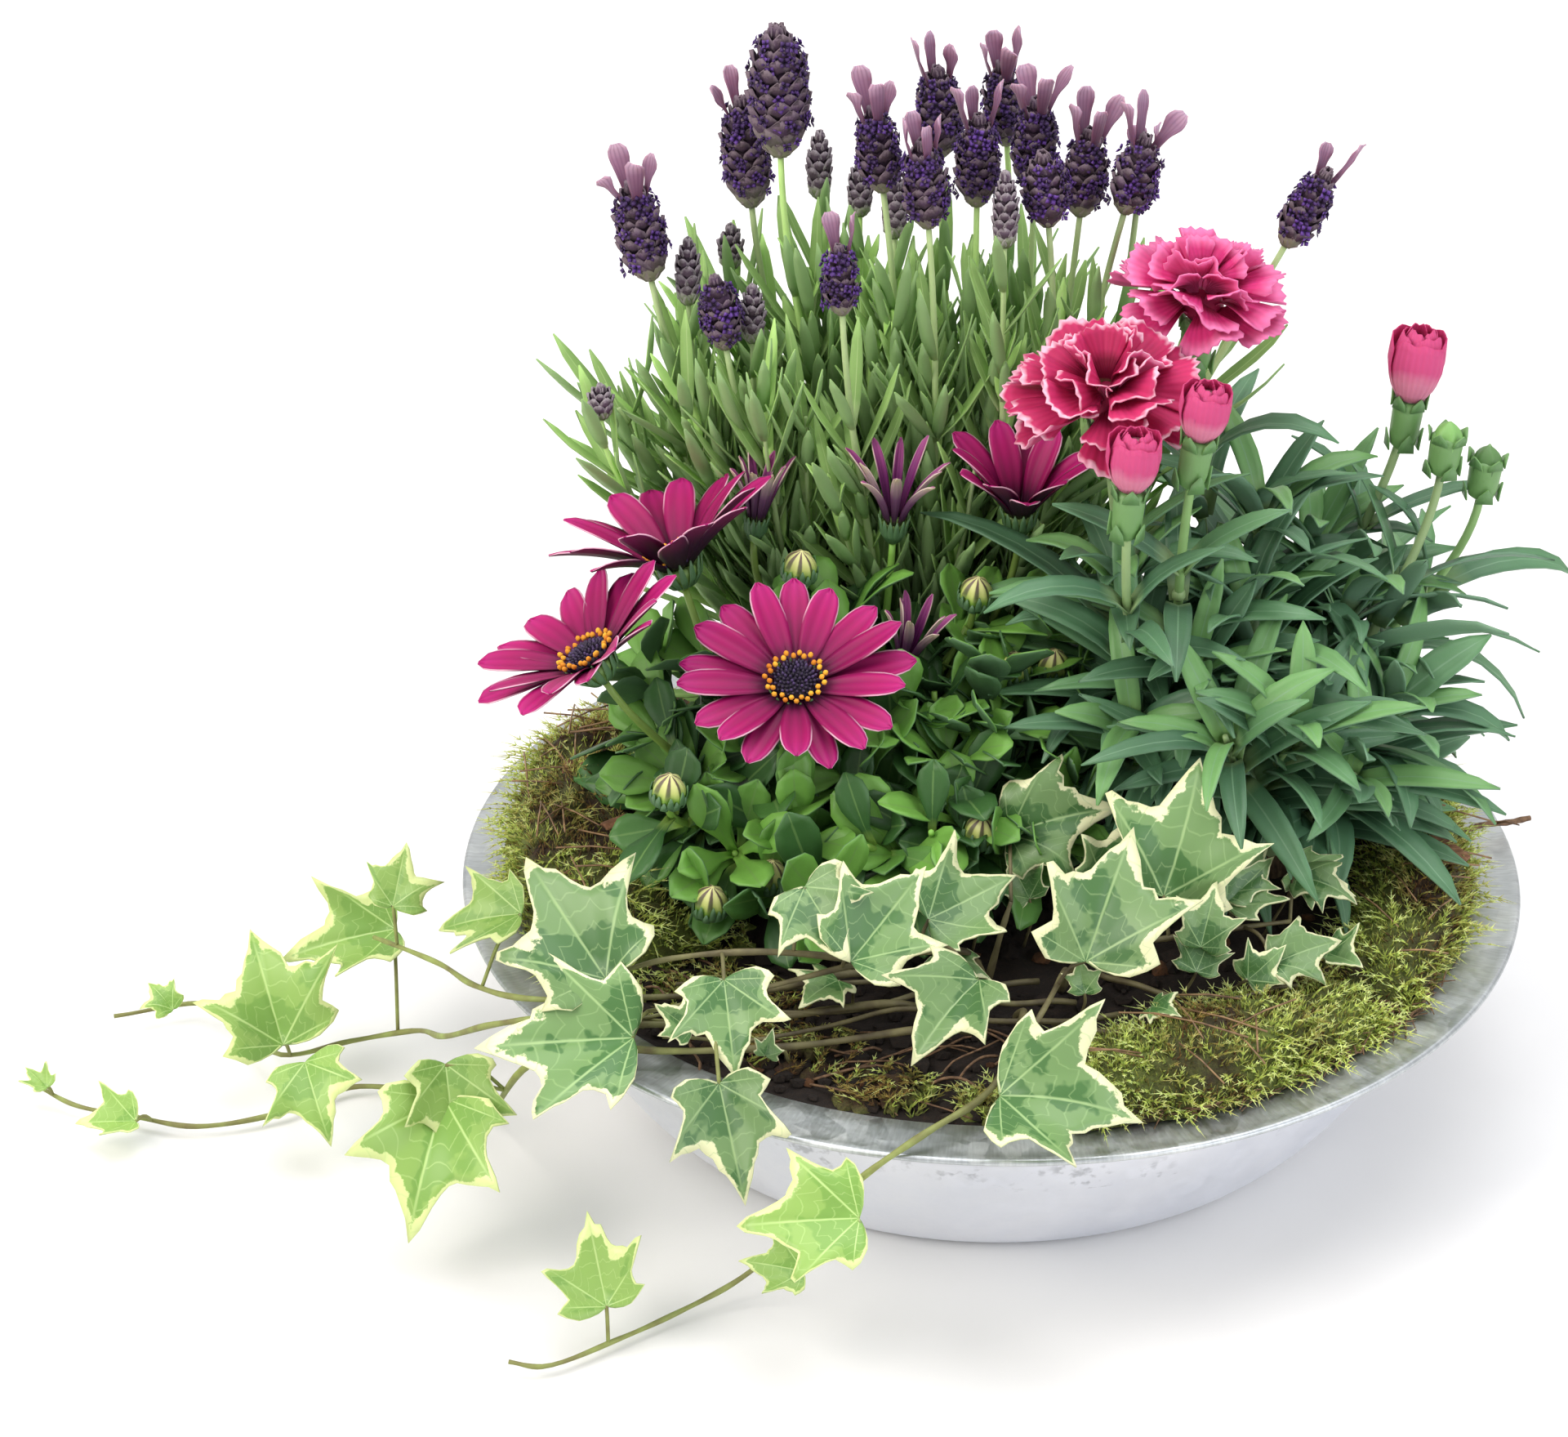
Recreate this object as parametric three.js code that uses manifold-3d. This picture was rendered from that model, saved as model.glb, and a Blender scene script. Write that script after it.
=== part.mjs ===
// A zinc bowl, 300 mm across, planted with French lavender at the back, African daisies at the left,
// carnations at the right and variegated ivy that trails over the rim, in potting soil with a collar
// of moss. Millimetres, Z up, front at -Y. The origin is the middle of the bowl's flat underside.

import * as THREE from 'three';
import { mergeVertices } from 'three/addons/utils/BufferGeometryUtils.js';
import Module from 'manifold-3d';

const wasm = await Module();
wasm.setup();
const { Manifold, Mesh: SolidMesh } = wasm;

// Bowl of galvanised sheet
const RIM_RADIUS = 150;
const RIM_HEIGHT = 62;
const MOUTH_RADIUS = 133;
const BASE_RADIUS = 96.5;
const WALL = 1.2;
const WALL_ROUNDNESS = 1.37;
const LIP = 1.3;
const BOWL_SIDES = 36;
const SLIVER = 0.06;

// Soil, moss and the clearance between pieces that touch
const GAP = 0.3;
const SOIL_EDGE_HEIGHT = 61.2;
const SOIL_CROWN_HEIGHT = 66;
const MOSS_FLOOR = RIM_HEIGHT + 0.4;
const HOLE_FLOOR = 34;

// Stumps, stalks and stems
const STUMP_TOP = 72;
const STUMP_RADIUS = 7.2;

const v = (x = 0, y = 0, z = 0) => new THREE.Vector3(x, y, z);
const rad = THREE.MathUtils.degToRad;
const lerp = THREE.MathUtils.lerp;
const EAST = v(1, 0, 0);

// The same number between 0 and 1 for the same pair of whole numbers.
function draw(i, j) {
  const s = Math.sin(i * 12.9898 + j * 78.233) * 43758.5453;
  return s - Math.floor(s);
}
const between = (low, high, i, j) => lerp(low, high, draw(i, j));

// A closed skin that is put together point by point. Loops run anticlockwise seen from outside.
class Skin {
  points = [];
  faces = [];

  point(p) {
    this.points.push(p.clone());
    return this.points.length - 1;
  }

  loop(list) {
    return list.map((p) => this.point(p));
  }

  triangle(a, b, c) {
    this.faces.push(a, b, c);
  }

  quad(a, b, c, d) {
    this.triangle(a, b, c);
    this.triangle(a, c, d);
  }

  band(loop, next) {
    loop.forEach((a, i) => {
      const j = (i + 1) % loop.length;
      this.quad(a, loop[j], next[j], next[i]);
    });
  }

  cone(loop, apex) {
    loop.forEach((a, i) => this.triangle(a, loop[(i + 1) % loop.length], apex));
  }

  cap(loop) {
    for (let i = 1; i < loop.length - 1; i += 1) this.triangle(loop[0], loop[i], loop[i + 1]);
  }

  solid() {
    const vertProperties = Float32Array.from(this.points.flatMap((p) => [p.x, p.y, p.z]));
    const triVerts = Uint32Array.from(this.faces);
    return new Manifold(new SolidMesh({ numProp: 3, vertProperties, triVerts }));
  }
}

// A three.js geometry as a solid: equal points are merged and faces without area are dropped.
function solidOf(geometry) {
  const bare = geometry.clone();
  bare.deleteAttribute('normal');
  bare.deleteAttribute('uv');
  const merged = mergeVertices(bare, 1e-3);
  const index = merged.index.array;
  const triVerts = [];
  for (let i = 0; i < index.length; i += 3) {
    const [a, b, c] = index.slice(i, i + 3);
    if (a !== b && b !== c && c !== a) triVerts.push(a, b, c);
  }
  const vertProperties = Float32Array.from(merged.attributes.position.array);
  return new Manifold(new SolidMesh({ numProp: 3, vertProperties, triVerts: Uint32Array.from(triVerts) }));
}

const join = (solids) => (solids.length > 1 ? Manifold.union(solids).simplify(SLIVER) : solids[0]);

// Pieces already in place. Everything that is grown later stays clear of them.
const placed = [];

function boxed(solid, owner = null) {
  return { solid, owner, ...solid.boundingBox() };
}

function isClear(solid, others = placed, gap = GAP) {
  const { min, max } = solid.boundingBox();
  const near = (o) => [0, 1, 2].every((k) => o.min[k] - gap < max[k] && o.max[k] + gap > min[k]);
  return others.every((o) => !near(o) || solid.minGap(o.solid, gap + 0.1) >= gap);
}

const part = new THREE.Group();

function finish(color, roughness, metalness = 0) {
  return new THREE.MeshStandardMaterial({ color, roughness, metalness });
}

// A solid becomes a named mesh that hangs from the point where the piece stands.
function add(name, solid, material, seat = v(0, 0, 0)) {
  const { vertProperties, triVerts } = solid.getMesh();
  const geometry = new THREE.BufferGeometry();
  geometry.setAttribute('position', new THREE.BufferAttribute(Float32Array.from(vertProperties), 3));
  geometry.setIndex(new THREE.BufferAttribute(Uint32Array.from(triVerts), 1));
  geometry.translate(-seat.x, -seat.y, -seat.z);
  const mesh = new THREE.Mesh(geometry, material);
  mesh.name = name;
  mesh.position.copy(seat);
  part.add(mesh);
  placed.push(boxed(solid));
}

// Bowl

// Radius of the outer wall at a height: steep below the mouth, rounded into the base.
function wallRadius(z) {
  const fall = (1 - z / RIM_HEIGHT) ** WALL_ROUNDNESS;
  return BASE_RADIUS + (MOUTH_RADIUS - BASE_RADIUS) * (1 - fall) ** (1 / WALL_ROUNDNESS);
}

function turned(profile, sides) {
  const points = profile.map(([r, z]) => new THREE.Vector2(r, z));
  return solidOf(new THREE.LatheGeometry(points, sides).rotateX(Math.PI / 2));
}

const wallHeights = [4, 15, 34];
const bowl = turned([
  [0, 0],
  [BASE_RADIUS, 0],
  ...wallHeights.map((z) => [wallRadius(z), z]),
  [MOUTH_RADIUS, RIM_HEIGHT - WALL],
  [RIM_RADIUS - LIP, RIM_HEIGHT - WALL],
  [RIM_RADIUS, RIM_HEIGHT - WALL / 2],
  [RIM_RADIUS - LIP, RIM_HEIGHT + LIP / 3],
  [RIM_RADIUS - 2 * LIP, RIM_HEIGHT],
  [MOUTH_RADIUS - WALL, RIM_HEIGHT],
  ...wallHeights.slice(1).toReversed().map((z) => [wallRadius(z) - WALL, z + WALL / 2]),
  [BASE_RADIUS, WALL],
  [0, WALL],
], BOWL_SIDES);
add('bowl', bowl, finish('#a9adb3', 0.45, 0.9));

// Soil, with a plain hole for each stump

const soilRadius = (z) => wallRadius(z) - WALL - 2 * GAP;

function prism(x, y, low, high, radius, sides) {
  const shape = new THREE.CylinderGeometry(radius, radius, high - low, sides).rotateX(Math.PI / 2);
  return solidOf(shape.translate(x, y, (low + high) / 2));
}

const STUMPS = {
  lavender: [[-56, 56], [-38, 76], [-24, 54], [-4, 78], [12, 56]],
  daisy: [[-62, 0], [-34, 10], [-14, -12]],
  carnation: [[44, 18], [70, 34], [80, 4]],
  ivy: [[-26, -72], [-16, -84], [-4, -94], [8, -86], [0, -70], [20, -72]],
};
const IVY_STUMP_RADIUS = 2.8;
const STUMP_SIDES = 5;
const stumpRadius = (kind) => (kind === 'ivy' ? IVY_STUMP_RADIUS : STUMP_RADIUS);

const holes = Object.entries(STUMPS).flatMap(([kind, spots]) => spots.map(([x, y]) => (
  prism(x, y, HOLE_FLOOR, STUMP_TOP, stumpRadius(kind) + GAP / Math.cos(Math.PI / STUMP_SIDES), STUMP_SIDES)
)));
const soil = turned([
  [0, WALL + GAP],
  [BASE_RADIUS - 6, WALL + GAP],
  [soilRadius(wallHeights[1]), wallHeights[1] + WALL / 2],
  [soilRadius(SOIL_EDGE_HEIGHT - 1), SOIL_EDGE_HEIGHT - 1],
  [88, SOIL_EDGE_HEIGHT + 0.5],
  [0, SOIL_CROWN_HEIGHT],
], BOWL_SIDES).subtract(Manifold.union(holes));
add('soil', soil, finish('#2b211b', 1));

// Moss cushions lie on the soil and the flange. Tufts raise their tops in uneven steps.

function mossCushion({ from, to, inner, outer, height, overhang, along, seed }) {
  const skin = new Skin();
  const acrossSteps = 6;
  const rows = [];
  for (let i = 0; i <= along; i += 1) {
    const angle = rad(lerp(from, to, i / along));
    const swell = 0.35 + 0.65 * Math.sin((Math.PI * (i + 0.4)) / (along + 0.8)) ** 0.7;
    const row = [];
    for (let k = 0; k <= acrossSteps; k += 1) {
      const u = k / acrossSteps;
      const arch = Math.sin(Math.PI * u) ** 0.6;
      const tuft = k === 0 || k === acrossSteps ? 0 : between(-0.16, 0.16, i + seed, k);
      const lift = height * swell * arch * (1 + tuft);
      const edge = between(-2, 2, i + seed, 40 + (k > 2));
      const radius = lerp(inner, outer, u) + overhang * arch * u + edge * (1 - Math.abs(2 * u - 1) * 0.5);
      row.push(v(radius * Math.cos(angle), radius * Math.sin(angle), MOSS_FLOOR + lift));
    }
    rows.push(skin.loop(row));
  }
  for (let i = 0; i < along; i += 1) {
    for (let k = 0; k < acrossSteps; k += 1) {
      skin.quad(rows[i][k], rows[i][k + 1], rows[i + 1][k + 1], rows[i + 1][k]);
    }
    skin.quad(rows[i][acrossSteps], rows[i][0], rows[i + 1][0], rows[i + 1][acrossSteps]);
  }
  skin.cap(rows[0].toReversed());
  skin.cap(rows[along]);
  return skin.solid();
}

const MOSS = {
  moss_left: { from: 148, to: 214, inner: 88, outer: 136, height: 26, overhang: 8, along: 10, seed: 3 },
  moss_right: { from: -34, to: 26, inner: 104, outer: 136, height: 17, overhang: 3, along: 8, seed: 31 },
  moss_front_right: { from: -80, to: -35.5, inner: 98, outer: 137, height: 13, overhang: 5, along: 6, seed: 57 },
  moss_back: { from: 30, to: 144, inner: 112, outer: 134, height: 9, overhang: 0, along: 7, seed: 83 },
};
const mossFinish = finish('#6f7a2a', 1);
Object.entries(MOSS).forEach(([name, cushion]) => add(name, mossCushion(cushion), mossFinish.clone()));

// Stems and leaves

// Where a path is at t: its middle, the way ahead and two directions square to it.
function frameAt(path, t) {
  const ahead = path.getTangent(t);
  const first = EAST.clone().addScaledVector(ahead, -EAST.dot(ahead)).normalize();
  return { middle: path.getPoint(t), ahead, first, second: ahead.clone().cross(first) };
}

// The direction square to a path at an angle round it.
function around(frame, angle) {
  return frame.first.clone().multiplyScalar(Math.cos(angle)).addScaledVector(frame.second, Math.sin(angle));
}

function ringAt(frame, radius, sides, turn) {
  return Array.from({ length: sides }, (_, i) => (
    frame.middle.clone().addScaledVector(around(frame, turn + (2 * Math.PI * i) / sides), radius)
  ));
}

// A blade leaves the stem's side at the angle rise above square and turns to bend at its tip. Each
// station of its three-sided section is [place along, share of the width, depth of the keel].
function bladePoints(root, out, ahead, { length, width, rise, bend, yaw, twist, stations }) {
  const across = ahead.clone().cross(out);
  const away = out.clone().multiplyScalar(Math.cos(yaw)).addScaledVector(across, Math.sin(yaw));
  const side = ahead.clone().cross(away);
  const turn = bend - rise;
  const at = (s) => {
    const angle = rise + turn * s;
    const reach = Math.abs(turn) < 1e-6 ? s * Math.cos(rise) : (Math.sin(angle) - Math.sin(rise)) / turn;
    const climb = Math.abs(turn) < 1e-6 ? s * Math.sin(rise) : (Math.cos(rise) - Math.cos(angle)) / turn;
    const middle = root.clone().addScaledVector(away, length * reach).addScaledVector(ahead, length * climb);
    const face = away.clone().multiplyScalar(-Math.sin(angle)).addScaledVector(ahead, Math.cos(angle));
    const wide = side.clone().multiplyScalar(Math.cos(twist * s)).addScaledVector(face, Math.sin(twist * s));
    return { middle, face, wide };
  };
  const loops = stations.map(([s, share, depth]) => {
    const { middle, face, wide } = at(s);
    const half = (width * share) / 2;
    return [
      middle.clone().addScaledVector(face, -depth),
      middle.clone().addScaledVector(wide, half),
      middle.clone().addScaledVector(wide, -half),
    ];
  });
  return { loops, tip: at(1).middle };
}

// Closes a blade onto the four points of its root, given anticlockwise from the lower left.
function closeBlade(skin, [a, b, c, d], { loops, tip }) {
  const ids = loops.map((loop) => skin.loop(loop));
  const [keel, right, left] = ids[0];
  skin.triangle(a, b, keel);
  skin.triangle(b, right, keel);
  skin.triangle(b, c, right);
  skin.quad(c, d, left, right);
  skin.triangle(d, a, left);
  skin.triangle(a, keel, left);
  for (let i = 1; i < ids.length; i += 1) skin.band(ids[i - 1], ids[i]);
  skin.cone(ids[ids.length - 1], skin.point(tip));
}

function loneBlade(root, blade) {
  const skin = new Skin();
  const base = skin.loop(root);
  skin.cap(base.toReversed());
  closeBlade(skin, base, blade);
  return skin.solid();
}

// Stems that are already routed, and the leaves grown so far. Both are kept clear of.
const routed = [];
const leaves = [];

// Tries a leaf as drawn, then turned aside and shorter, until it is clear of everything near it.
const LEAF_TRIES = [[0, 1], [0.3, 1], [-0.3, 1], [0.6, 0.9], [-0.6, 0.9], [0, 0.7], [0.4, 0.6], [-0.4, 0.6]];
const LEAF_FLOOR = SOIL_CROWN_HEIGHT + 1.5;

function growBlade(corners, frame, angle, drawn, owner, older) {
  const middle = corners.reduce((sum, p) => sum.add(p), v(0, 0, 0)).multiplyScalar(1 / corners.length);
  const out = around(frame, angle);
  for (const [aside, share] of LEAF_TRIES) {
    const tried = { ...drawn, yaw: drawn.yaw + aside, length: drawn.length * share };
    const blade = bladePoints(middle, out, frame.ahead, tried);
    const solid = loneBlade(corners, blade);
    const others = [...placed, ...routed.filter((r) => r.owner !== owner), ...leaves.slice(0, older)];
    if (solid.boundingBox().min[2] > LEAF_FLOOR && isClear(solid, others)) {
      leaves.push(boxed(solid));
      return blade;
    }
  }
  return null;
}

// One stem: a tube with short bands on it. Each band is a whorl, and a leaf grows out of each of its
// sides that is free, so that stem and leaves share one closed skin. The end is a list of rings
// [distance past the stem, radius] and a point.
function leafyStem({ path, low, high, sides, whorls, point, end, bends }) {
  const skin = new Skin();
  const stops = [{ t: 0 }, ...bends.map((t) => ({ t })), { t: 1 }];
  whorls.forEach((whorl) => {
    stops.push({ t: whorl.at - whorl.half, turn: whorl.turn }, { t: whorl.at + whorl.half, turn: whorl.turn, whorl });
  });
  stops.sort((p, q) => p.t - q.t);
  let last = null;
  let turn = stops.find((stop) => stop.turn !== undefined)?.turn ?? 0;
  stops.forEach(({ t, turn: ownTurn, whorl }) => {
    turn = ownTurn ?? turn;
    const frame = frameAt(path, t);
    const ring = skin.loop(ringAt(frame, lerp(low, high, t), sides, turn));
    if (last === null) skin.cap(ring.toReversed());
    const older = leaves.length;
    for (let f = 0; last !== null && f < sides; f += 1) {
      const g = (f + 1) % sides;
      const root = [last[f], last[g], ring[g], ring[f]];
      const corners = root.map((id) => skin.points[id]);
      const angle = turn + (2 * Math.PI * (f + 0.5)) / sides;
      const drawn = whorl ? whorl.leaf(f) : null;
      const blade = drawn && growBlade(corners, frame, angle, drawn, path, older);
      if (blade) closeBlade(skin, root, blade);
      else skin.quad(...root);
    }
    last = ring;
  });
  const tip = frameAt(path, 1);
  end.forEach(([distance, radius], k) => {
    const middle = tip.middle.clone().addScaledVector(tip.ahead, distance);
    const ring = skin.loop(ringAt({ ...tip, middle }, radius, sides, turn + (k % 2 ? 0 : Math.PI / sides)));
    if (k % 2) last.forEach((_, f) => twistedQuad(skin, last, ring, f, true));
    else last.forEach((_, f) => twistedQuad(skin, last, ring, f, false));
    last = ring;
  });
  if (point > 0) skin.cone(last, skin.point(tip.middle.clone().addScaledVector(tip.ahead, point)));
  else skin.cap(last);
  return skin.solid();
}

// Joins two rings that are turned half a side against each other.
function twistedQuad(skin, ring, next, f, forward) {
  const g = (f + 1) % ring.length;
  if (forward) {
    skin.triangle(ring[f], ring[g], next[g]);
    skin.triangle(ring[f], next[g], next[f]);
  } else {
    skin.triangle(ring[f], ring[g], next[f]);
    skin.triangle(ring[g], next[g], next[f]);
  }
}

// Stumps hold each plant's stems and stand in the soil's holes.
function stump(x, y, radius, top = STUMP_TOP) {
  return prism(x, y, HOLE_FLOOR + GAP, top, radius, STUMP_SIDES);
}

// The path of a stem leaves the ground steeply, leans over and ends along its heading.
const REACH = 0.36;

function stemPath(from, to, heading, [east, north]) {
  const height = to.z - from.z;
  const start = v((to.x - from.x) * 0.3 + east, (to.y - from.y) * 0.3 + north, height).multiplyScalar(REACH);
  const end = to.clone().addScaledVector(heading, -REACH * height);
  return new THREE.CubicBezierCurve3(from, from.clone().add(start), end, to);
}

// Rings of points that stand out and in by turns, for heads, buds and discs.
function knobbly({ base, top, rings, sides, relief, flat = false }) {
  const skin = new Skin();
  const path = new THREE.LineCurve3(base, top);
  let last = null;
  rings.forEach(([t, radius], k) => {
    const frame = frameAt(path, t);
    const ids = ringAt(frame, radius, sides, 0).map((p, i) => {
      const step = k === 0 ? 0 : relief * ((i + k) % 2 ? 1 : -1);
      return skin.point(p.addScaledVector(p.clone().sub(frame.middle).normalize(), step));
    });
    if (last === null) skin.cap(ids.toReversed());
    else skin.band(last, ids);
    last = ids;
  });
  if (flat) skin.cap(last);
  else skin.cone(last, skin.point(top));
  return skin.solid();
}

// Draws one leaf's sizes from its kind's ranges. Angles are in radians.
function drawLeaf(kind, seed) {
  const pick = (range, k) => between(range[0], range[1], seed, k);
  return {
    length: pick(kind.length, 1),
    width: pick(kind.width, 2),
    rise: pick(kind.rise, 3),
    bend: pick(kind.bend, 4),
    yaw: pick([-0.22, 0.22], 5),
    twist: pick([-0.5, 0.5], 6),
    stations: kind.stations,
  };
}

// Ivy: vines with leaves on short stalks

const VINE_RADIUS = 1.1;
const LEAF_STALK_RADIUS = 0.8;
const IVY_THICKNESS = 0.8;

// Half of a leaf's outline from the base to the tip, in shares of the middle lobe's length.
const IVY_HALF = [[-0.12, 0.36], [0.14, 0.39], [0.44, 0.56], [0.49, 0.26], [0.76, 0.15]];
const IVY_HALF_SMALL = [[-0.12, 0.36], [0.42, 0.52], [0.5, 0.24]];
const IVY_SMALL = 24;

function tube(path, radius, sides, steps) {
  const section = new THREE.Shape(Array.from({ length: sides }, (_, i) => (
    new THREE.Vector2(radius, 0).rotateAround(new THREE.Vector2(), (2 * Math.PI * i) / sides)
  )));
  return solidOf(new THREE.ExtrudeGeometry(section, { steps, extrudePath: path, bevelEnabled: false }));
}

// The nearest spot on the straight runs that the vines' tubes are made of.
function nearestOn(vines, target) {
  const spots = vines.flatMap(({ path, steps }) => {
    const points = path.getSpacedPoints(steps);
    return points.slice(1).map((p, i) => new THREE.Line3(points[i], p).closestPointToPoint(target, true, v()));
  });
  return spots.reduce((best, p) => (p.distanceTo(target) < best.distanceTo(target) ? p : best));
}

// A leaf is a thin plate that is folded a little along its middle. Its stalk grows out of the notch
// at its base and ends inside the vine.
function ivyLeaf(joint, tip, normal, vines) {
  const length = joint.distanceTo(tip);
  const ahead = tip.clone().sub(joint).normalize();
  const face = normal.clone().addScaledVector(ahead, -normal.dot(ahead)).normalize();
  const side = face.clone().cross(ahead);
  const spot = (x, y) => joint.clone()
    .addScaledVector(ahead, length * x)
    .addScaledVector(side, length * y)
    .addScaledVector(face, length * (0.16 * Math.abs(y) - 0.12 * x * x));
  const half = length < IVY_SMALL ? IVY_HALF_SMALL : IVY_HALF;
  const notch = LEAF_STALK_RADIUS / length;
  const right = [[0, notch], ...half].map(([x, y]) => spot(x, -y));
  const left = [[0, notch], ...half].map(([x, y]) => spot(x, y)).toReversed();
  const top = [...right, spot(1, 0), ...left];
  const skin = new Skin();
  const upper = skin.loop(top);
  const lower = skin.loop(top.map((p) => p.clone().addScaledVector(face, -IVY_THICKNESS)));
  const [peak, end] = [right.length, top.length - 1];
  for (let i = 1; i < peak; i += 1) skin.triangle(upper[0], upper[i], upper[i + 1]);
  skin.triangle(upper[0], upper[peak], upper[end]);
  for (let i = peak; i < end - 1; i += 1) skin.triangle(upper[end], upper[i], upper[i + 1]);
  for (let i = 1; i < peak; i += 1) skin.triangle(lower[0], lower[i + 1], lower[i]);
  skin.triangle(lower[0], lower[end], lower[peak]);
  for (let i = peak; i < end - 1; i += 1) skin.triangle(lower[end], lower[i + 1], lower[i]);
  for (let i = 0; i < end; i += 1) skin.quad(upper[i], lower[i], lower[i + 1], upper[i + 1]);
  const goal = nearestOn(vines, joint);
  const on = goal.clone().sub(joint).normalize();
  const rise = face.clone().addScaledVector(on, -face.dot(on));
  if (rise.length() < 0.3) rise.copy(ahead).addScaledVector(on, -ahead.dot(on));
  rise.setLength(LEAF_STALK_RADIUS);
  const wide = on.clone().cross(rise);
  const corner = (a, b) => goal.clone().addScaledVector(wide, a).addScaledVector(rise, b);
  const foot = skin.loop([corner(1, 0.7), corner(1, -0.7), corner(-1, -0.7), corner(-1, 0.7)]);
  skin.band([upper[end], lower[end], lower[0], upper[0]], foot);
  skin.cap(foot);
  return skin.solid();
}

const IVY = {
  ivy_vine_upper_left: {
    spot: 0,
    vines: [[[-26, -72, 66], [-34, -77, 73], [-60, -84, 71], [-95, -86, 69], [-124, -84, 66.5],
      [-140, -68, 60], [-152, -48, 54], [-168, -30, 49], [-174, -22, 46]]],
    leaves: [
      [[-128, -56, 76], [-151, -51, 66], [-0.5, -0.4, 0.75]],
      [[-167, -31, 62], [-164, -18, 75], [0, -0.6, 0.8]],
    ],
  },
  ivy_vine_middle_left: {
    spot: 1,
    vines: [[[-16, -84, 66], [-24, -90, 72], [-60, -95, 69], [-90, -96, 67], [-118, -93, 66],
      [-133, -84, 58], [-150, -60, 38], [-163, -30, 20], [-182, -24, 12], [-202, -26, 8],
      [-226, 3, 6], [-254, -5, 6]]],
    leaves: [
      [[-165, -3, 24], [-197, -10, 16], [-0.1, -0.5, 0.85]],
      [[-200, -33, 16], [-211, -13, 42], [0.1, -0.7, 0.6]],
      [[-235, -13, 14], [-243, -6, 18], [0, -0.5, 0.85]],
    ],
  },
  ivy_vine_lower_left: {
    spot: 2,
    vines: [[[-4, -94, 66], [-12, -100, 71], [-50, -106, 68], [-85, -108, 66.5], [-108, -106, 66],
      [-122, -102, 57], [-134, -82, 30], [-142, -52, 10], [-160, -38, 4.5], [-181, -35, 3.5],
      [-199, -49, 3.5], [-222, -57, 3.5], [-240, -53, 3.5], [-258, -48, 3.5], [-270, -41, 5]]],
    leaves: [
      [[-146, -97, 42], [-154, -121, 11], [0, -0.8, 0.6]],
      [[-141, -88, 36], [-137, -105, 12], [0.3, -0.8, 0.5]],
      [[-190, -57, 26], [-181, -74, 9], [0, -0.7, 0.7]],
      [[-238, -62, 8], [-255, -63, 7], [0, -0.3, 0.95]],
      [[-266, -46, 8], [-273, -41, 11], [0, -0.5, 0.85]],
    ],
  },
  ivy_vine_front: {
    spot: 3,
    vines: [[[8, -86, 66], [10, -96, 74], [6, -118, 72], [-1, -132, 70], [-14, -143, 67],
      [-28, -152, 61], [-38, -151, 50], [-51, -139, 28], [-66, -131, 8], [-80, -139, 4],
      [-95, -151, 3.5], [-114, -164, 3.5], [-123, -163, 4]]],
    leaves: [
      [[-31, -173, 60], [-62, -173, 56], [-0.1, -0.7, 0.7]],
      [[-46, -155, 30], [-63, -153, 31], [0, -0.6, 0.8]],
      [[-98, -151, 14], [-104, -135, 33], [0, -0.8, 0.6]],
    ],
  },
  ivy_centre: {
    spot: 4,
    vines: [
      [[0, -70, 66], [-6, -76, 80], [-30, -88, 84], [-62, -98, 80], [-90, -102, 75]],
      [[0, -70, 66], [4, -69, 84], [6, -66, 90]],
      [[-30, -88, 84], [-60, -93, 89], [-84, -96, 88], [-100, -98, 84]],
    ],
    leaves: [
      [[-93, -112, 73], [-135, -110, 66], [-0.2, -0.6, 0.78]],
      [[-106, -100, 82], [-129, -74, 103], [-0.2, -0.6, 0.78]],
      [[-69, -134, 74], [-61, -155, 50], [0, -0.75, 0.65]],
      [[-2, -109, 92], [-19, -129, 77], [-0.2, -0.6, 0.8]],
      [[5, -44, 98], [35, -38, 103], [0, -0.6, 0.8]],
      [[-36, -100, 91], [-17, -78, 107], [0, -0.7, 0.7]],
      [[-49, -81, 94], [-36, -98, 81], [-0.2, -0.6, 0.8]],
      [[-74, -110, 89], [-70, -127, 69], [0, -0.75, 0.65]],
      [[-11, -81, 93], [12, -67, 98], [0, -0.6, 0.8]],
    ],
  },
  ivy_right: {
    spot: 5,
    vines: [
      [[20, -72, 66], [27, -74, 80], [46, -72, 83], [64, -66, 83], [82, -56, 80]],
      [[20, -72, 66], [21, -84, 80], [16, -104, 82], [8, -124, 78]],
    ],
    leaves: [
      [[4, -141, 77], [41, -143, 71], [0, -0.6, 0.8]],
      [[26, -97, 91], [38, -71, 117], [0, -0.7, 0.6]],
      [[47, -66, 93], [56, -43, 123], [0.1, -0.75, 0.5]],
      [[63, -58, 89], [76, -45, 98], [0, -0.6, 0.8]],
      [[83, -43, 88], [100, -49, 84], [0, -0.6, 0.8]],
      [[57, -80, 86], [61, -68, 99], [0, -0.7, 0.7]],
      [[77, -78, 80], [95, -70, 82], [0, -0.5, 0.85]],
    ],
  },
};

const ASIDE = [0, 5, -5];

// A leaf is lifted a little at a time until it is clear of what lies below it and of its own kind.
function seatIvyLeaf([joint, tip, normal], vines, rivals) {
  const tries = Array.from({ length: 27 }, (_, i) => [ASIDE[i % 3], -0.6 * Math.floor(i / 3), 2 * Math.floor(i / 3)]);
  return tries
    .map(([x, y, z]) => ivyLeaf(v(...joint).add(v(x, y, z)), v(...tip).add(v(x, y, z)), v(...normal).normalize(), vines))
    .find((leaf) => isClear(leaf, [...placed, ...rivals])) ?? null;
}

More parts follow.
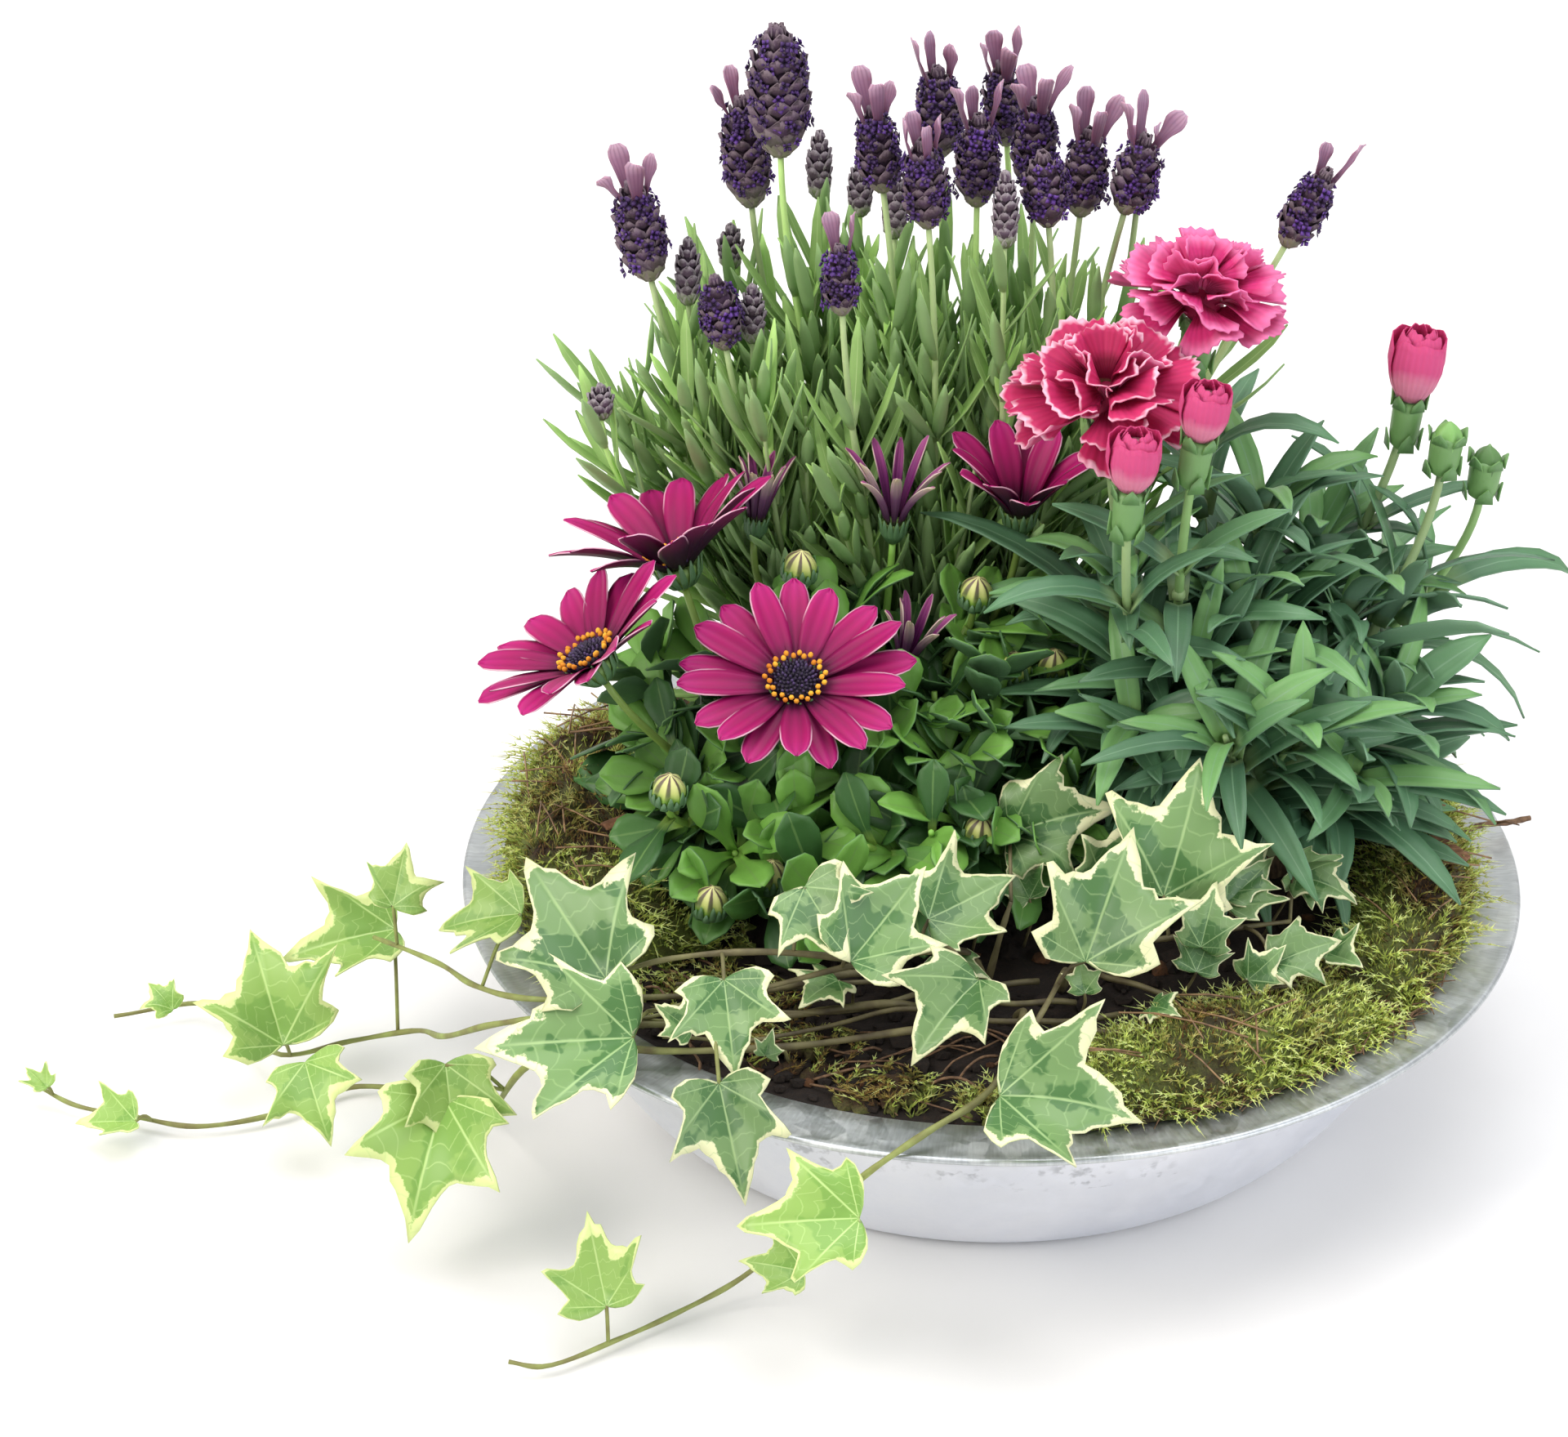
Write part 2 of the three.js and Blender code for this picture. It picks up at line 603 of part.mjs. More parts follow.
function growIvy({ spot, vines: routes, leaves: entries }) {
  const [x, y] = STUMPS.ivy[spot];
  const vines = routes.map((points) => ({
    path: new THREE.CatmullRomCurve3(points.map((p) => v(...p)), false, 'centripetal'),
    steps: Math.ceil(points.length * 1.25),
  }));
  const stems = vines.map(({ path, steps }) => tube(path, VINE_RADIUS, 4, steps));
  const rivals = [];
  entries.forEach((entry) => {
    const leaf = seatIvyLeaf(entry, vines, rivals);
    if (leaf) rivals.push(boxed(leaf));
  });
  return join([stump(x, y, IVY_STUMP_RADIUS, 69), ...stems, ...rivals.map((r) => r.solid)]);
}

const ivyFinish = finish('#6f9a4e', 0.5);
Object.entries(IVY).forEach(([name, plant]) => {
  const [x, y] = STUMPS.ivy[plant.spot];
  add(name, growIvy(plant), ivyFinish.clone(), v(x, y, STUMP_TOP));
});

// Lavender flower heads: knobbly spikes with upright bracts on top. The radius is the core's.
const HEADS = [
  { base: [-63, 70, 249], top: [-64, 70, 285], radius: 8.2, bracts: 0, spot: 1 },
  { base: [-72, 85, 227], top: [-75, 85, 258], radius: 6.4, bracts: 3, spot: 1 },
  { base: [-99, 60, 215], top: [-104, 60, 242], radius: 6.6, bracts: 4, spot: 0 },
  { base: [-34, 60, 243], top: [-37, 60, 266], radius: 5.6, bracts: 4, spot: 2 },
  { base: [-21, 45, 239], top: [-23, 45, 262], radius: 6.0, bracts: 4, spot: 2 },
  { base: [-19, 95, 239], top: [-20, 95, 264], radius: 6.0, bracts: 3, spot: 3 },
  { base: [0, 112, 236], top: [-2, 112, 259], radius: 5.6, bracts: 4, spot: 3 },
  { base: [-8, 70, 235], top: [-8, 70, 260], radius: 5.8, bracts: 3, spot: 3 },
  { base: [8, 90, 231], top: [8, 90, 257], radius: 6.0, bracts: 4, spot: 3 },
  { base: [12, 50, 238], top: [10, 50, 257], radius: 6.0, bracts: 0, spot: 4 },
  { base: [21, 76, 230], top: [23, 76, 254], radius: 5.8, bracts: 4, spot: 4 },
  { base: [33, 60, 238], top: [38, 60, 259], radius: 5.8, bracts: 3, spot: 4 },
  { base: [37, 84, 228], top: [38, 84, 243], radius: 4.6, bracts: 2, spot: 4 },
  { base: [78, 60, 229], top: [88, 60, 250], radius: 5.2, bracts: 2, spot: 4 },
  { base: [-77, 45, 201], top: [-80, 45, 221], radius: 5.2, bracts: 0, spot: 0 },
  { base: [-44, 28, 220], top: [-45, 28, 239], radius: 4.4, bracts: 2, spot: 2 },
];
const HEAD_RINGS = [[0, 0.42], [0.14, 0.92], [0.42, 1], [0.7, 0.92], [0.9, 0.6]];
const HEAD_RELIEF = 0.16;
const BRACT = { length: 14, width: 5.4, rise: 1.1, bend: 1.5, yaw: 0, twist: 0, stations: [[0.6, 1, 0.9]] };

// Florets stand out of the head by turns. Bracts grow out of sides of its topmost band.
function lavenderHead({ base, top, radius, bracts }, seed) {
  const sides = radius > 8 ? 10 : 8;
  const [low, high] = [v(...base), v(...top)];
  const path = new THREE.LineCurve3(low, high);
  const skin = new Skin();
  const free = Array.from({ length: sides }, (_, f) => f);
  const leafy = free.filter((f) => f % 2 === 0).slice(0, bracts);
  let last = null;
  HEAD_RINGS.forEach(([t, share], k) => {
    const frame = frameAt(path, t);
    const ring = Array.from({ length: sides }, (_, i) => {
      const stand = k === 0 ? 1 : 1 + HEAD_RELIEF * ((i + k) % 2 ? 1 : -1);
      const out = around(frame, (2 * Math.PI * i) / sides);
      return skin.point(frame.middle.clone().addScaledVector(out, radius * share * stand));
    });
    if (last === null) skin.cap(ring.toReversed());
    const isTop = k === HEAD_RINGS.length - 1;
    for (let f = 0; last !== null && f < sides; f += 1) {
      const g = (f + 1) % sides;
      const root = [last[f], last[g], ring[g], ring[f]];
      if (isTop && leafy.includes(f)) {
        const centre = root.reduce((sum, id) => sum.add(skin.points[id]), v(0, 0, 0)).multiplyScalar(1 / 4);
        const out = around(frame, (2 * Math.PI * (f + 0.5)) / sides);
        const length = BRACT.length * between(0.8, 1.15, seed, f);
        closeBlade(skin, root, bladePoints(centre, out, frame.ahead, { ...BRACT, length }));
      } else {
        skin.quad(...root);
      }
    }
    last = ring;
  });
  skin.cone(last, skin.point(high));
  return skin.solid();
}

const headFinish = finish('#4a3560', 0.8);
HEADS.forEach((head, i) => {
  const name = `lavender_head_${String(i + 1).padStart(2, '0')}`;
  add(name, lavenderHead(head, 500 + i), headFinish.clone(), v(...head.base));
});

// African daisies: rays round a hub, with the disc as a piece of its own

const RAY_STATIONS = [[0.74, 1, 1]];
const DAISIES = [
  { name: 'daisy_front', at: [-54, -30, 136], facing: [0, -0.44, 0.9], rays: 18, hub: 7, length: 26,
    width: 8.4, rise: 16, bend: 12, disc: true, spot: 0 },
  { name: 'daisy_back', at: [-89, 9, 152], facing: [-0.3, 0.15, 0.94], rays: 16, hub: 7, length: 29,
    width: 8.8, rise: 42, bend: 24, disc: true, spot: 0 },
  { name: 'daisy_left', at: [-110, -30, 142], facing: [-0.5, 0, 0.87], rays: 16, hub: 7, length: 26,
    width: 8.8, rise: 26, bend: 14, disc: true, spot: 0 },
  { name: 'daisy_half_open', at: [6, 30, 160], facing: [0, -0.1, 1], rays: 11, hub: 5, length: 25,
    width: 8, rise: 62, bend: 34, disc: false, spot: 1 },
  { name: 'daisy_closed_middle', at: [-29, 25, 159], facing: [0.05, -0.1, 1], rays: 10, hub: 4, length: 23,
    width: 3.6, rise: 72, bend: 50, disc: false, spot: 1 },
  { name: 'daisy_closed_left', at: [-68, 34, 154], facing: [0.1, -0.1, 1], rays: 8, hub: 3.4, length: 20,
    width: 3.4, rise: 80, bend: 66, disc: false, spot: 1 },
  { name: 'daisy_closed_low', at: [-25, 6, 124], facing: [0.25, -0.1, 1], rays: 8, hub: 3.4, length: 20,
    width: 3.4, rise: 78, bend: 62, disc: false, spot: 1 },
];
const HUB_DEPTH = 8;
const DISC_HEIGHT = 4;

function daisyRays({ at, facing, rays, hub, length, width, rise, bend }, seed) {
  const middle = v(...at);
  const axis = v(...facing).normalize();
  const path = new THREE.LineCurve3(middle.clone().addScaledVector(axis, -HUB_DEPTH), middle);
  const skin = new Skin();
  const rim = frameAt(path, 1);
  const lower = skin.loop(ringAt(frameAt(path, 0.78), hub * 0.9, rays, 0));
  const upper = skin.loop(ringAt(rim, hub, rays, 0));
  const foot = skin.point(path.getPoint(0));
  lower.forEach((a, i) => skin.triangle(lower[(i + 1) % rays], a, foot));
  skin.cap(upper);
  for (let i = 0; i < rays; i += 1) {
    const j = (i + 1) % rays;
    const root = [lower[i], lower[j], upper[j], upper[i]];
    const corners = root.map((id) => skin.points[id]);
    const centre = corners.reduce((sum, p) => sum.add(p), v(0, 0, 0)).multiplyScalar(1 / 4);
    const angle = (2 * Math.PI * (i + 0.5)) / rays;
    const out = rim.first.clone().multiplyScalar(Math.cos(angle)).addScaledVector(rim.second, Math.sin(angle));
    const layer = i % 2 ? 3 : -2;
    closeBlade(skin, root, bladePoints(centre, out, rim.ahead, {
      length: length * between(0.92, 1.04, seed + i, 1),
      width,
      rise: rad(rise + layer + between(-2, 2, seed + i, 2)),
      bend: rad(bend + layer + between(-4, 4, seed + i, 3)),
      yaw: 0,
      twist: between(-0.15, 0.15, seed + i, 4),
      stations: RAY_STATIONS,
    }));
  }
  return skin.solid();
}

function daisyDisc({ at, facing, hub }) {
  const axis = v(...facing).normalize();
  const base = v(...at).addScaledVector(axis, GAP);
  return knobbly({
    base,
    top: base.clone().addScaledVector(axis, DISC_HEIGHT),
    rings: [[0, hub * 0.86], [0.5, hub * 0.84], [0.85, hub * 0.5]],
    sides: 10,
    relief: 0.3,
  });
}

const rayFinish = finish('#a01f5e', 0.6);
const discFinish = finish('#3a2440', 0.8);
DAISIES.forEach((daisy, i) => {
  const seat = v(...daisy.at);
  add(`${daisy.name}_rays`, daisyRays(daisy, 700 + 30 * i), rayFinish.clone(), seat);
  if (daisy.disc) add(`${daisy.name}_disc`, daisyDisc(daisy), discFinish.clone(), seat);
});

// Carnations: frilled petals in layers on a narrow core

const FRILL_THICKNESS = 0.8;
const FRILL_SPREAD = 40;
const PETALS_ROUND = 6;

function frillPetal(skin, root, frame, out, { length, rise, bend, wave, teeth }) {
  const across = frame.ahead.clone().cross(out);
  const corners = root.map((id) => skin.points[id]);
  const centre = corners.reduce((sum, p) => sum.add(p), v(0, 0, 0)).multiplyScalar(1 / 4);
  const heading = (angle) => out.clone().multiplyScalar(Math.cos(angle)).addScaledVector(frame.ahead, Math.sin(angle));
  const facing = (angle) => heading(angle + Math.PI / 2);
  const claw = centre.clone().addScaledVector(heading(rise), length * 0.3);
  const onTop = (p) => p.clone().addScaledVector(facing(bend), FRILL_THICKNESS / 2);
  const onBottom = (p) => p.clone().addScaledVector(facing(bend), -FRILL_THICKNESS / 2);
  const left = claw.clone().addScaledVector(across, -2);
  const right = claw.clone().addScaledVector(across, 2);
  const edge = Array.from({ length: teeth }, (_, i) => {
    const angle = rad(lerp(-FRILL_SPREAD, FRILL_SPREAD, i / (teeth - 1)));
    const reach = length * (i % 2 ? 0.6 : 0.72);
    return claw.clone()
      .addScaledVector(heading(bend), reach * Math.cos(angle))
      .addScaledVector(across, reach * Math.sin(angle))
      .addScaledVector(facing(bend), i % 2 ? wave : -wave);
  });
  const top = skin.loop([left, ...edge, right].map(onTop));
  const bottom = skin.loop([left, ...edge, right].map(onBottom));
  const [n, middle] = [top.length - 1, (teeth + 1) / 2];
  [[top, false], [bottom, true]].forEach(([ids, flip]) => {
    const face = (a, b, c) => (flip ? skin.triangle(a, c, b) : skin.triangle(a, b, c));
    for (let i = 1; i < middle; i += 1) face(ids[0], ids[i], ids[i + 1]);
    face(ids[0], ids[middle], ids[n]);
    for (let i = middle; i < n - 1; i += 1) face(ids[n], ids[i], ids[i + 1]);
  });
  for (let i = 0; i < n; i += 1) skin.quad(top[i], bottom[i], bottom[i + 1], top[i + 1]);
  skin.band(root, [bottom[0], bottom[n], top[n], top[0]]);
}

const CARNATIONS = [
  { name: 'carnation_upper', at: [54, 38, 216], facing: [0.05, -0.05, 1], scale: 1, spot: 1 },
  { name: 'carnation_lower', at: [29, 3, 201], facing: [-0.06, -0.16, 1], scale: 1.12, spot: 0 },
];
const FRILL_LAYERS = [
  { height: 1.5, radius: 3.4, length: 23, rise: 34, bend: -6, wave: 1.2, turn: 0, teeth: 5 },
  { height: 5, radius: 3.2, length: 21, rise: 54, bend: 18, wave: 1.4, turn: 30, teeth: 3 },
  { height: 8.5, radius: 2.6, length: 15, rise: 76, bend: 46, wave: 1.2, turn: 0, teeth: 3 },
];
const FRILL_BAND = 1.4;

function carnation({ at, facing, scale }, seed) {
  const axis = v(...facing).normalize();
  const path = new THREE.LineCurve3(v(...at), v(...at).addScaledVector(axis, 10 * scale));
  const skin = new Skin();
  let last = skin.loop(ringAt(frameAt(path, 0), 3, PETALS_ROUND, 0));
  skin.cap(last.toReversed());
  FRILL_LAYERS.forEach(({ height, radius, length, rise, bend, wave, turn, teeth }, k) => {
    const low = frameAt(path, height / 10);
    const frame = frameAt(path, (height + FRILL_BAND) / 10);
    const lower = skin.loop(ringAt(low, radius * scale, PETALS_ROUND, rad(turn)));
    const upper = skin.loop(ringAt(frame, radius * scale, PETALS_ROUND, rad(turn)));
    skin.band(last, lower);
    for (let i = 0; i < PETALS_ROUND; i += 1) {
      const j = (i + 1) % PETALS_ROUND;
      const angle = rad(turn) + (2 * Math.PI * (i + 0.5)) / PETALS_ROUND;
      const out = frame.first.clone().multiplyScalar(Math.cos(angle)).addScaledVector(frame.second, Math.sin(angle));
      const pick = (low2, high2, q) => between(low2, high2, seed + 10 * k + i, q);
      frillPetal(skin, [lower[i], lower[j], upper[j], upper[i]], frame, out, {
        length: length * scale * pick(0.92, 1.05, 1),
        rise: rad(rise + pick(-3, 3, 2)),
        bend: rad(bend + pick(-5, 5, 3)),
        wave: wave * scale,
        teeth,
      });
    }
    last = upper;
  });
  skin.cap(last);
  return skin.solid();
}

const carnationFinish = finish('#c8215f', 0.7);
CARNATIONS.forEach((flower, i) => {
  add(flower.name, carnation(flower, 900 + 40 * i), carnationFinish.clone(), v(...flower.at));
});

// Pink buds, ribbed by their rolled petals
const PINK_BUDS = [
  { name: 'carnation_bud_low', at: [35, -31, 198], top: [36, -32, 214], radius: 7, spot: 0 },
  { name: 'carnation_bud_middle', at: [53, -22, 209], top: [55, -23, 224], radius: 6.6, spot: 0 },
  { name: 'carnation_bud_right', at: [114, 45, 190], top: [116, 45, 210], radius: 7.6, spot: 1 },
];
const PINK_RINGS = [[0, 0.5], [0.3, 0.92], [0.7, 1], [0.98, 0.8]];
PINK_BUDS.forEach(({ name, at, top, radius }) => {
  const bud = knobbly({
    base: v(...at),
    top: v(...top),
    rings: PINK_RINGS.map(([t, share]) => [t, radius * share]),
    sides: 8,
    relief: 0.5,
  });
  add(name, bud, finish('#e0457f', 0.6), v(...at));
});

// Leafy stems. Each clump is one stump with its stems, leaves, green buds and calyxes.

const LEAF = {
  lavender: { length: [26, 42], width: [3.8, 4.6], rise: [0.7, 1.0], bend: [0.85, 1.35],
    stations: [[0.45, 1, 1.1]] },
  daisy: { length: [24, 38], width: [10.5, 14], rise: [0.35, 0.8], bend: [0.0, 0.6],
    stations: [[0.3, 0.34, 1.2], [0.7, 1, 1.1]] },
  carnation: { length: [50, 80], width: [6.5, 9], rise: [0.8, 1.1], bend: [-0.7, 0.3],
    stations: [[0.3, 1, 1.4], [0.68, 0.86, 1.1]] },
};
const BAND = 1.5;

// Stems start side by side round the stump's top, in the order in which their tips lie round it.
function stemFeet(spot, stems) {
  const bearing = ({ to }) => Math.atan2(to[1] - spot[1], to[0] - spot[0]);
  const order = stems.map((_, i) => i).sort((p, q) => bearing(stems[p]) - bearing(stems[q]));
  const step = (2 * Math.PI) / stems.length;
  const sines = order.reduce((sum, i, k) => sum + Math.sin(bearing(stems[i]) - k * step), 0);
  const cosines = order.reduce((sum, i, k) => sum + Math.cos(bearing(stems[i]) - k * step), 0);
  const start = Math.atan2(sines, cosines);
  const feet = [];
  order.forEach((i, k) => {
    const radius = STUMP_RADIUS * (k % 2 && stems.length > 6 ? 0.4 : 0.74);
    const angle = start + k * step;
    feet[i] = v(spot[0] + radius * Math.cos(angle), spot[1] + radius * Math.sin(angle), STUMP_TOP - 5);
  });
  return feet;
}

const SWAYS = [
  [0, 0], [12, -12], [-12, 12], [10, 10], [-10, -10], [24, -24], [-24, 24], [24, 6], [-24, -6], [6, 24],
  [-6, -24], [36, -36], [-36, 36], [40, 12], [-40, -12],
];

const ROUTE_GAP = 0.6;

// Routes a stem so that its bare tube is clear of every other one, swayed aside where it has to be.
function routeStem(from, stem) {
  const to = v(...stem.to);
  const heading = v(...stem.heading).normalize();
  for (const sway of SWAYS) {
    const path = stemPath(from, to, heading, sway);
    const solid = tube(path, Math.max(stem.low, stem.high), 5, 8);
    const parts = [solid.trimByPlane([0, 0, 1], STUMP_TOP + 3)];
    if (stem.bulk) {
      const swelling = stem.bulk.map((distance) => to.clone().addScaledVector(heading, distance));
      parts.push(tube(new THREE.LineCurve3(...swelling), stem.girth, 6, 1));
    }
    if (parts.every((p) => isClear(p, placed) && isClear(p, routed, ROUTE_GAP))) {
      parts.forEach((p) => routed.push(boxed(p, path)));
      return path;
    }
  }
  return null;
}

const clumps = [];

function plantClump(name, kind, spotIndex, stems, color, seed) {
  const spot = STUMPS[kind][spotIndex];
  const feet = stemFeet(spot, stems);
  clumps.push({ name, kind, spot, seed, color, stems: stems.map((stem, n) => ({ ...stem, n, foot: feet[n] })) });
}

// All stems that carry a flower or a bud are routed first, then the leafy shoots.
function routeClumps() {
  const all = clumps.flatMap(({ stems }) => stems);
  [false, true].forEach((spare) => {
    all.filter((stem) => Boolean(stem.spare) === spare).forEach((stem) => {
      stem.path = routeStem(stem.foot, stem);
    });
  });
}

function growClump({ name, kind, spot, seed, color, stems }) {
  const solids = stems.filter(({ path }) => path).flatMap((stem) => {
    const half = BAND / stem.path.getLength();
    const whorls = stem.whorls.map((at, w) => ({
      at,
      half,
      turn: stem.sides === 3 ? (w % 2) * (Math.PI / 3) : 0,
      leaf: (side) => {
        if (stem.sides === 4 && side % 2 !== w % 2) return null;
        const leaf = drawLeaf(LEAF[kind], seed + stem.n * 50 + w * 4 + side);
        return { ...leaf, ...(stem.tune ? stem.tune(leaf, at) : {}) };
      },
    }));
    const own = leafyStem({ end: [], bends: [], ...stem, whorls });
    return stem.cup ? [own, stem.cup(v(...stem.to), v(...stem.heading).normalize())] : [own];
  });
  add(name, join([stump(...spot, STUMP_RADIUS), ...solids]), finish(color, 0.65), v(...spot, STUMP_TOP));
}

// Golden-angle spots in an ellipse, the same however many are drawn.
function spread(count, centre, semi) {
  return Array.from({ length: count }, (_, i) => {
    const angle = i * 2.39996;
    const share = Math.sqrt(draw(i, 17));
    return { x: centre[0] + semi[0] * share * Math.cos(angle), y: centre[1] + semi[1] * share * Math.sin(angle), share };
  });
}

function nearestSpot(kind, centre, { x, y }, pull) {
  const [px, py] = [centre[0] + (x - centre[0]) * pull, centre[1] + (y - centre[1]) * pull];
  const distances = STUMPS[kind].map(([sx, sy]) => Math.hypot(sx - px, sy - py));
  return distances.indexOf(Math.min(...distances));
}

// The rings of a bud on a stem's end, which closes in a point.
const bud = (radius, length) => ({
  end: [[length * 0.1, radius * 0.6], [length * 0.4, radius], [length * 0.78, radius * 0.75]],
  point: length,
  girth: radius,
  bulk: [0, length],
});

// A green calyx: the tube that holds a carnation's petals. It ends flat, just under them.
const calyx = (radius, length) => ({
  girth: radius,
  bulk: [-length, 0],
  cup: (to, heading) => knobbly({
    base: to.clone().addScaledVector(heading, -length),
    top: to.clone(),
    rings: [[0, 1.4], [0.2, radius * 0.85], [1, radius]],
    sides: 6,
    relief: 0,
    flat: true,
  }),
});

// A stalk stops just short of the flower it carries.
const under = (at, heading, gap = GAP + 0.1) => v(...at).addScaledVector(v(...heading).normalize(), -gap).toArray();

// African daisy clumps
const DAISY_BUDS = [
  [[-88, -48, 108], 0], [[-76, -60, 80], 2], [[-55, 8, 148], 1], [[5, 0, 122], 2],
  [[16, 6, 120], 2], [[-6, 12, 139], 1], [[-38, -38, 100], 2], [[-3, -46, 96], 2],
  [[-60, -52, 84], 0], [[-119, 24, 138], 0],
];
const DAISY_CENTRE = [-38, -14];
const daisyShoots = spread(12, DAISY_CENTRE, [54, 44]).map((tip) => ({
  to: [tip.x, tip.y, 124 - 30 * tip.share ** 2 + between(-8, 8, Math.round(tip.x), 3)],
  spot: nearestSpot('daisy', DAISY_CENTRE, tip, 0.45),
}));

function leafyShoot(spot, to, rest) {
  const heading = [to[0] - spot[0], to[1] - spot[1], (to[2] - STUMP_TOP) * 1.2];
  return { to, heading, spare: true, low: 1.5, high: 0.9, point: 1.5, ...rest };
}

STUMPS.daisy.forEach((spot, s) => {
  const stalks = DAISIES.filter((d) => d.spot === s).map((d) => ({
    to: under(v(...d.at).addScaledVector(v(...d.facing).normalize(), -HUB_DEPTH).toArray(), d.facing),
    heading: d.facing,
    low: 1.6,
    high: 1.1,
    sides: 4,
    whorls: d.disc ? [0.3] : [],
    bends: d.disc ? [0.7] : [0.35, 0.7],
    point: 0,
    tune: ({ rise }, at) => ({ rise: rise + at * 0.5, length: 24 }),
  }));
  const buds = DAISY_BUDS.filter(([, b]) => b === s).map(([to]) => ({
    to,
    heading: [0.1, -0.2, 1],
    low: 1.4,
    high: 1,
    sides: 4,
    whorls: [0.55],
    ...bud(4.8, 10),
  }));
  const shoots = daisyShoots.filter((shoot) => shoot.spot === s).map(({ to }) => leafyShoot(spot, to, {
    sides: 3,
    whorls: [0.62, 0.92],
    tune: ({ rise, bend, length }, at) => (
      at > 0.8 ? { rise: rise + 0.35, bend: bend + 0.35, length: length * 0.85 } : {}
    ),
  }));
  plantClump(`daisy_stems_${s + 1}`, 'daisy', s, [...stalks, ...buds, ...shoots], '#3f7a33', 2000 + 1000 * s);
});

// Carnation clumps
const CARNATION_SHOOTS = [
  [[34, 4, 160], 0], [[55, -12, 138], 0], [[38, -22, 122], 0], [[73, 30, 168], 1], [[89, 40, 153], 1],
  [[68, 4, 150], 2], [[99, 25, 138], 2], [[110, 0, 118], 2], [[83, -30, 128], 2],
  [[63, -36, 126], 2], [[100, -20, 106], 2],
];
const GREEN_BUDS = [[[123, 34, 172], 2], [[135, 40, 162], 1]];

STUMPS.carnation.forEach((spot, s) => {
  const flowering = { low: 1.7, high: 1.3, sides: 4, whorls: [0.3, 0.62], bends: [0.85], point: 0 };
  const stalks = CARNATIONS.filter((d) => d.spot === s).map((d) => ({
    ...flowering,
    to: under(d.at, d.facing),
    heading: d.facing,
    ...calyx(3.8, 16),
  }));
  const pink = PINK_BUDS.filter((b) => b.spot === s).map((b) => {
    const heading = v(...b.top).sub(v(...b.at)).toArray();
    return { ...flowering, to: under(b.at, heading), heading, ...calyx(3.6, 15) };
  });
  const green = GREEN_BUDS.filter(([, b]) => b === s).map(([to]) => ({
    ...flowering,
    to,
    heading: [0.1, 0, 1],
    ...bud(5.4, 17),
  }));
  const shoots = CARNATION_SHOOTS.filter(([, b]) => b === s).map(([to]) => leafyShoot(spot, to, {
    sides: 4,
    whorls: [0.45, 0.68, 0.9],
    tune: ({ rise, bend, length }, at) => (
      at > 0.8 ? { rise: rise + 0.3, bend: bend + 0.7, length: length * 0.6 } : { rise, bend, length }
    ),
  }));
  const stems = [...stalks, ...pink, ...green, ...shoots];
  plantClump(`carnation_stems_${s + 1}`, 'carnation', s, stems, '#3d6e58', 6000 + 1000 * s);
});

// Lavender clumps
const LAVENDER_BUDS = [
  [[-53, 90, 228], 18, 1], [[-31, 72, 224], 18, 2], [[-41, 80, 227], 14, 1], [[0, 42, 235], 20, 4],
  [[-89, 66, 205], 18, 0], [[-70, 52, 200], 15, 0], [[-78, 84, 208], 11, 1], [[-112, 40, 181], 8, 0],
];
const LAVENDER_CENTRE = [-36, 66];
const lavenderShoots = spread(7, LAVENDER_CENTRE, [74, 40]).map((tip) => ({
  to: [tip.x, tip.y, 216 - 30 * tip.share ** 2 + between(-14, 6, Math.round(tip.x), 5)],
  spot: nearestSpot('lavender', LAVENDER_CENTRE, tip, 0.45),
}));

STUMPS.lavender.forEach((spot, s) => {
  const stalks = HEADS.filter((h) => h.spot === s).map((h) => {
    const heading = v(...h.top).sub(v(...h.base)).toArray();
    return {
      to: under(h.base, heading),
      heading,
      low: 1.4,
      high: 0.95,
      sides: 3,
      whorls: [0.38, 0.62],
      point: 0,
    };
  });
  const buds = LAVENDER_BUDS.filter(([, , b]) => b === s).map(([to, length]) => ({
    to,
    heading: [0, 0, 1],
    low: 1.3,
    high: 0.8,
    sides: 4,
    whorls: [0.4, 0.62],
    ...bud(3.6, length),
  }));
  const shoots = lavenderShoots.filter((shoot) => shoot.spot === s).map(({ to }) => leafyShoot(spot, to, {
    sides: 3,
    whorls: [0.35, 0.56, 0.76, 0.95],
  }));
  const stems = [...stalks, ...buds, ...shoots];
  plantClump(`lavender_stems_${s + 1}`, 'lavender', s, stems, '#6d8f55', 9000 + 1000 * s);
});

routeClumps();
clumps.forEach(growClump);

// A chip of bark and a twig lie loose on the moss and the rim at the right

const SETTLE_STEP = 0.1;

// Raises a solid a little at a time until it rests just clear of what lies below it.
function settle(solid) {
  let raised = solid;
  while (!isClear(raised)) raised = raised.translate([0, 0, SETTLE_STEP]);
  return raised;
}

const chip = new THREE.BoxGeometry(13, 7, 1.6).rotateX(rad(-6)).rotateY(rad(14)).rotateZ(rad(-32));
const bark = settle(solidOf(chip.translate(127, -16, 68)));
add('bark_chip', bark, finish('#6b4a33', 0.9));

const twigPath = new THREE.CatmullRomCurve3([[134, 16, 66], [141, 20, 66.5], [148, 24, 65], [155, 27, 65]].map((p) => v(...p)));
add('twig', settle(tube(twigPath, 0.9, 5, 5)), finish('#3c2a1e', 0.9));

export default part;
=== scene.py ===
import functools
import math

import bmesh
import bpy
import numpy as np
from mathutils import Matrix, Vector, noise
from mathutils.bvhtree import BVHTree
from mathutils.kdtree import KDTree


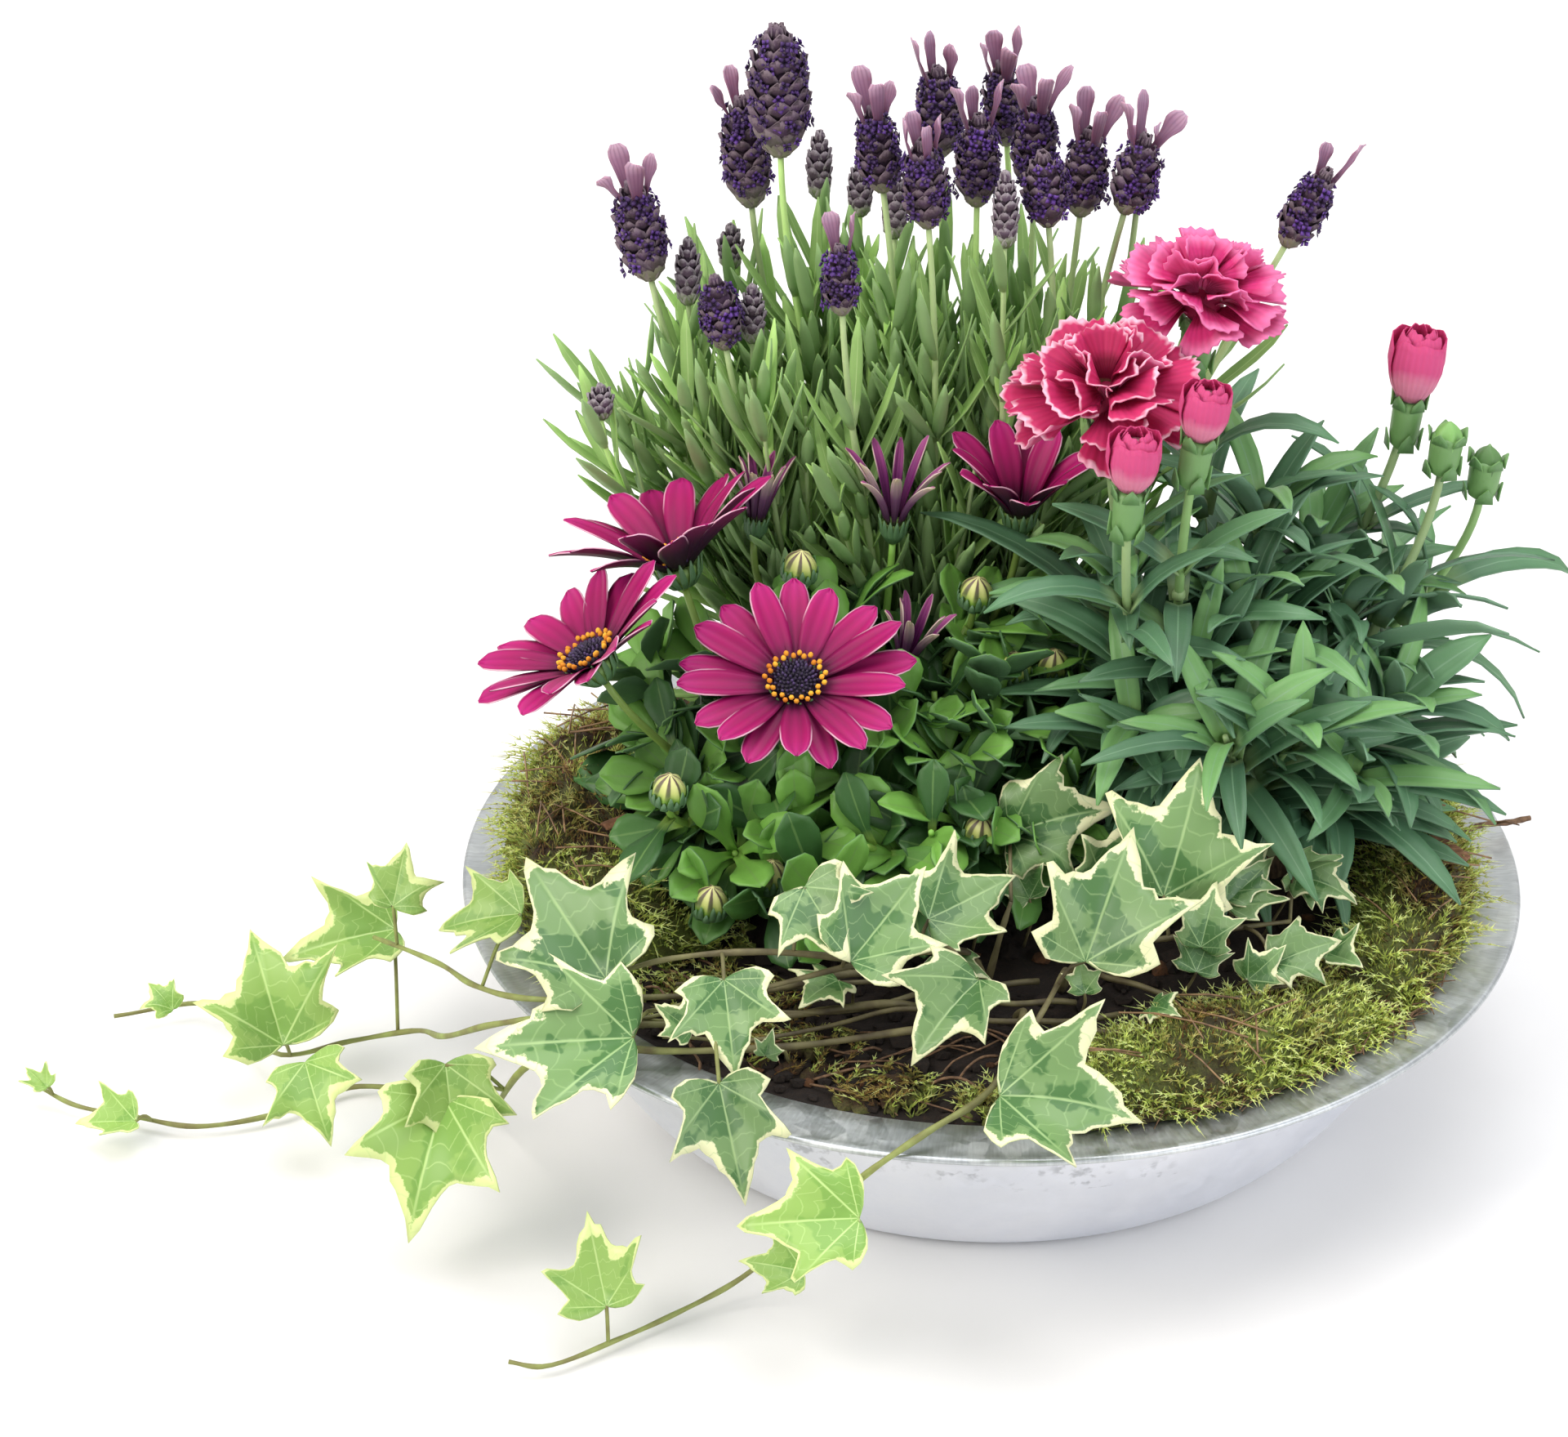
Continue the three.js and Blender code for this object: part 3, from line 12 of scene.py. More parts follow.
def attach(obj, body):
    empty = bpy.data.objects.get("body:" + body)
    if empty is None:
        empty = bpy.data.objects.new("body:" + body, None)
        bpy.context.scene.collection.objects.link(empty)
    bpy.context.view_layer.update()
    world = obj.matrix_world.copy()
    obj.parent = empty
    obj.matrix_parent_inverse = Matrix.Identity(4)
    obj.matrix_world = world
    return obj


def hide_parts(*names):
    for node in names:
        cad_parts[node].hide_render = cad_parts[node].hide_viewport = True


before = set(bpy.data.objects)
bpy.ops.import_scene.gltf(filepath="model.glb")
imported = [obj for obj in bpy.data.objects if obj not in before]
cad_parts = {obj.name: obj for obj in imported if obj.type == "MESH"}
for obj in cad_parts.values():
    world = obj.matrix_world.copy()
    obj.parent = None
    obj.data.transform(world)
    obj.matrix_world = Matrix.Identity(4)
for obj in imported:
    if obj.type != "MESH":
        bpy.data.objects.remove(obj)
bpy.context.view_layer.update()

MM = 0.001
BODY = "root"


# Bowl
# A low bowl pressed from galvanised steel sheet, with a flat flange and a folded lip. Hot zinc dries
# on it in dull flakes, so the flange shows pale blotches and fine streaks from the press.

RIM_RADIUS = 150
RIM_HEIGHT = 62
MOUTH_RADIUS = 133
BASE_RADIUS = 96.5
SHEET = 1.2
WALL_ROUNDNESS = 1.37
LIP = 1.3
BOWL_SEGMENTS = 192
INNER_RINGS = 20
BRUSHED_RADIUS = 140
# Grey handling marks sit in a loose row this far below the lip, in a band this high to each side.
MARKS_BELOW_LIP = 21
MARKS_BAND = 6


class Build:
    """Gathers grids of points into one mesh. Each point keeps where it lies on its leaf or petal."""

    MARKS = ("along", "across", "shade", "side")

    def __init__(self):
        self.points, self.faces, self.marks, self.count = [], [], [], 0

    def add(self, points, faces, along=0.5, across=0.0, shade=0.5, side=1.0):
        marks = np.empty((len(points), len(self.MARKS)))
        for column, value in enumerate((along, across, shade, side)):
            marks[:, column] = value
        self.points.append(np.asarray(points, float))
        self.marks.append(marks)
        self.faces.extend((np.asarray(faces) + self.count).tolist())
        self.count += len(points)

    def grid(self, points, closed=False, **marks):
        """Joins rows of points with four-sided faces. A closed grid joins its last column to its first."""
        rows, columns = points.shape[:2]
        flat = {key: np.broadcast_to(value, (rows, columns)).ravel() for key, value in marks.items()}
        self.add(points.reshape(-1, 3), quads(rows, columns, closed), **flat)

    def piece(self, name, material, slot, nodes=(), smooth=True):
        """Makes the gathered mesh an object that rides on the part and stands for its solid nodes."""
        mesh = bpy.data.meshes.new(name)
        mesh.from_pydata((np.concatenate(self.points) * MM).tolist(), [], self.faces)
        marks = np.concatenate(self.marks)
        for column, label in enumerate(self.MARKS):
            layer = mesh.attributes.new(label, "FLOAT", "POINT")
            layer.data.foreach_set("value", np.ascontiguousarray(marks[:, column], np.float32))
        shell = bmesh.new()
        shell.from_mesh(mesh)
        bmesh.ops.recalc_face_normals(shell, faces=shell.faces)
        shell.to_mesh(mesh)
        shell.free()
        mesh.polygons.foreach_set("use_smooth", [smooth] * len(mesh.polygons))
        mesh.materials.append(material)
        obj = bpy.data.objects.new(name, mesh)
        bpy.context.scene.collection.objects.link(obj)
        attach(obj, BODY)
        if nodes:
            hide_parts(*nodes)
        return obj


def quads(rows, columns, closed=False):
    """The four corners of each face of a grid, by their numbers row after row."""
    ids = np.arange(rows * columns).reshape(rows, columns)
    right = np.roll(ids, -1, axis=1) if closed else ids[:, 1:]
    left = ids if closed else ids[:, :-1]
    return np.stack([left[:-1], right[:-1], right[1:], left[1:]], axis=-1).reshape(-1, 4)


def linear(code):
    """An sRGB hex colour as linear red, green, blue and alpha."""
    parts = [int(code[i:i + 2], 16) / 255 for i in (1, 3, 5)]
    return (*[c / 12.92 if c <= 0.04045 else ((c + 0.055) / 1.055) ** 2.4 for c in parts], 1.0)


def fill(node, values):
    """Sets a node's inputs. A value is a number, a hex colour or another node's output to link to."""
    for place, value in values.items():
        if isinstance(value, bpy.types.NodeSocket):
            node.id_data.links.new(value, node.inputs[place])
        else:
            node.inputs[place].default_value = linear(value) if isinstance(value, str) else value


def add_node(tree, kind, values=None, output=0, stops=(), **settings):
    """Adds a shader node with its settings, links and colour stops, and gives one of its outputs."""
    node = tree.nodes.new("ShaderNode" + kind)
    for key, value in settings.items():
        setattr(node, key, value)
    for number, (place, code) in enumerate(stops):
        elements = node.color_ramp.elements
        element = elements[number] if number < len(elements) else elements.new(place)
        element.position, element.color = place, linear(code)
    fill(node, values or {})
    return node.outputs[output]


def new_material(name):
    """A new material, the function that adds nodes to it, and its surface shader."""
    material = bpy.data.materials.new(name)
    material.use_nodes = True
    tree = material.node_tree
    return material, functools.partial(add_node, tree), tree.nodes["Principled BSDF"]


def wall_radius(z):
    fall = (1 - z / RIM_HEIGHT) ** WALL_ROUNDNESS
    return BASE_RADIUS + (MOUTH_RADIUS - BASE_RADIUS) * (1 - fall) ** (1 / WALL_ROUNDNESS)


def turn(profile, segments):
    """Turns a profile of radius and height round the upright axis."""
    angles = np.linspace(0, 2 * math.pi, segments, endpoint=False)
    radius, height = np.array(profile, float).T
    return np.stack([np.outer(radius, np.cos(angles)), np.outer(radius, np.sin(angles)),
                     np.repeat(height[:, None], segments, axis=1)], axis=-1)


def bowl_profile():
    under = RIM_HEIGHT - SHEET
    outer = [(0.01, 0.0), (60, 0.0), (BASE_RADIUS - 3, 0.0), (BASE_RADIUS - 0.8, 0.25)]
    outer += [(wall_radius(z), z) for z in (0.8, 2, 4, 7, 11, 16, 22, 28, 34, 40, 46, 51, 55, 58, 59.8)]
    turn_out = [(MOUTH_RADIUS + 0.2, under - 0.35), (MOUTH_RADIUS + 1.4, under)]
    flange = [(138, under), (144, under)]
    lip = [(RIM_RADIUS - LIP + 0.9 * LIP * math.sin(a), RIM_HEIGHT - SHEET / 2 - 0.95 * math.cos(a))
           for a in np.linspace(0, math.pi, 9)]
    top = [(RIM_RADIUS - 2.4 * LIP, RIM_HEIGHT), (144, RIM_HEIGHT - 0.05), (138, RIM_HEIGHT),
           (MOUTH_RADIUS, RIM_HEIGHT - 0.1), (MOUTH_RADIUS - SHEET, RIM_HEIGHT - 0.8)]
    inner = [(wall_radius(z) - SHEET, z + SHEET / 2) for z in (55, 46, 34, 15)]
    return outer + turn_out + flange + lip + top + inner + [(BASE_RADIUS - 1, SHEET), (0.01, SHEET)]


# The body is smooth and pale and mirrors the table softly. The flange and the inside are duller: flakes
# of a few centimetres and fine brushed lines along the lip break up their shine.
zinc, add, shader = new_material("hot_dipped_zinc")
where = add("TexCoord", output="Object")
flakes = add("TexVoronoi", {"Vector": where, "Scale": 1 / (7 * MM)}, "Color")
flake = add("SeparateColor", {0: flakes})
clouds = add("TexNoise", {"Vector": where, "Scale": 1 / (30 * MM), "Detail": 4.0, "Roughness": 0.6})
grain = add("TexNoise", {"Vector": where, "Scale": 1 / (1.4 * MM), "Detail": 3.0, "Roughness": 0.7})
mottle = add("Math", {0: flake, 1: 0.16, 2: clouds}, operation="MULTIPLY_ADD")
body = add("ValToRGB", {0: clouds}, stops=[(0.2, "#e2e5ed"), (0.5, "#e9ebf1"), (0.8, "#eff0f4")])
flange = add("ValToRGB", {0: mottle}, stops=[(0.3, "#acb1b4"), (0.6, "#c3c7c8"), (0.9, "#dadcda")])
x, y, z = (add("SeparateXYZ", {0: where}, axis) for axis in "XYZ")
bearing = add("Math", {0: y, 1: x}, operation="ARCTAN2")
round_lip = add("Math", {0: bearing, 1: BRUSHED_RADIUS * MM}, operation="MULTIPLY")
reach = add("VectorMath", {0: where}, "Value", operation="LENGTH")
outward = add("Math", {0: reach, 1: 0.14}, operation="MULTIPLY")
brushed = add("TexNoise", {"Vector": add("CombineXYZ", {0: round_lip, 1: outward}), "Scale": 1 / (0.8 * MM),
                           "Detail": 2.0})
brushed = add("MapRange", {0: brushed, 1: 0.3, 2: 0.7, 3: 0.88, 4: 1.1})
flange = add("HueSaturation", {"Color": flange, "Value": brushed})
smear = add("TexNoise", {"Vector": where, "Scale": 1 / (3 * MM), "Detail": 2.0})
smear = add("MapRange", {0: smear, 1: 0.53, 2: 0.68})
handled = add("TexNoise", {"Vector": where, "Scale": 1 / (16 * MM)})
handled = add("MapRange", {0: handled, 1: 0.48, 2: 0.58})
in_row = add("Math", {0: z, 1: (RIM_HEIGHT - MARKS_BELOW_LIP) * MM, 2: MARKS_BAND * MM}, operation="COMPARE")
marked = add("Math", {0: smear, 1: handled}, operation="MULTIPLY")
marked = add("Math", {0: marked, 1: add("MapRange", {0: in_row, 4: 0.42})}, operation="MULTIPLY")
body = add("Mix", {0: marked, 6: body, 7: "#7f8286"}, 2, data_type="RGBA")
is_flange = add("Attribute", attribute_name="shade", output="Fac")
streak = add("Math", {0: flake, 1: 0.12}, operation="MULTIPLY")
streak = add("Math", {0: grain, 1: 0.3, 2: streak}, operation="MULTIPLY_ADD")
fill(shader, {
    "Base Color": add("Mix", {0: is_flange, 6: body, 7: flange}, 2, data_type="RGBA"),
    "Roughness": add("Math", {0: streak, 1: 0.26}, operation="ADD"),
    "Metallic": 1.0,
    "Normal": add("Bump", {"Height": mottle, "Distance": 0.1 * MM,
                           "Strength": add("Math", {0: is_flange, 1: 0.15}, operation="MULTIPLY")}),
})

bowl = Build()
shape = turn(bowl_profile(), BOWL_SEGMENTS)
# Hand work leaves the flange very slightly uneven.
bearing = np.arctan2(shape[..., 1], shape[..., 0])
on_flange = (np.hypot(shape[..., 0], shape[..., 1]) > MOUTH_RADIUS - 4) & (shape[..., 2] > 50)
shape[..., 2] += np.where(on_flange, 0.18 * np.sin(3 * bearing + 0.6) + 0.1 * np.sin(7 * bearing), 0)
inside = np.arange(len(shape))[:, None] > len(shape) - INNER_RINGS
bowl.grid(shape, closed=True, shade=np.where(on_flange | inside, 1.0, 0.0))
bowl.piece("zinc_bowl", zinc, "zinc", ["bowl"])


# Soil
# Moist potting compost, nearly black, that fills the bowl and rises a little to the middle. Its top is
# loose crumbs with bits of bark and root fibre.

SOIL_EDGE = 61.2
SOIL_CROWN = 66
SOIL_SLOPE = 88
CRUMBS = 700
SOIL_RINGS = 40
SOIL_SEGMENTS = 120
GOLDEN = (1 + math.sqrt(5)) / 2


def draw(i, j):
    """The same number between 0 and 1 for the same pair of numbers."""
    s = math.sin(i * 12.9898 + j * 78.233) * 43758.5453
    return s - math.floor(s)


def between(low, high, i, j):
    return low + (high - low) * draw(i, j)


def wander(x, y, z, size, seed=0.0):
    """Smooth noise between -1 and 1 that changes over so many millimetres."""
    return noise.noise(Vector((x / size + seed, y / size - seed, z / size)))


def vec(*values):
    return np.array(values, float)


def soil_height(radius):
    if radius > SOIL_SLOPE:
        fall = (wall_radius(SOIL_EDGE) - 2 - radius) / (wall_radius(SOIL_EDGE) - SOIL_SLOPE - 2)
        return SOIL_EDGE - 1 + 1.5 * fall
    return SOIL_EDGE + 0.5 + (SOIL_CROWN - SOIL_EDGE - 0.5) * (1 - radius / SOIL_SLOPE)


def lump(build, centre, size, seed, **marks):
    """A crumb: twelve points pushed in and out by turns, with twenty faces."""
    corners = [(-1, GOLDEN, 0), (1, GOLDEN, 0), (-1, -GOLDEN, 0), (1, -GOLDEN, 0)]
    corners += [(c, a, b) for a, b, c in corners] + [(b, c, a) for a, b, c in corners]
    faces = [(0, 11, 5), (0, 5, 1), (0, 1, 7), (0, 7, 10), (0, 10, 11), (1, 5, 9), (5, 11, 4), (11, 10, 2),
             (10, 7, 6), (7, 1, 8), (3, 9, 4), (3, 4, 2), (3, 2, 6), (3, 6, 8), (3, 8, 9), (4, 9, 5),
             (2, 4, 11), (6, 2, 10), (8, 6, 7), (9, 8, 1)]
    stretch = vec(between(0.7, 1.3, seed, 1), between(0.7, 1.3, seed, 2), between(0.5, 0.9, seed, 3))
    points = [centre + vec(*corner) / 1.9 * size * stretch * between(0.7, 1.25, seed, 10 + k)
              for k, corner in enumerate(corners)]
    build.add(points, faces, **marks)


# Moist peat is nearly black and quite matt, so only its crumbs and the reddish bits of bark show.
compost, add, shader = new_material("potting_compost")
where = add("TexCoord", output="Object")
fine = add("TexNoise", {"Vector": where, "Scale": 1 / (1.6 * MM), "Detail": 6.0, "Roughness": 0.75})
coarse = add("TexNoise", {"Vector": where, "Scale": 1 / (9 * MM), "Detail": 3.0})
shade = add("Attribute", attribute_name="shade", output="Fac")
dark = add("ValToRGB", {0: fine}, stops=[(0.3, "#100b08"), (0.55, "#281c14"), (0.75, "#4a3524")])
dark = add("Mix", {0: coarse, 6: dark, 7: "#18110c"}, 2, data_type="RGBA")
barky = add("ValToRGB", {0: fine}, stops=[(0.3, "#2c1c11"), (0.7, "#6b4526")])
is_bark = add("MapRange", {0: shade, 1: 0.86, 2: 0.9})
fill(shader, {
    "Base Color": add("Mix", {0: is_bark, 6: dark, 7: barky}, 2, data_type="RGBA"),
    "Roughness": 0.95,
    "Normal": add("Bump", {"Height": fine, "Strength": 0.8, "Distance": 0.8 * MM}),
})

soil = Build()
edge = wall_radius(SOIL_EDGE) - SHEET - 0.8
profile = [(0.01, 1.6), (88, 1.6)] + [(wall_radius(z) - SHEET - 0.8, z + 0.6) for z in (15, 34)]
rings = [edge * (k / SOIL_RINGS) ** 0.8 for k in range(SOIL_RINGS, 0, -1)]
shape = turn(profile + [(radius, soil_height(radius)) for radius in rings] + [(0.01, SOIL_CROWN)],
             SOIL_SEGMENTS)
for row in shape[len(profile):]:
    for point in row:
        x, y, z = point
        fade = min(1, (edge - math.hypot(x, y)) / 3 + 0.15)
        point[2] += fade * (0.9 * wander(x, y, 0, 3.1) + 1.2 * wander(x, y, 0, 8.5, 4.0) - 0.3)
soil.grid(shape, closed=True)
for k in range(CRUMBS):
    # Most of the bare soil is at the front.
    bearing = math.radians(between(-160, -20, k, 52) if k % 3 else 360 * draw(k, 52))
    reach = (edge - 2) * draw(k, 51) ** 0.35
    centre = vec(reach * math.cos(bearing), reach * math.sin(bearing), soil_height(reach) + 0.4)
    lump(soil, centre, between(0.7, 2.9, k, 53) ** 1.2, k, shade=draw(k, 54))
soil.piece("potting_soil", compost, "soil", ["soil"], smooth=False)


# Moss
# Cushions of living moss, peeled off a stone and laid round the rim. Each is a mat of short feathery
# shoots, bright yellow-green at the tips and olive or brown below, with fallen pine needles caught in it.

MOSS = {
    "moss_left": dict(start=148, stop=214, inner=88, outer=136, height=26, overhang=8, along=10, seed=3,
                      fronds=760),
    "moss_right": dict(start=-34, stop=26, inner=104, outer=136, height=17, overhang=3, along=8, seed=31,
                       fronds=640),
    "moss_front_right": dict(start=-80, stop=-35.5, inner=98, outer=137, height=13, overhang=5, along=6,
                             seed=57, fronds=620),
    "moss_back": dict(start=30, stop=144, inner=112, outer=134, height=9, overhang=0, along=7, seed=83,
                      fronds=380),
}
MOSS_FLOOR = RIM_HEIGHT + 0.4
MOSS_COLUMNS = 22
TALLEST_MOSS = 26
TUFT_STEPS = 6
SPIKES_A_FROND = 4
# Scraps on the soil where the cushions and the ivy leave it bare: bearing, reach, size and shoots.
MOSS_SCRAPS = [(206, 100, 26, 130), (226, 106, 26, 140), (243, 110, 18, 90), (258, 119, 15, 80),
               (272, 122, 11, 60), (284, 118, 12, 50), (-34, 118, 12, 50)]


def unit(v):
    return v / max(np.linalg.norm(v), 1e-9)


def cushion_point(c, a, u):
    """A point of a cushion's top: a runs along it and u across it, both from 0 to 1."""
    bearing = math.radians(c["start"] + (c["stop"] - c["start"]) * a)
    swell = 0.35 + 0.65 * max(math.sin(math.pi * (a * c["along"] + 0.4) / (c["along"] + 0.8)), 0) ** 0.7
    arch = max(math.sin(math.pi * u), 0) ** 0.6
    i, k = min(int(a * c["along"]), c["along"] - 1), min(int(u * TUFT_STEPS), TUFT_STEPS - 1)
    fi, fq = a * c["along"] - i, u * TUFT_STEPS - k

    def tuft(p, q):
        return 0 if q in (0, TUFT_STEPS) else between(-0.16, 0.16, p + c["seed"], q)

    def rim(p):
        return between(-2, 2, p + c["seed"], 41 if u > 0.42 else 40)

    low = tuft(i, k) * (1 - fq) + tuft(i, k + 1) * fq
    high = tuft(i + 1, k) * (1 - fq) + tuft(i + 1, k + 1) * fq
    lift = c["height"] * swell * arch * (1 + low * (1 - fi) + high * fi)
    ragged = (rim(i) * (1 - fi) + rim(i + 1) * fi) * (1 - abs(2 * u - 1) * 0.5)
    radius = c["inner"] + (c["outer"] - c["inner"]) * u + c["overhang"] * arch * u + ragged
    return vec(radius * math.cos(bearing), radius * math.sin(bearing), MOSS_FLOOR + lift)


def spike(build, root, heading, length, width, along=(0.0, 1.0), shade=0.5):
    """A lean three-sided leaf or shoot with a point."""
    side = unit(np.cross(heading, vec(0.31, 0.9, 0.2)))
    other = np.cross(heading, side)
    ring = [root + width * (math.cos(t) * side + math.sin(t) * other) for t in (0.3, 2.4, 4.5)]
    build.add([*ring, root + heading * length], [(0, 2, 1), (0, 1, 3), (1, 2, 3), (2, 0, 3)],
              along=np.array([along[0]] * 3 + [along[1]]), shade=shade)


def frond(build, root, heading, length, seed, shade):
    """A feathery shoot that arches over, with pointed leaves on both sides."""
    lean = unit(heading * [1, 1, 0] + vec(between(-0.5, 0.5, seed, 1), between(-0.5, 0.5, seed, 2), 0.01))
    side = unit(np.cross(heading, lean + vec(0, 0, 0.2)))
    steps = 4
    spots = [root + heading * length * s + (lean * 0.55 - vec(0, 0, 0.3)) * length * s * s
             for s in np.linspace(-0.12, 1, steps + 1)]
    for k, (here, there) in enumerate(zip(spots, spots[1:])):
        ahead, reach = unit(there - here), k / steps
        for sign in (-1, 1):
            spike(build, here, unit(ahead * 1.1 + sign * side + vec(0, 0, 0.25)),
                  length * (0.38 - 0.19 * reach), 0.34 * (1.2 - 0.5 * reach), (reach, reach + 0.25), shade)
        spike(build, here, ahead, np.linalg.norm(there - here) * 1.25, 0.42 * (1.25 - reach),
              (reach, reach + 0.2), shade)


def tube(build, path, radii, sides=6, **marks):
    """A round stem along a list of points, with its ends closed."""
    path = np.asarray(path, float)
    ahead = np.gradient(path, axis=0)
    ahead /= np.maximum(np.linalg.norm(ahead, axis=1, keepdims=True), 1e-9)
    first = np.cross(ahead[0], vec(0.13, 0.31, 0.94))
    if np.linalg.norm(first) < 0.2:
        first = np.cross(ahead[0], vec(0.97, 0.1, 0.2))
    firsts = [unit(first)]
    for direction in ahead[1:]:
        firsts.append(unit(firsts[-1] - direction * np.dot(firsts[-1], direction)))
    firsts = np.array(firsts)
    seconds = np.cross(ahead, firsts)
    angles = np.linspace(0, 2 * math.pi, sides, endpoint=False)[None, :, None]
    around = np.cos(angles) * firsts[:, None] + np.sin(angles) * seconds[:, None]
    rows = path[:, None] + np.broadcast_to(radii, len(path))[:, None, None] * around
    start, stop = np.repeat(path[:1, None], sides, axis=1), np.repeat(path[-1:, None], sides, axis=1)
    rows = np.concatenate([start + 1e-4 * (rows[:1] - start), rows, stop + 1e-4 * (rows[-1:] - stop)])
    marks.setdefault("along", np.linspace(0, 1, len(rows))[:, None])
    build.grid(rows, closed=True, **marks)


# Living moss is damp but matt. Light shows through its tips, so they glow yellow-green over olive and
# brown, and patches of it have dried. The cushions' middles are browner: partly dried, partly painted shade.
living_moss, add, shader = new_material("living_moss")
where = add("TexCoord", output="Object")
along, shade = (add("Attribute", attribute_name=label, output="Fac") for label in ("along", "shade"))
patches = add("TexNoise", {"Vector": where, "Scale": 1 / (24 * MM), "Detail": 3.0, "Roughness": 0.55})
dryness_and_shade = add("Math", {0: shade, 1: 0.4, 2: patches}, operation="MULTIPLY_ADD")
dryness_and_shade = add("MapRange", {0: dryness_and_shade, 1: 0.62, 2: 0.86})
fresh = add("ValToRGB", {0: along}, stops=[(0.0, "#4f5a22"), (0.25, "#96a746"), (0.6, "#c5d468"),
                                           (1.0, "#e9f0a2")])
dry = add("ValToRGB", {0: along}, stops=[(0.0, "#2a1c0e"), (0.4, "#614722"), (0.8, "#8a7434"),
                                         (1.0, "#a89648")])
mat = add("TexNoise", {"Vector": where, "Scale": 1 / (0.9 * MM), "Detail": 4.0, "Roughness": 0.7})
fill(shader, {
    "Base Color": add("HueSaturation", {
        "Value": add("MapRange", {0: mat, 1: 0.35, 2: 0.65, 3: 0.6, 4: 1.35}),
        "Color": add("Mix", {0: dryness_and_shade, 6: fresh, 7: dry}, 2, data_type="RGBA"),
    }),
    "Roughness": 0.8,
    "Normal": add("Bump", {"Height": mat, "Strength": 0.7, "Distance": 1 * MM}),
    "Subsurface Weight": 0.15,
    "Subsurface Scale": 1 * MM,
})

# Fallen needles are hard and dry: brown with a faint shine, so they read as fine lines on the moss.
needle_brown, add, shader = new_material("dry_pine_needle")
where = add("TexCoord", output="Object")
grain = add("TexNoise", {"Vector": where, "Scale": 1 / (4 * MM)})
fill(shader, {
    "Base Color": add("ValToRGB", {0: grain}, stops=[(0.3, "#5c4330"), (0.7, "#a5835a")]),
    "Roughness": 0.55,
})

needles = Build()
for number, (name, c) in enumerate(MOSS.items()):
    moss = Build()
    rows, columns = 12 * c["along"], MOSS_COLUMNS
    top = np.array([[cushion_point(c, i / rows, k / columns) for k in range(columns + 1)]
                    for i in range(rows + 1)])
    for i, row in enumerate(top):
        # The two ends round off.
        full = min(1, (min(i, rows - i) + 0.2) / 5) ** 0.5
        row[:, 2] = MOSS_FLOOR + (row[:, 2] - MOSS_FLOOR) * full
        for point in row[1:-1]:
            point[2] += full * (1.3 * wander(*point, 1.9, 7.0) + 1.1 * wander(*point, 4.0)
                                + 1.3 * wander(*point, 10.0, 3.0) - 1.2)
    middle = top.mean(axis=1, keepdims=True) * [1, 1, 0] + [0, 0, MOSS_FLOOR + 0.1]
    closing = [np.repeat(middle[end:end + 1 or None], columns + 1, axis=1) for end in (0, -1)]
    moss.grid(np.concatenate([closing[0], top, closing[1]]), closed=True, along=0.05, shade=0.6)
    normals = np.cross(np.gradient(top, axis=0), np.gradient(top, axis=1))
    for k in range(c["fronds"] * (1 + SPIKES_A_FROND)):
        # Shoots stand closest on the steep sides and on the two ends.
        i, q = draw(k, 61 + number) * rows, (0.02 + 0.96 * draw(k, 71 + number)) * columns
        if k % 7 == 0:
            q = (0.86 + 0.12 * draw(k, 71 + number)) * columns
        if k % 18 < 2:
            i = 7 * draw(k, 61 + number) if k % 18 else rows - 7 * draw(k, 61 + number)
        point = top[int(i), int(q)] * (1 - i % 1) + top[min(int(i) + 1, rows), int(q)] * (i % 1)
        point = point + (top[int(i), min(int(q) + 1, columns)] - top[int(i), int(q)]) * (q % 1)
        out = unit(normals[int(i), int(q)])
        out = out if out[2] > -0.2 else -out
        lean = vec(between(-0.7, 0.7, k, 81), between(-0.7, 0.7, k, 82), between(-0.1, 0.6, k, 83))
        heading = unit(out + lean)
        if k % (1 + SPIKES_A_FROND) == 0:
            # The middle of a cushion is painted browner than its edges: partly dried moss, partly painted
            # shade.
            middle_dryness_and_shade = math.sin(math.pi * i / rows) * math.sin(math.pi * q / columns)
            size = (0.7 + 0.5 * wander(*point, 7.0, 5.0)) * (0.65 + 0.35 * c["height"] / TALLEST_MOSS)
            frond(moss, point - heading * 0.5, heading, between(7, 13.5, k, 84) * size, k,
                  0.4 * draw(k, 3) + 0.45 * middle_dryness_and_shade ** 2)
        else:
            spike(moss, point, heading, between(1.6, 3.4, k, 84), between(0.2, 0.4, k, 85), (0.1, 0.85),
                  draw(k, 86))
    moss.piece(f"{name}_cushion", living_moss, "moss", [name], smooth=False)
    for k in range(int(0.5 * (c["stop"] - c["start"]) * c["height"] / TALLEST_MOSS)):
        seat = cushion_point(c, 0.1 + 0.8 * draw(k, 91 + number), 0.25 + 0.6 * draw(k, 95 + number))
        seat += vec(0, 0, 3.2)
        turned = 2 * math.pi * draw(k, 97)
        half = between(5, 13, k, 98) * vec(math.cos(turned), math.sin(turned), between(-0.25, 0.25, k, 99))
        tube(needles, [seat - half, seat + vec(0, 0, 0.8), seat + half], 0.27, 4)
needles.piece("fallen_pine_needles", needle_brown, "twig")

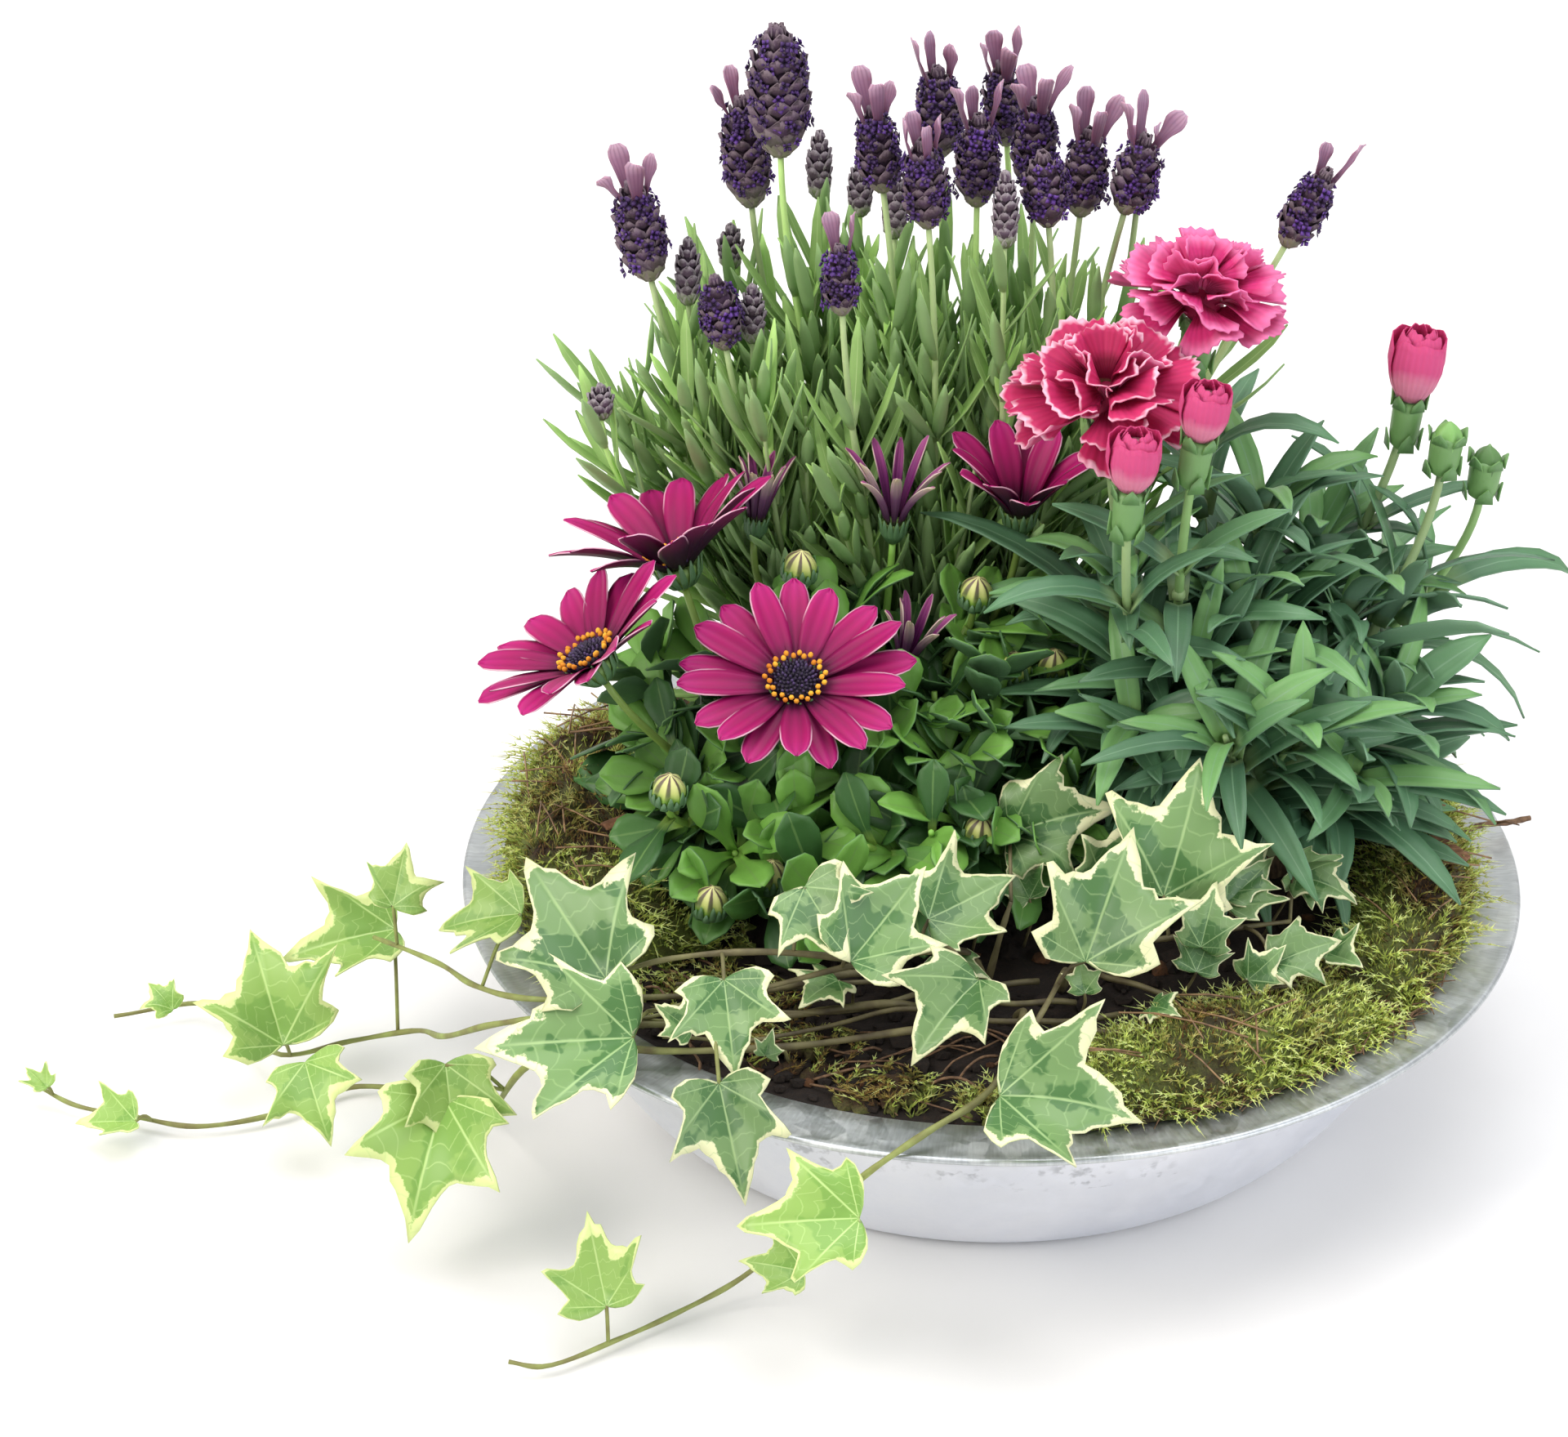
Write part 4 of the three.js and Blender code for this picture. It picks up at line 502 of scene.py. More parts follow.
scraps = Build()
for number, (bearing, reach, size, count) in enumerate(MOSS_SCRAPS):
    centre = vec(reach * math.cos(math.radians(bearing)), reach * math.sin(math.radians(bearing)))
    for k in range(count):
        share, angle = math.sqrt(draw(k, 11 + number)), 2 * math.pi * draw(k, 12 + number)
        x, y = centre + size * share * vec(math.cos(angle), 0.75 * math.sin(angle))
        if math.hypot(x, y) > edge - 2:
            continue
        root = vec(x, y, soil_height(math.hypot(x, y)) - 0.2 + 3.5 * (1 - share))
        heading = unit(vec(between(-0.8, 0.8, k, 13), between(-0.8, 0.8, k, 14), 1))
        frond(scraps, root, heading, between(4, 8, k, 15), k + 31 * number, draw(k, 17))
        if k % 4 == 0:
            lump(scraps, root - vec(0, 0, 0.9), between(2.4, 4, k, 16), k, along=0.1, shade=0.7)
scraps.piece("moss_scraps", living_moss, "moss", smooth=False)


# Ivy
# Small-leaved variegated ivy. Its wiry green-brown vines run over the soil and the rim and lie on the
# table at the left. Each leaf has five pointed lobes, a grey-green middle and a cream margin.

VINE_RADIUS = 1.05
LEAF_STALK_RADIUS = 0.55
IVY_THICKNESS = 0.5
# One half of a leaf's edge from its joint to its tip, as shares of its length along and across it.
IVY_LOBE = [(0.0, 0.02), (-0.04, 0.1), (-0.06, 0.2), (-0.06, 0.3), (0.0, 0.4), (0.07, 0.47), (0.12, 0.41),
            (0.19, 0.37), (0.26, 0.385), (0.34, 0.43), (0.44, 0.5), (0.56, 0.58), (0.54, 0.49), (0.52, 0.4),
            (0.52, 0.32), (0.545, 0.25), (0.6, 0.205), (0.68, 0.165), (0.78, 0.12), (0.89, 0.06), (1.0, 0.0)]
IVY_RINGS = 7
SMALL_IVY_RINGS = 5
# Each leaf is its joint, its tip and the way that its upper side faces.
IVY = {
    "ivy_vine_upper_left": {
        "vines": [[[-26, -72, 66], [-34, -77, 73], [-60, -84, 71], [-95, -86, 69], [-124, -84, 66.5],
                   [-140, -68, 60], [-152, -48, 54], [-168, -30, 49], [-174, -22, 46]]],
        "leaves": [
            [[-128, -56, 76], [-151, -51, 66], [-0.5, -0.4, 0.75]],
            [[-167, -31, 62], [-164, -18, 75], [0, -0.6, 0.8]],
        ],
    },
    "ivy_vine_middle_left": {
        "vines": [[[-16, -84, 66], [-24, -90, 72], [-60, -95, 69], [-90, -96, 67], [-118, -93, 66],
                   [-133, -84, 58], [-150, -60, 38], [-163, -30, 20], [-182, -24, 12], [-202, -26, 8],
                   [-226, 3, 6], [-254, -5, 6]]],
        "leaves": [
            [[-165, -3, 24], [-197, -10, 16], [-0.1, -0.5, 0.85]],
            [[-200, -33, 16], [-211, -13, 42], [0.1, -0.7, 0.6]],
            [[-235, -13, 14], [-243, -6, 18], [0, -0.5, 0.85]],
        ],
    },
    "ivy_vine_lower_left": {
        "vines": [[[-4, -94, 66], [-12, -100, 71], [-50, -106, 68], [-85, -108, 66.5], [-108, -106, 66],
                   [-122, -102, 57], [-134, -82, 30], [-142, -52, 10], [-160, -38, 4.5], [-181, -35, 3.5],
                   [-199, -49, 3.5], [-222, -57, 3.5], [-240, -53, 3.5], [-258, -48, 3.5], [-270, -41, 5]]],
        "leaves": [
            [[-146, -97, 42], [-154, -121, 11], [0, -0.8, 0.6]],
            [[-141, -88, 36], [-137, -105, 12], [0.3, -0.8, 0.5]],
            [[-190, -57, 26], [-181, -74, 9], [0, -0.7, 0.7]],
            [[-238, -62, 8], [-255, -63, 7], [0, -0.3, 0.95]],
            [[-266, -46, 8], [-273, -41, 11], [0, -0.5, 0.85]],
        ],
    },
    "ivy_vine_front": {
        "vines": [[[8, -86, 66], [10, -96, 74], [6, -118, 72], [-1, -132, 70], [-14, -143, 67],
                   [-28, -152, 61], [-38, -151, 50], [-51, -139, 28], [-66, -131, 8], [-80, -139, 4],
                   [-95, -151, 3.5], [-114, -164, 3.5], [-123, -163, 4]]],
        "leaves": [
            [[-31, -173, 60], [-62, -173, 56], [-0.1, -0.7, 0.7]],
            [[-46, -155, 30], [-63, -153, 31], [0, -0.6, 0.8]],
            [[-98, -151, 14], [-104, -135, 33], [0, -0.8, 0.6]],
        ],
    },
    "ivy_centre": {
        "vines": [
            [[0, -70, 66], [-6, -76, 80], [-30, -88, 84], [-62, -98, 80], [-90, -102, 75]],
            [[0, -70, 66], [4, -69, 84], [6, -66, 90]],
            [[-30, -88, 84], [-60, -93, 89], [-84, -96, 88], [-100, -98, 84]],
        ],
        "leaves": [
            [[-93, -112, 73], [-135, -110, 66], [-0.2, -0.6, 0.78]],
            [[-106, -100, 82], [-129, -74, 103], [-0.2, -0.6, 0.78]],
            [[-69, -134, 74], [-61, -155, 50], [0, -0.75, 0.65]],
            [[-2, -109, 92], [-19, -129, 77], [-0.2, -0.6, 0.8]],
            [[5, -44, 98], [35, -38, 103], [0, -0.6, 0.8]],
            [[-36, -100, 91], [-17, -78, 107], [0, -0.7, 0.7]],
            [[-49, -81, 94], [-36, -98, 81], [-0.2, -0.6, 0.8]],
            [[-74, -110, 89], [-70, -127, 69], [0, -0.75, 0.65]],
            [[-11, -81, 93], [12, -67, 98], [0, -0.6, 0.8]],
        ],
    },
    "ivy_right": {
        "vines": [
            [[20, -72, 66], [27, -74, 80], [46, -72, 83], [64, -66, 83], [82, -56, 80]],
            [[20, -72, 66], [21, -84, 80], [16, -104, 82], [8, -124, 78]],
        ],
        "leaves": [
            [[4, -141, 77], [41, -143, 71], [0, -0.6, 0.8]],
            [[26, -97, 91], [38, -71, 117], [0, -0.7, 0.6]],
            [[47, -66, 93], [56, -43, 123], [0.1, -0.75, 0.5]],
            [[63, -58, 89], [76, -45, 98], [0, -0.6, 0.8]],
            [[83, -43, 88], [100, -49, 84], [0, -0.6, 0.8]],
            [[57, -80, 86], [61, -68, 99], [0, -0.7, 0.7]],
            [[77, -78, 80], [95, -70, 82], [0, -0.5, 0.85]],
        ],
    },
}
# Small leaves and fresh tips low in the bowl, each on its own stalk, and bare runners over the soil.
SMALL_IVY = [
    [[6, -24, 84], [-7, -20, 100], [0, -0.8, 0.5]], [[31, -55, 90], [38, -45, 106], [0.2, -0.7, 0.7]],
    [[64, -62, 88], [77, -49, 96], [0.3, -0.6, 0.7]], [[84, -46, 88], [100, -51, 82], [0.3, -0.5, 0.8]],
    [[56, -83, 80], [61, -74, 90], [0, -0.7, 0.6]], [[26, -95, 80], [24, -89, 88], [0, -0.8, 0.5]],
    [[-5, -60, 82], [-16, -56, 93], [-0.2, -0.7, 0.6]], [[-58, -114, 70], [-56, -113, 78], [0, -0.9, 0.3]],
    [[70, -80, 76], [80, -76, 85], [0.2, -0.7, 0.6]], [[11, -54, 84], [4, -51, 97], [0, -0.8, 0.6]],
    [[-10, -76, 78], [-6, -94, 73], [0, -0.5, 0.9]], [[-78, -106, 72], [-88, -104, 79], [-0.3, -0.7, 0.6]],
    [[-21, -42, 80], [-31, -40, 93], [-0.2, -0.7, 0.6]], [[44, -92, 74], [52, -100, 76], [0.2, -0.6, 0.8]],
    [[92, -66, 76], [101, -76, 78], [0.3, -0.6, 0.7]], [[-40, -86, 76], [-50, -100, 75], [-0.2, -0.5, 0.8]],
]
RUNNERS = [
    [[24, -78, 66], [2, -86, 70.5], [-36, -88, 69], [-70, -98, 69.5], [-98, -92, 67]],
    [[14, -70, 67], [-10, -80, 71], [-44, -94, 70.5], [-74, -90, 70], [-100, -98, 68]],
    [[36, -84, 66], [10, -94, 69.5], [-24, -92, 71], [-56, -104, 69], [-86, -104, 68]],
    [[-2, -62, 68], [-22, -76, 72], [-52, -82, 71], [-84, -80, 70]],
    [[30, -66, 68], [48, -80, 71], [66, -84, 73], [84, -78, 74]],
    [[18, -88, 66], [34, -98, 70], [52, -98, 72], [70, -92, 74]],
]
# The shifts that the solids tried for a leaf, so that it stays clear of its neighbours.
LEAF_SHIFTS = [(aside, -0.6 * raised, 2 * raised) for raised in range(9) for aside in (0, 5, -5)]


class Seat:
    """Finds where a solid node's own points and skin are, so that finer pieces lie on it."""

    def __init__(self, name):
        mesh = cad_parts[name].data
        points = [v.co / MM for v in mesh.vertices]
        self.tree = BVHTree.FromPolygons(points, [list(polygon.vertices) for polygon in mesh.polygons])
        self.corners = KDTree(len(points))
        for i, point in enumerate(points):
            self.corners.insert(point, i)
        self.corners.balance()

    def corner_gap(self, point):
        return self.corners.find(Vector(point))[2]

    def skin_gap(self, point):
        return self.tree.find_nearest(Vector(point))[3]


def plate(build, middle, thickness, **marks):
    """A thin leaf or petal: its grid of middle points is doubled, and its edges are closed."""
    face = np.cross(np.gradient(middle, axis=0), np.gradient(middle, axis=1))
    size = np.linalg.norm(face, axis=2, keepdims=True)
    good = size[..., 0] > 1e-7
    face = np.where(good[..., None], face / np.maximum(size, 1e-7), 0)
    if not good.all():
        face = np.where(good[..., None], face, unit(face[good].mean(axis=0)))
    rows, columns = middle.shape[:2]
    half = np.broadcast_to(thickness, (rows, columns))[..., None] / 2
    points = np.concatenate([(middle + sign * half * face).reshape(-1, 3) for sign in (1, -1)])
    top, below = quads(rows, columns), rows * columns
    ids = np.arange(below).reshape(rows, columns)
    rim = np.concatenate([ids[0, :-1], ids[:-1, -1], ids[-1, :0:-1], ids[:0:-1, 0]])
    ahead = np.roll(rim, -1)
    faces = [top, top[:, ::-1] + below, np.stack([ahead, rim, rim + below, ahead + below], axis=-1)]
    flat = {key: np.tile(np.broadcast_to(value, (rows, columns)).ravel(), 2) for key, value in marks.items()}
    build.add(points, np.concatenate(faces), side=np.repeat([1.0, 0.0], below), **flat)


def smooth_path(points, steps):
    """A smooth curve through points, spaced by the square roots of their distances."""
    points = [vec(*p) for p in points]
    points = [2 * points[0] - points[1], *points, 2 * points[-1] - points[-2]]
    curve = []
    for a, b, c, d in zip(points, points[1:], points[2:], points[3:]):
        t0, t1 = 0.0, math.sqrt(np.linalg.norm(b - a))
        t2 = t1 + math.sqrt(np.linalg.norm(c - b))
        t3 = t2 + math.sqrt(np.linalg.norm(d - c))
        for t in np.linspace(t1, t2, steps, endpoint=False):
            p = (t1 - t) / (t1 - t0) * a + (t - t0) / (t1 - t0) * b
            q = (t2 - t) / (t2 - t1) * b + (t - t1) / (t2 - t1) * c
            r = (t3 - t) / (t3 - t2) * c + (t - t2) / (t3 - t2) * d
            s = (t2 - t) / (t2 - t0) * p + (t - t0) / (t2 - t0) * q
            u = (t3 - t) / (t3 - t1) * q + (t - t1) / (t3 - t1) * r
            curve.append((t2 - t) / (t2 - t1) * s + (t - t1) / (t2 - t1) * u)
    return np.array([*curve, points[-2]])


def ivy_leaf(build, joint, tip, normal, seed, rings=IVY_RINGS):
    """One leaf: rings grow from its joint to the lobed outline. It folds, droops and curls a little."""
    length = np.linalg.norm(tip - joint)
    ahead = unit(tip - joint)
    face = unit(normal - ahead * np.dot(normal, ahead))
    side = np.cross(face, ahead)
    half = np.array(IVY_LOBE)
    outline = np.concatenate([half * [1, -1], half[-2::-1]])
    wobble = np.array([between(0.94, 1.05, seed, 300 + k) for k in range(len(outline))])
    wobble[[0, -1, len(half) - 1]] = 1
    outline = outline * wobble[:, None]
    # No two leaves are alike: one side is a little wider, and its lobe reaches a little further.
    left, right = between(0.84, 1.1, seed, 8), between(0.84, 1.1, seed, 9)
    outline[:, 1] *= np.where(outline[:, 1] < 0, left, right)
    outline[:, 0] += between(-0.12, 0.12, seed, 10) * outline[:, 1] * (outline[:, 0] < 0.9)
    shares = np.linspace(0, 1, rings)[:, None] ** 0.8
    x, y = shares * outline[:, 0], shares * outline[:, 1]
    bearing = np.arctan2(outline[:, 1], outline[:, 0] + 0.02)
    fold, arch = between(0.2, 0.6, seed, 11), between(-0.15, 0.75, seed, 12)
    curl = between(-0.6, 1.3, seed, 13)
    lift = fold * np.abs(y) + arch * x * (1 - x) - curl * np.maximum(np.abs(y) - 0.2, 0) ** 2 * 2.2
    lift += 0.044 * np.cos(bearing * 7.5) * shares ** 2 * np.linalg.norm(outline, axis=1)
    lift += 0.03 * np.sin(bearing * 2 + 6 * draw(seed, 5)) * shares ** 2
    lift += between(-0.25, 0.25, seed, 14) * x * y
    points = joint + length * (x[..., None] * ahead + y[..., None] * side + lift[..., None] * face)
    plate(build, points, IVY_THICKNESS, along=shares, across=bearing / math.pi, shade=draw(seed, 7))


def arrange_ivy(name, plant):
    """One plant's leaves and vines. Each leaf takes the shift that the solid's own leaf took."""
    leaves, vines, seat = Build(), Build(), Seat(name)
    paths = [smooth_path(points, 7) for points in plant["vines"]]
    spots = np.concatenate(paths)
    for path in paths:
        swell = 1 + 0.12 * np.sin(np.arange(len(path)) * 0.9)
        tube(vines, path, VINE_RADIUS * swell * np.linspace(1.05, 0.62, len(path)), 8,
             shade=draw(len(path), 3))
    for number, (joint, tip, normal) in enumerate(plant["leaves"]):
        shift = vec(*min(LEAF_SHIFTS, key=lambda move: seat.corner_gap(vec(*tip) + vec(*move))))
        joint, tip = vec(*joint) + shift, vec(*tip) + shift
        ivy_leaf(leaves, joint, tip, vec(*normal), number + 40 * list(IVY).index(name))
        near = spots[np.linalg.norm(spots - joint, axis=1).argmin()]
        knee = (near + joint) / 2 + vec(0, 0, 0.18 * np.linalg.norm(near - joint))
        tube(vines, smooth_path([near, knee, joint + 0.3 * unit(tip - joint)], 6), LEAF_STALK_RADIUS, 7,
             shade=0.9)
    return leaves, vines


# Young bark is thin, waxy and green. Old wood inside the bowl is dull brown, so the vines darken there.
vine_bark, add, shader = new_material("ivy_vine_bark")
where = add("TexCoord", output="Object")
patches = add("TexNoise", {"Vector": where, "Scale": 1 / (7 * MM), "Detail": 4.0})
fine = add("TexNoise", {"Vector": where, "Scale": 1 / (0.8 * MM)})
level = add("VectorMath", {0: where, 1: (1.0, 1.0, 0.0)}, operation="MULTIPLY")
reach = add("VectorMath", {0: level}, "Value", operation="LENGTH")
outside = add("MapRange", {0: reach, 1: 0.12, 2: 0.155})
old_wood = add("ValToRGB", {0: patches}, stops=[(0.3, "#453b28"), (0.7, "#78714b")])
young_wood = add("ValToRGB", {0: patches}, stops=[(0.2, "#6b5f38"), (0.6, "#8c9650"), (0.85, "#a3b866")])
fill(shader, {
    "Base Color": add("Mix", {0: outside, 6: old_wood, 7: young_wood}, 2, data_type="RGBA"),
    "Roughness": 0.6,
    "Normal": add("Bump", {"Height": fine, "Strength": 0.4, "Distance": 0.2 * MM}),
})


def ivy_material(name, middle, patch, margin, vein):
    """Green with grey-green blots, a ragged pale margin and five pale veins from the joint to the lobes.
    A waxy skin gives it a low shine, and its underside is paler."""
    material, add, shader = new_material(name)
    where = add("TexCoord", output="Object")
    along, across, shade, side = (add("Attribute", attribute_name=label, output="Fac")
                                  for label in Build.MARKS)
    blot = add("TexNoise", {"Vector": where, "Scale": 1 / (13 * MM), "Detail": 3.0, "Roughness": 0.5})
    ragged = add("TexNoise", {"Vector": where, "Scale": 1 / (3.5 * MM), "Detail": 4.0, "Roughness": 0.7})
    broad = add("TexNoise", {"Vector": where, "Scale": 1 / (16 * MM)})
    outwards = add("Math", {0: along, 1: 0.34, 2: blot}, operation="MULTIPLY_ADD")
    is_patch = add("MapRange", {0: outwards, 1: 0.68, 2: 0.71})
    tone = add("Mix", {0: is_patch, 6: middle, 7: patch}, 2, data_type="RGBA")
    reach = add("Math", {0: ragged, 1: 0.3, 2: along}, operation="MULTIPLY_ADD")
    reach = add("Math", {0: broad, 1: 0.95, 2: reach}, operation="MULTIPLY_ADD")
    wide_rim = add("MapRange", {0: reach, 1: 1.54, 2: 1.57})
    thin_rim = add("Math", {0: ragged, 1: 0.09, 2: along}, operation="MULTIPLY_ADD")
    thin_rim = add("MapRange", {0: thin_rim, 1: 1.0, 2: 1.015})
    rim = add("Math", {0: wide_rim, 1: thin_rim}, operation="MAXIMUM")
    tone = add("Mix", {0: rim, 6: tone, 7: margin}, 2, data_type="RGBA")
    # The main veins lie at three angles to the leaf's middle, the same to both sides.
    turned = add("Math", {0: across}, operation="ABSOLUTE")
    gaps = [add("Math", {0: turned, 1: lobe}, operation="SUBTRACT") for lobe in (0.0, 0.25, 0.44)]
    gaps = [add("Math", {0: gap}, operation="ABSOLUTE") for gap in gaps]
    nearest = add("Math", {0: gaps[1], 1: gaps[2]}, operation="MINIMUM")
    nearest = add("Math", {0: gaps[0], 1: nearest}, operation="MINIMUM")
    far = add("Math", {0: along, 1: 0.05}, operation="ADD")
    width = add("Math", {0: nearest, 1: far}, operation="MULTIPLY")
    veins = add("MapRange", {0: width, 1: 0.0015, 2: 0.006, 3: 1.0, 4: 0.0})
    fade = add("MapRange", {0: along, 1: 0.6, 2: 1.0, 3: 0.85, 4: 0.0})
    strength = add("Math", {0: veins, 1: fade}, operation="MULTIPLY")
    # Side veins leave each main vein at a slant.
    slant = add("Math", {0: nearest, 1: -3.4, 2: 1.0}, operation="MULTIPLY_ADD")
    order = add("Math", {0: along, 1: slant}, operation="MULTIPLY")
    order = add("Math", {0: order, 1: 7.0}, operation="MULTIPLY")
    twig = add("Math", {0: add("Math", {0: order}, operation="FRACT"), 1: 0.5}, operation="SUBTRACT")
    twig = add("MapRange", {0: add("Math", {0: twig}, operation="ABSOLUTE"), 2: 0.07, 3: 0.4, 4: 0.0})
    strength = add("Math", {0: strength, 1: twig}, operation="MAXIMUM")
    tone = add("Mix", {0: strength, 6: tone, 7: vein}, 2, data_type="RGBA")
    light = add("Math", {0: shade, 1: 0.3, 2: 0.85}, operation="MULTIPLY_ADD")
    tone = add("HueSaturation", {"Value": light, "Color": tone})
    paler = add("Mix", {0: 0.5, 6: tone, 7: "#a9bd86"}, 2, data_type="RGBA")
    fill(shader, {
        "Base Color": add("Mix", {0: side, 6: paler, 7: tone}, 2, data_type="RGBA"),
        "Roughness": 0.42,
        "Subsurface Weight": 0.1,
        "Subsurface Radius": (0.5, 1.0, 0.25),
        "Subsurface Scale": 1.2 * MM,
        "Normal": add("Bump", {"Height": veins, "Strength": -0.5, "Distance": 0.3 * MM}),
    })
    return material


# The leaves in the bowl are grey-green with cream rims. Those that trail out to the left are yellower.
ivy_bowl = ivy_material("variegated_ivy_leaf", "#47703a", "#6f9058", "#e2e3b4", "#9dba7e")
ivy_trail = ivy_material("young_ivy_leaf", "#7ba34a", "#8eb158", "#d6e298", "#bcd788")

for name, plant in IVY.items():
    leaves, vines = arrange_ivy(name, plant)
    leaves.piece(f"{name}_leaves", ivy_trail if "vine" in name else ivy_bowl, "ivy_leaf", [name])
    vines.piece(f"{name}_stems", vine_bark, "ivy_leaf")

small, stalks = Build(), Build()
for number, course in enumerate(RUNNERS):
    path = smooth_path(course, 8)
    path[:, 2] += 0.5 * np.sin(np.arange(len(path)) * 0.8 + number)
    tube(stalks, path, np.linspace(0.95, 0.5, len(path)), 7, shade=0.2)
for number, (joint, tip, normal) in enumerate(SMALL_IVY):
    joint = vec(*joint)
    ivy_leaf(small, joint, vec(*tip), vec(*normal), 400 + number, SMALL_IVY_RINGS)
    ground = vec(joint[0] * 0.9, joint[1] + 4, 66)
    tube(stalks, smooth_path([ground, (ground + joint) / 2 + vec(1.5, -1, 3), joint], 5), 0.45, 6, shade=0.9)
small.piece("small_ivy_leaves", ivy_bowl, "ivy_leaf")
stalks.piece("ivy_runners", vine_bark, "ivy_leaf")


# Lavender stems
# One French lavender plant in five groups of upright stems. The stems are square, pale grey-green and
# a little downy. Narrow leaves with rolled edges stand on them in pairs and tufts, fresh green on top.

STUMPS = {
    "lavender": [(-56, 56), (-38, 76), (-24, 54), (-4, 78), (12, 56)],
    "daisy": [(-62, 0), (-34, 10), (-14, -12)],
    "carnation": [(44, 18), (70, 34), (80, 4)],
}
STUMP_BOTTOM = 60
STUMP_TOP = 72
STUMP_RADIUS = 7.2
REACH = 0.36
BAND = 1.5
GOLDEN_TURN = 2.39996
# The sways that the solids tried for a stem, and the turns and lengths for a leaf, in their order.
SWAYS = [(0, 0), (12, -12), (-12, 12), (10, 10), (-10, -10), (24, -24), (-24, 24), (24, 6), (-24, -6),
         (6, 24), (-6, -24), (36, -36), (-36, 36), (40, 12), (-40, -12)]
LEAF_TRIES = [(0, 1), (0.3, 1), (-0.3, 1), (0.6, 0.9), (-0.6, 0.9), (0, 0.7), (0.4, 0.6), (-0.4, 0.6)]
SAME_CORNER = 0.15
SAME_SKIN = 2.4
LEAF = {
    "lavender": dict(length=(26, 42), width=(3.8, 4.6), rise=(0.7, 1.0), bend=(0.85, 1.35)),
    "daisy": dict(length=(24, 38), width=(10.5, 14), rise=(0.35, 0.8), bend=(0.0, 0.6)),
    "carnation": dict(length=(50, 80), width=(6.5, 9), rise=(0.8, 1.1), bend=(-0.7, 0.3)),
}
# The outline of each kind of leaf, as half widths along it, how it folds along its middle, its
# thickness, and its rows and columns of points.
OUTLINE = {
    "lavender": ([0, 0.08, 0.25, 0.5, 0.75, 0.92, 1], [0.5, 0.7, 1, 1.05, 0.9, 0.5, 0.08], 0.32, 0.4, 6, 3),
    "daisy": ([0, 0.15, 0.3, 0.42, 0.58, 0.72, 0.85, 0.94, 1],
              [0.26, 0.26, 0.36, 0.64, 0.94, 1.05, 0.9, 0.58, 0.1], 0.2, 0.5, 8, 5),
    "carnation": ([0, 0.1, 0.3, 0.5, 0.7, 0.85, 0.95, 1], [0.8, 0.95, 1.1, 1.15, 1.0, 0.66, 0.28, 0.03],
                  0.25, 0.6, 8, 5),
}
# Where each kind's draws start for its stems, and its low outer shoots: their first draw, how many
# there are, where their leaves stand along them, and how large those are.
STEM_DRAWS = {"lavender": 9000, "daisy": 2000, "carnation": 6000}
LOW_SHOOTS = {
    "lavender": (16000, 5, np.arange(0.15, 1.0, 0.12), 1.0),
    "daisy": (23000, 4, np.arange(0.3, 1.0, 0.22), 1.0),
    "carnation": (24000, 5, np.arange(0.2, 1.0, 0.18), 0.75),
}
HEADS = [
    dict(base=(-63, 70, 249), top=(-64, 70, 285), radius=8.2, bracts=0, spot=1),
    dict(base=(-72, 85, 227), top=(-75, 85, 258), radius=6.4, bracts=3, spot=1),
    dict(base=(-99, 60, 215), top=(-104, 60, 242), radius=6.6, bracts=4, spot=0),
    dict(base=(-34, 60, 243), top=(-37, 60, 266), radius=5.6, bracts=4, spot=2),
    dict(base=(-21, 45, 239), top=(-23, 45, 262), radius=6.0, bracts=4, spot=2),
    dict(base=(-19, 95, 239), top=(-20, 95, 264), radius=6.0, bracts=3, spot=3),
    dict(base=(0, 112, 236), top=(-2, 112, 259), radius=5.6, bracts=4, spot=3),
    dict(base=(-8, 70, 235), top=(-8, 70, 260), radius=5.8, bracts=3, spot=3),
    dict(base=(8, 90, 231), top=(8, 90, 257), radius=6.0, bracts=4, spot=3),
    dict(base=(12, 50, 238), top=(10, 50, 257), radius=6.0, bracts=0, spot=4),
    dict(base=(21, 76, 230), top=(23, 76, 254), radius=5.8, bracts=4, spot=4),
    dict(base=(33, 60, 238), top=(38, 60, 259), radius=5.8, bracts=3, spot=4),
    dict(base=(37, 84, 228), top=(38, 84, 243), radius=4.6, bracts=2, spot=4),
    dict(base=(78, 60, 229), top=(88, 60, 250), radius=5.2, bracts=2, spot=4),
    dict(base=(-77, 45, 201), top=(-80, 45, 221), radius=5.2, bracts=0, spot=0),
    dict(base=(-44, 28, 220), top=(-45, 28, 239), radius=4.4, bracts=2, spot=2),
]
# Each small closed bud is the place of its base, its length and its stem's group.
LAVENDER_BUDS = [
    ((-53, 90, 228), 18, 1), ((-31, 72, 224), 18, 2), ((-41, 80, 227), 14, 1), ((0, 42, 235), 20, 4),
    ((-89, 66, 205), 18, 0), ((-70, 52, 200), 15, 0), ((-78, 84, 208), 11, 1), ((-112, 40, 181), 8, 0),
]
LAVENDER_CENTRE = (-36, 66)
LAVENDER_SOLID_SHOOTS = 7
LAVENDER_SHOOTS = 42
# Where flowers stand and how far they reach, so that no added leaf grows through them.
FLOWER_ROOM = [((-54, -36, 150), 26), ((-92, 10, 168), 24), ((-120, -30, 156), 24), ((6, 29, 176), 21),
               ((-28, 24, 172), 14), ((-67, 33, 166), 13), ((-22, 4, 136), 12), ((54, 38, 226), 26),
               ((28, -2, 212), 26), ((36, -32, 206), 10), ((54, -23, 217), 10), ((115, 45, 200), 10)]
FLOWER_ROOM += [((x, y, z + length / 2), length / 2 + 1) for (x, y, z), length, _ in LAVENDER_BUDS]
FLOWER_ROOM += [(vec(*head["base"]) * 0.5 + vec(*head["top"]) * 0.5, 12) for head in HEADS]


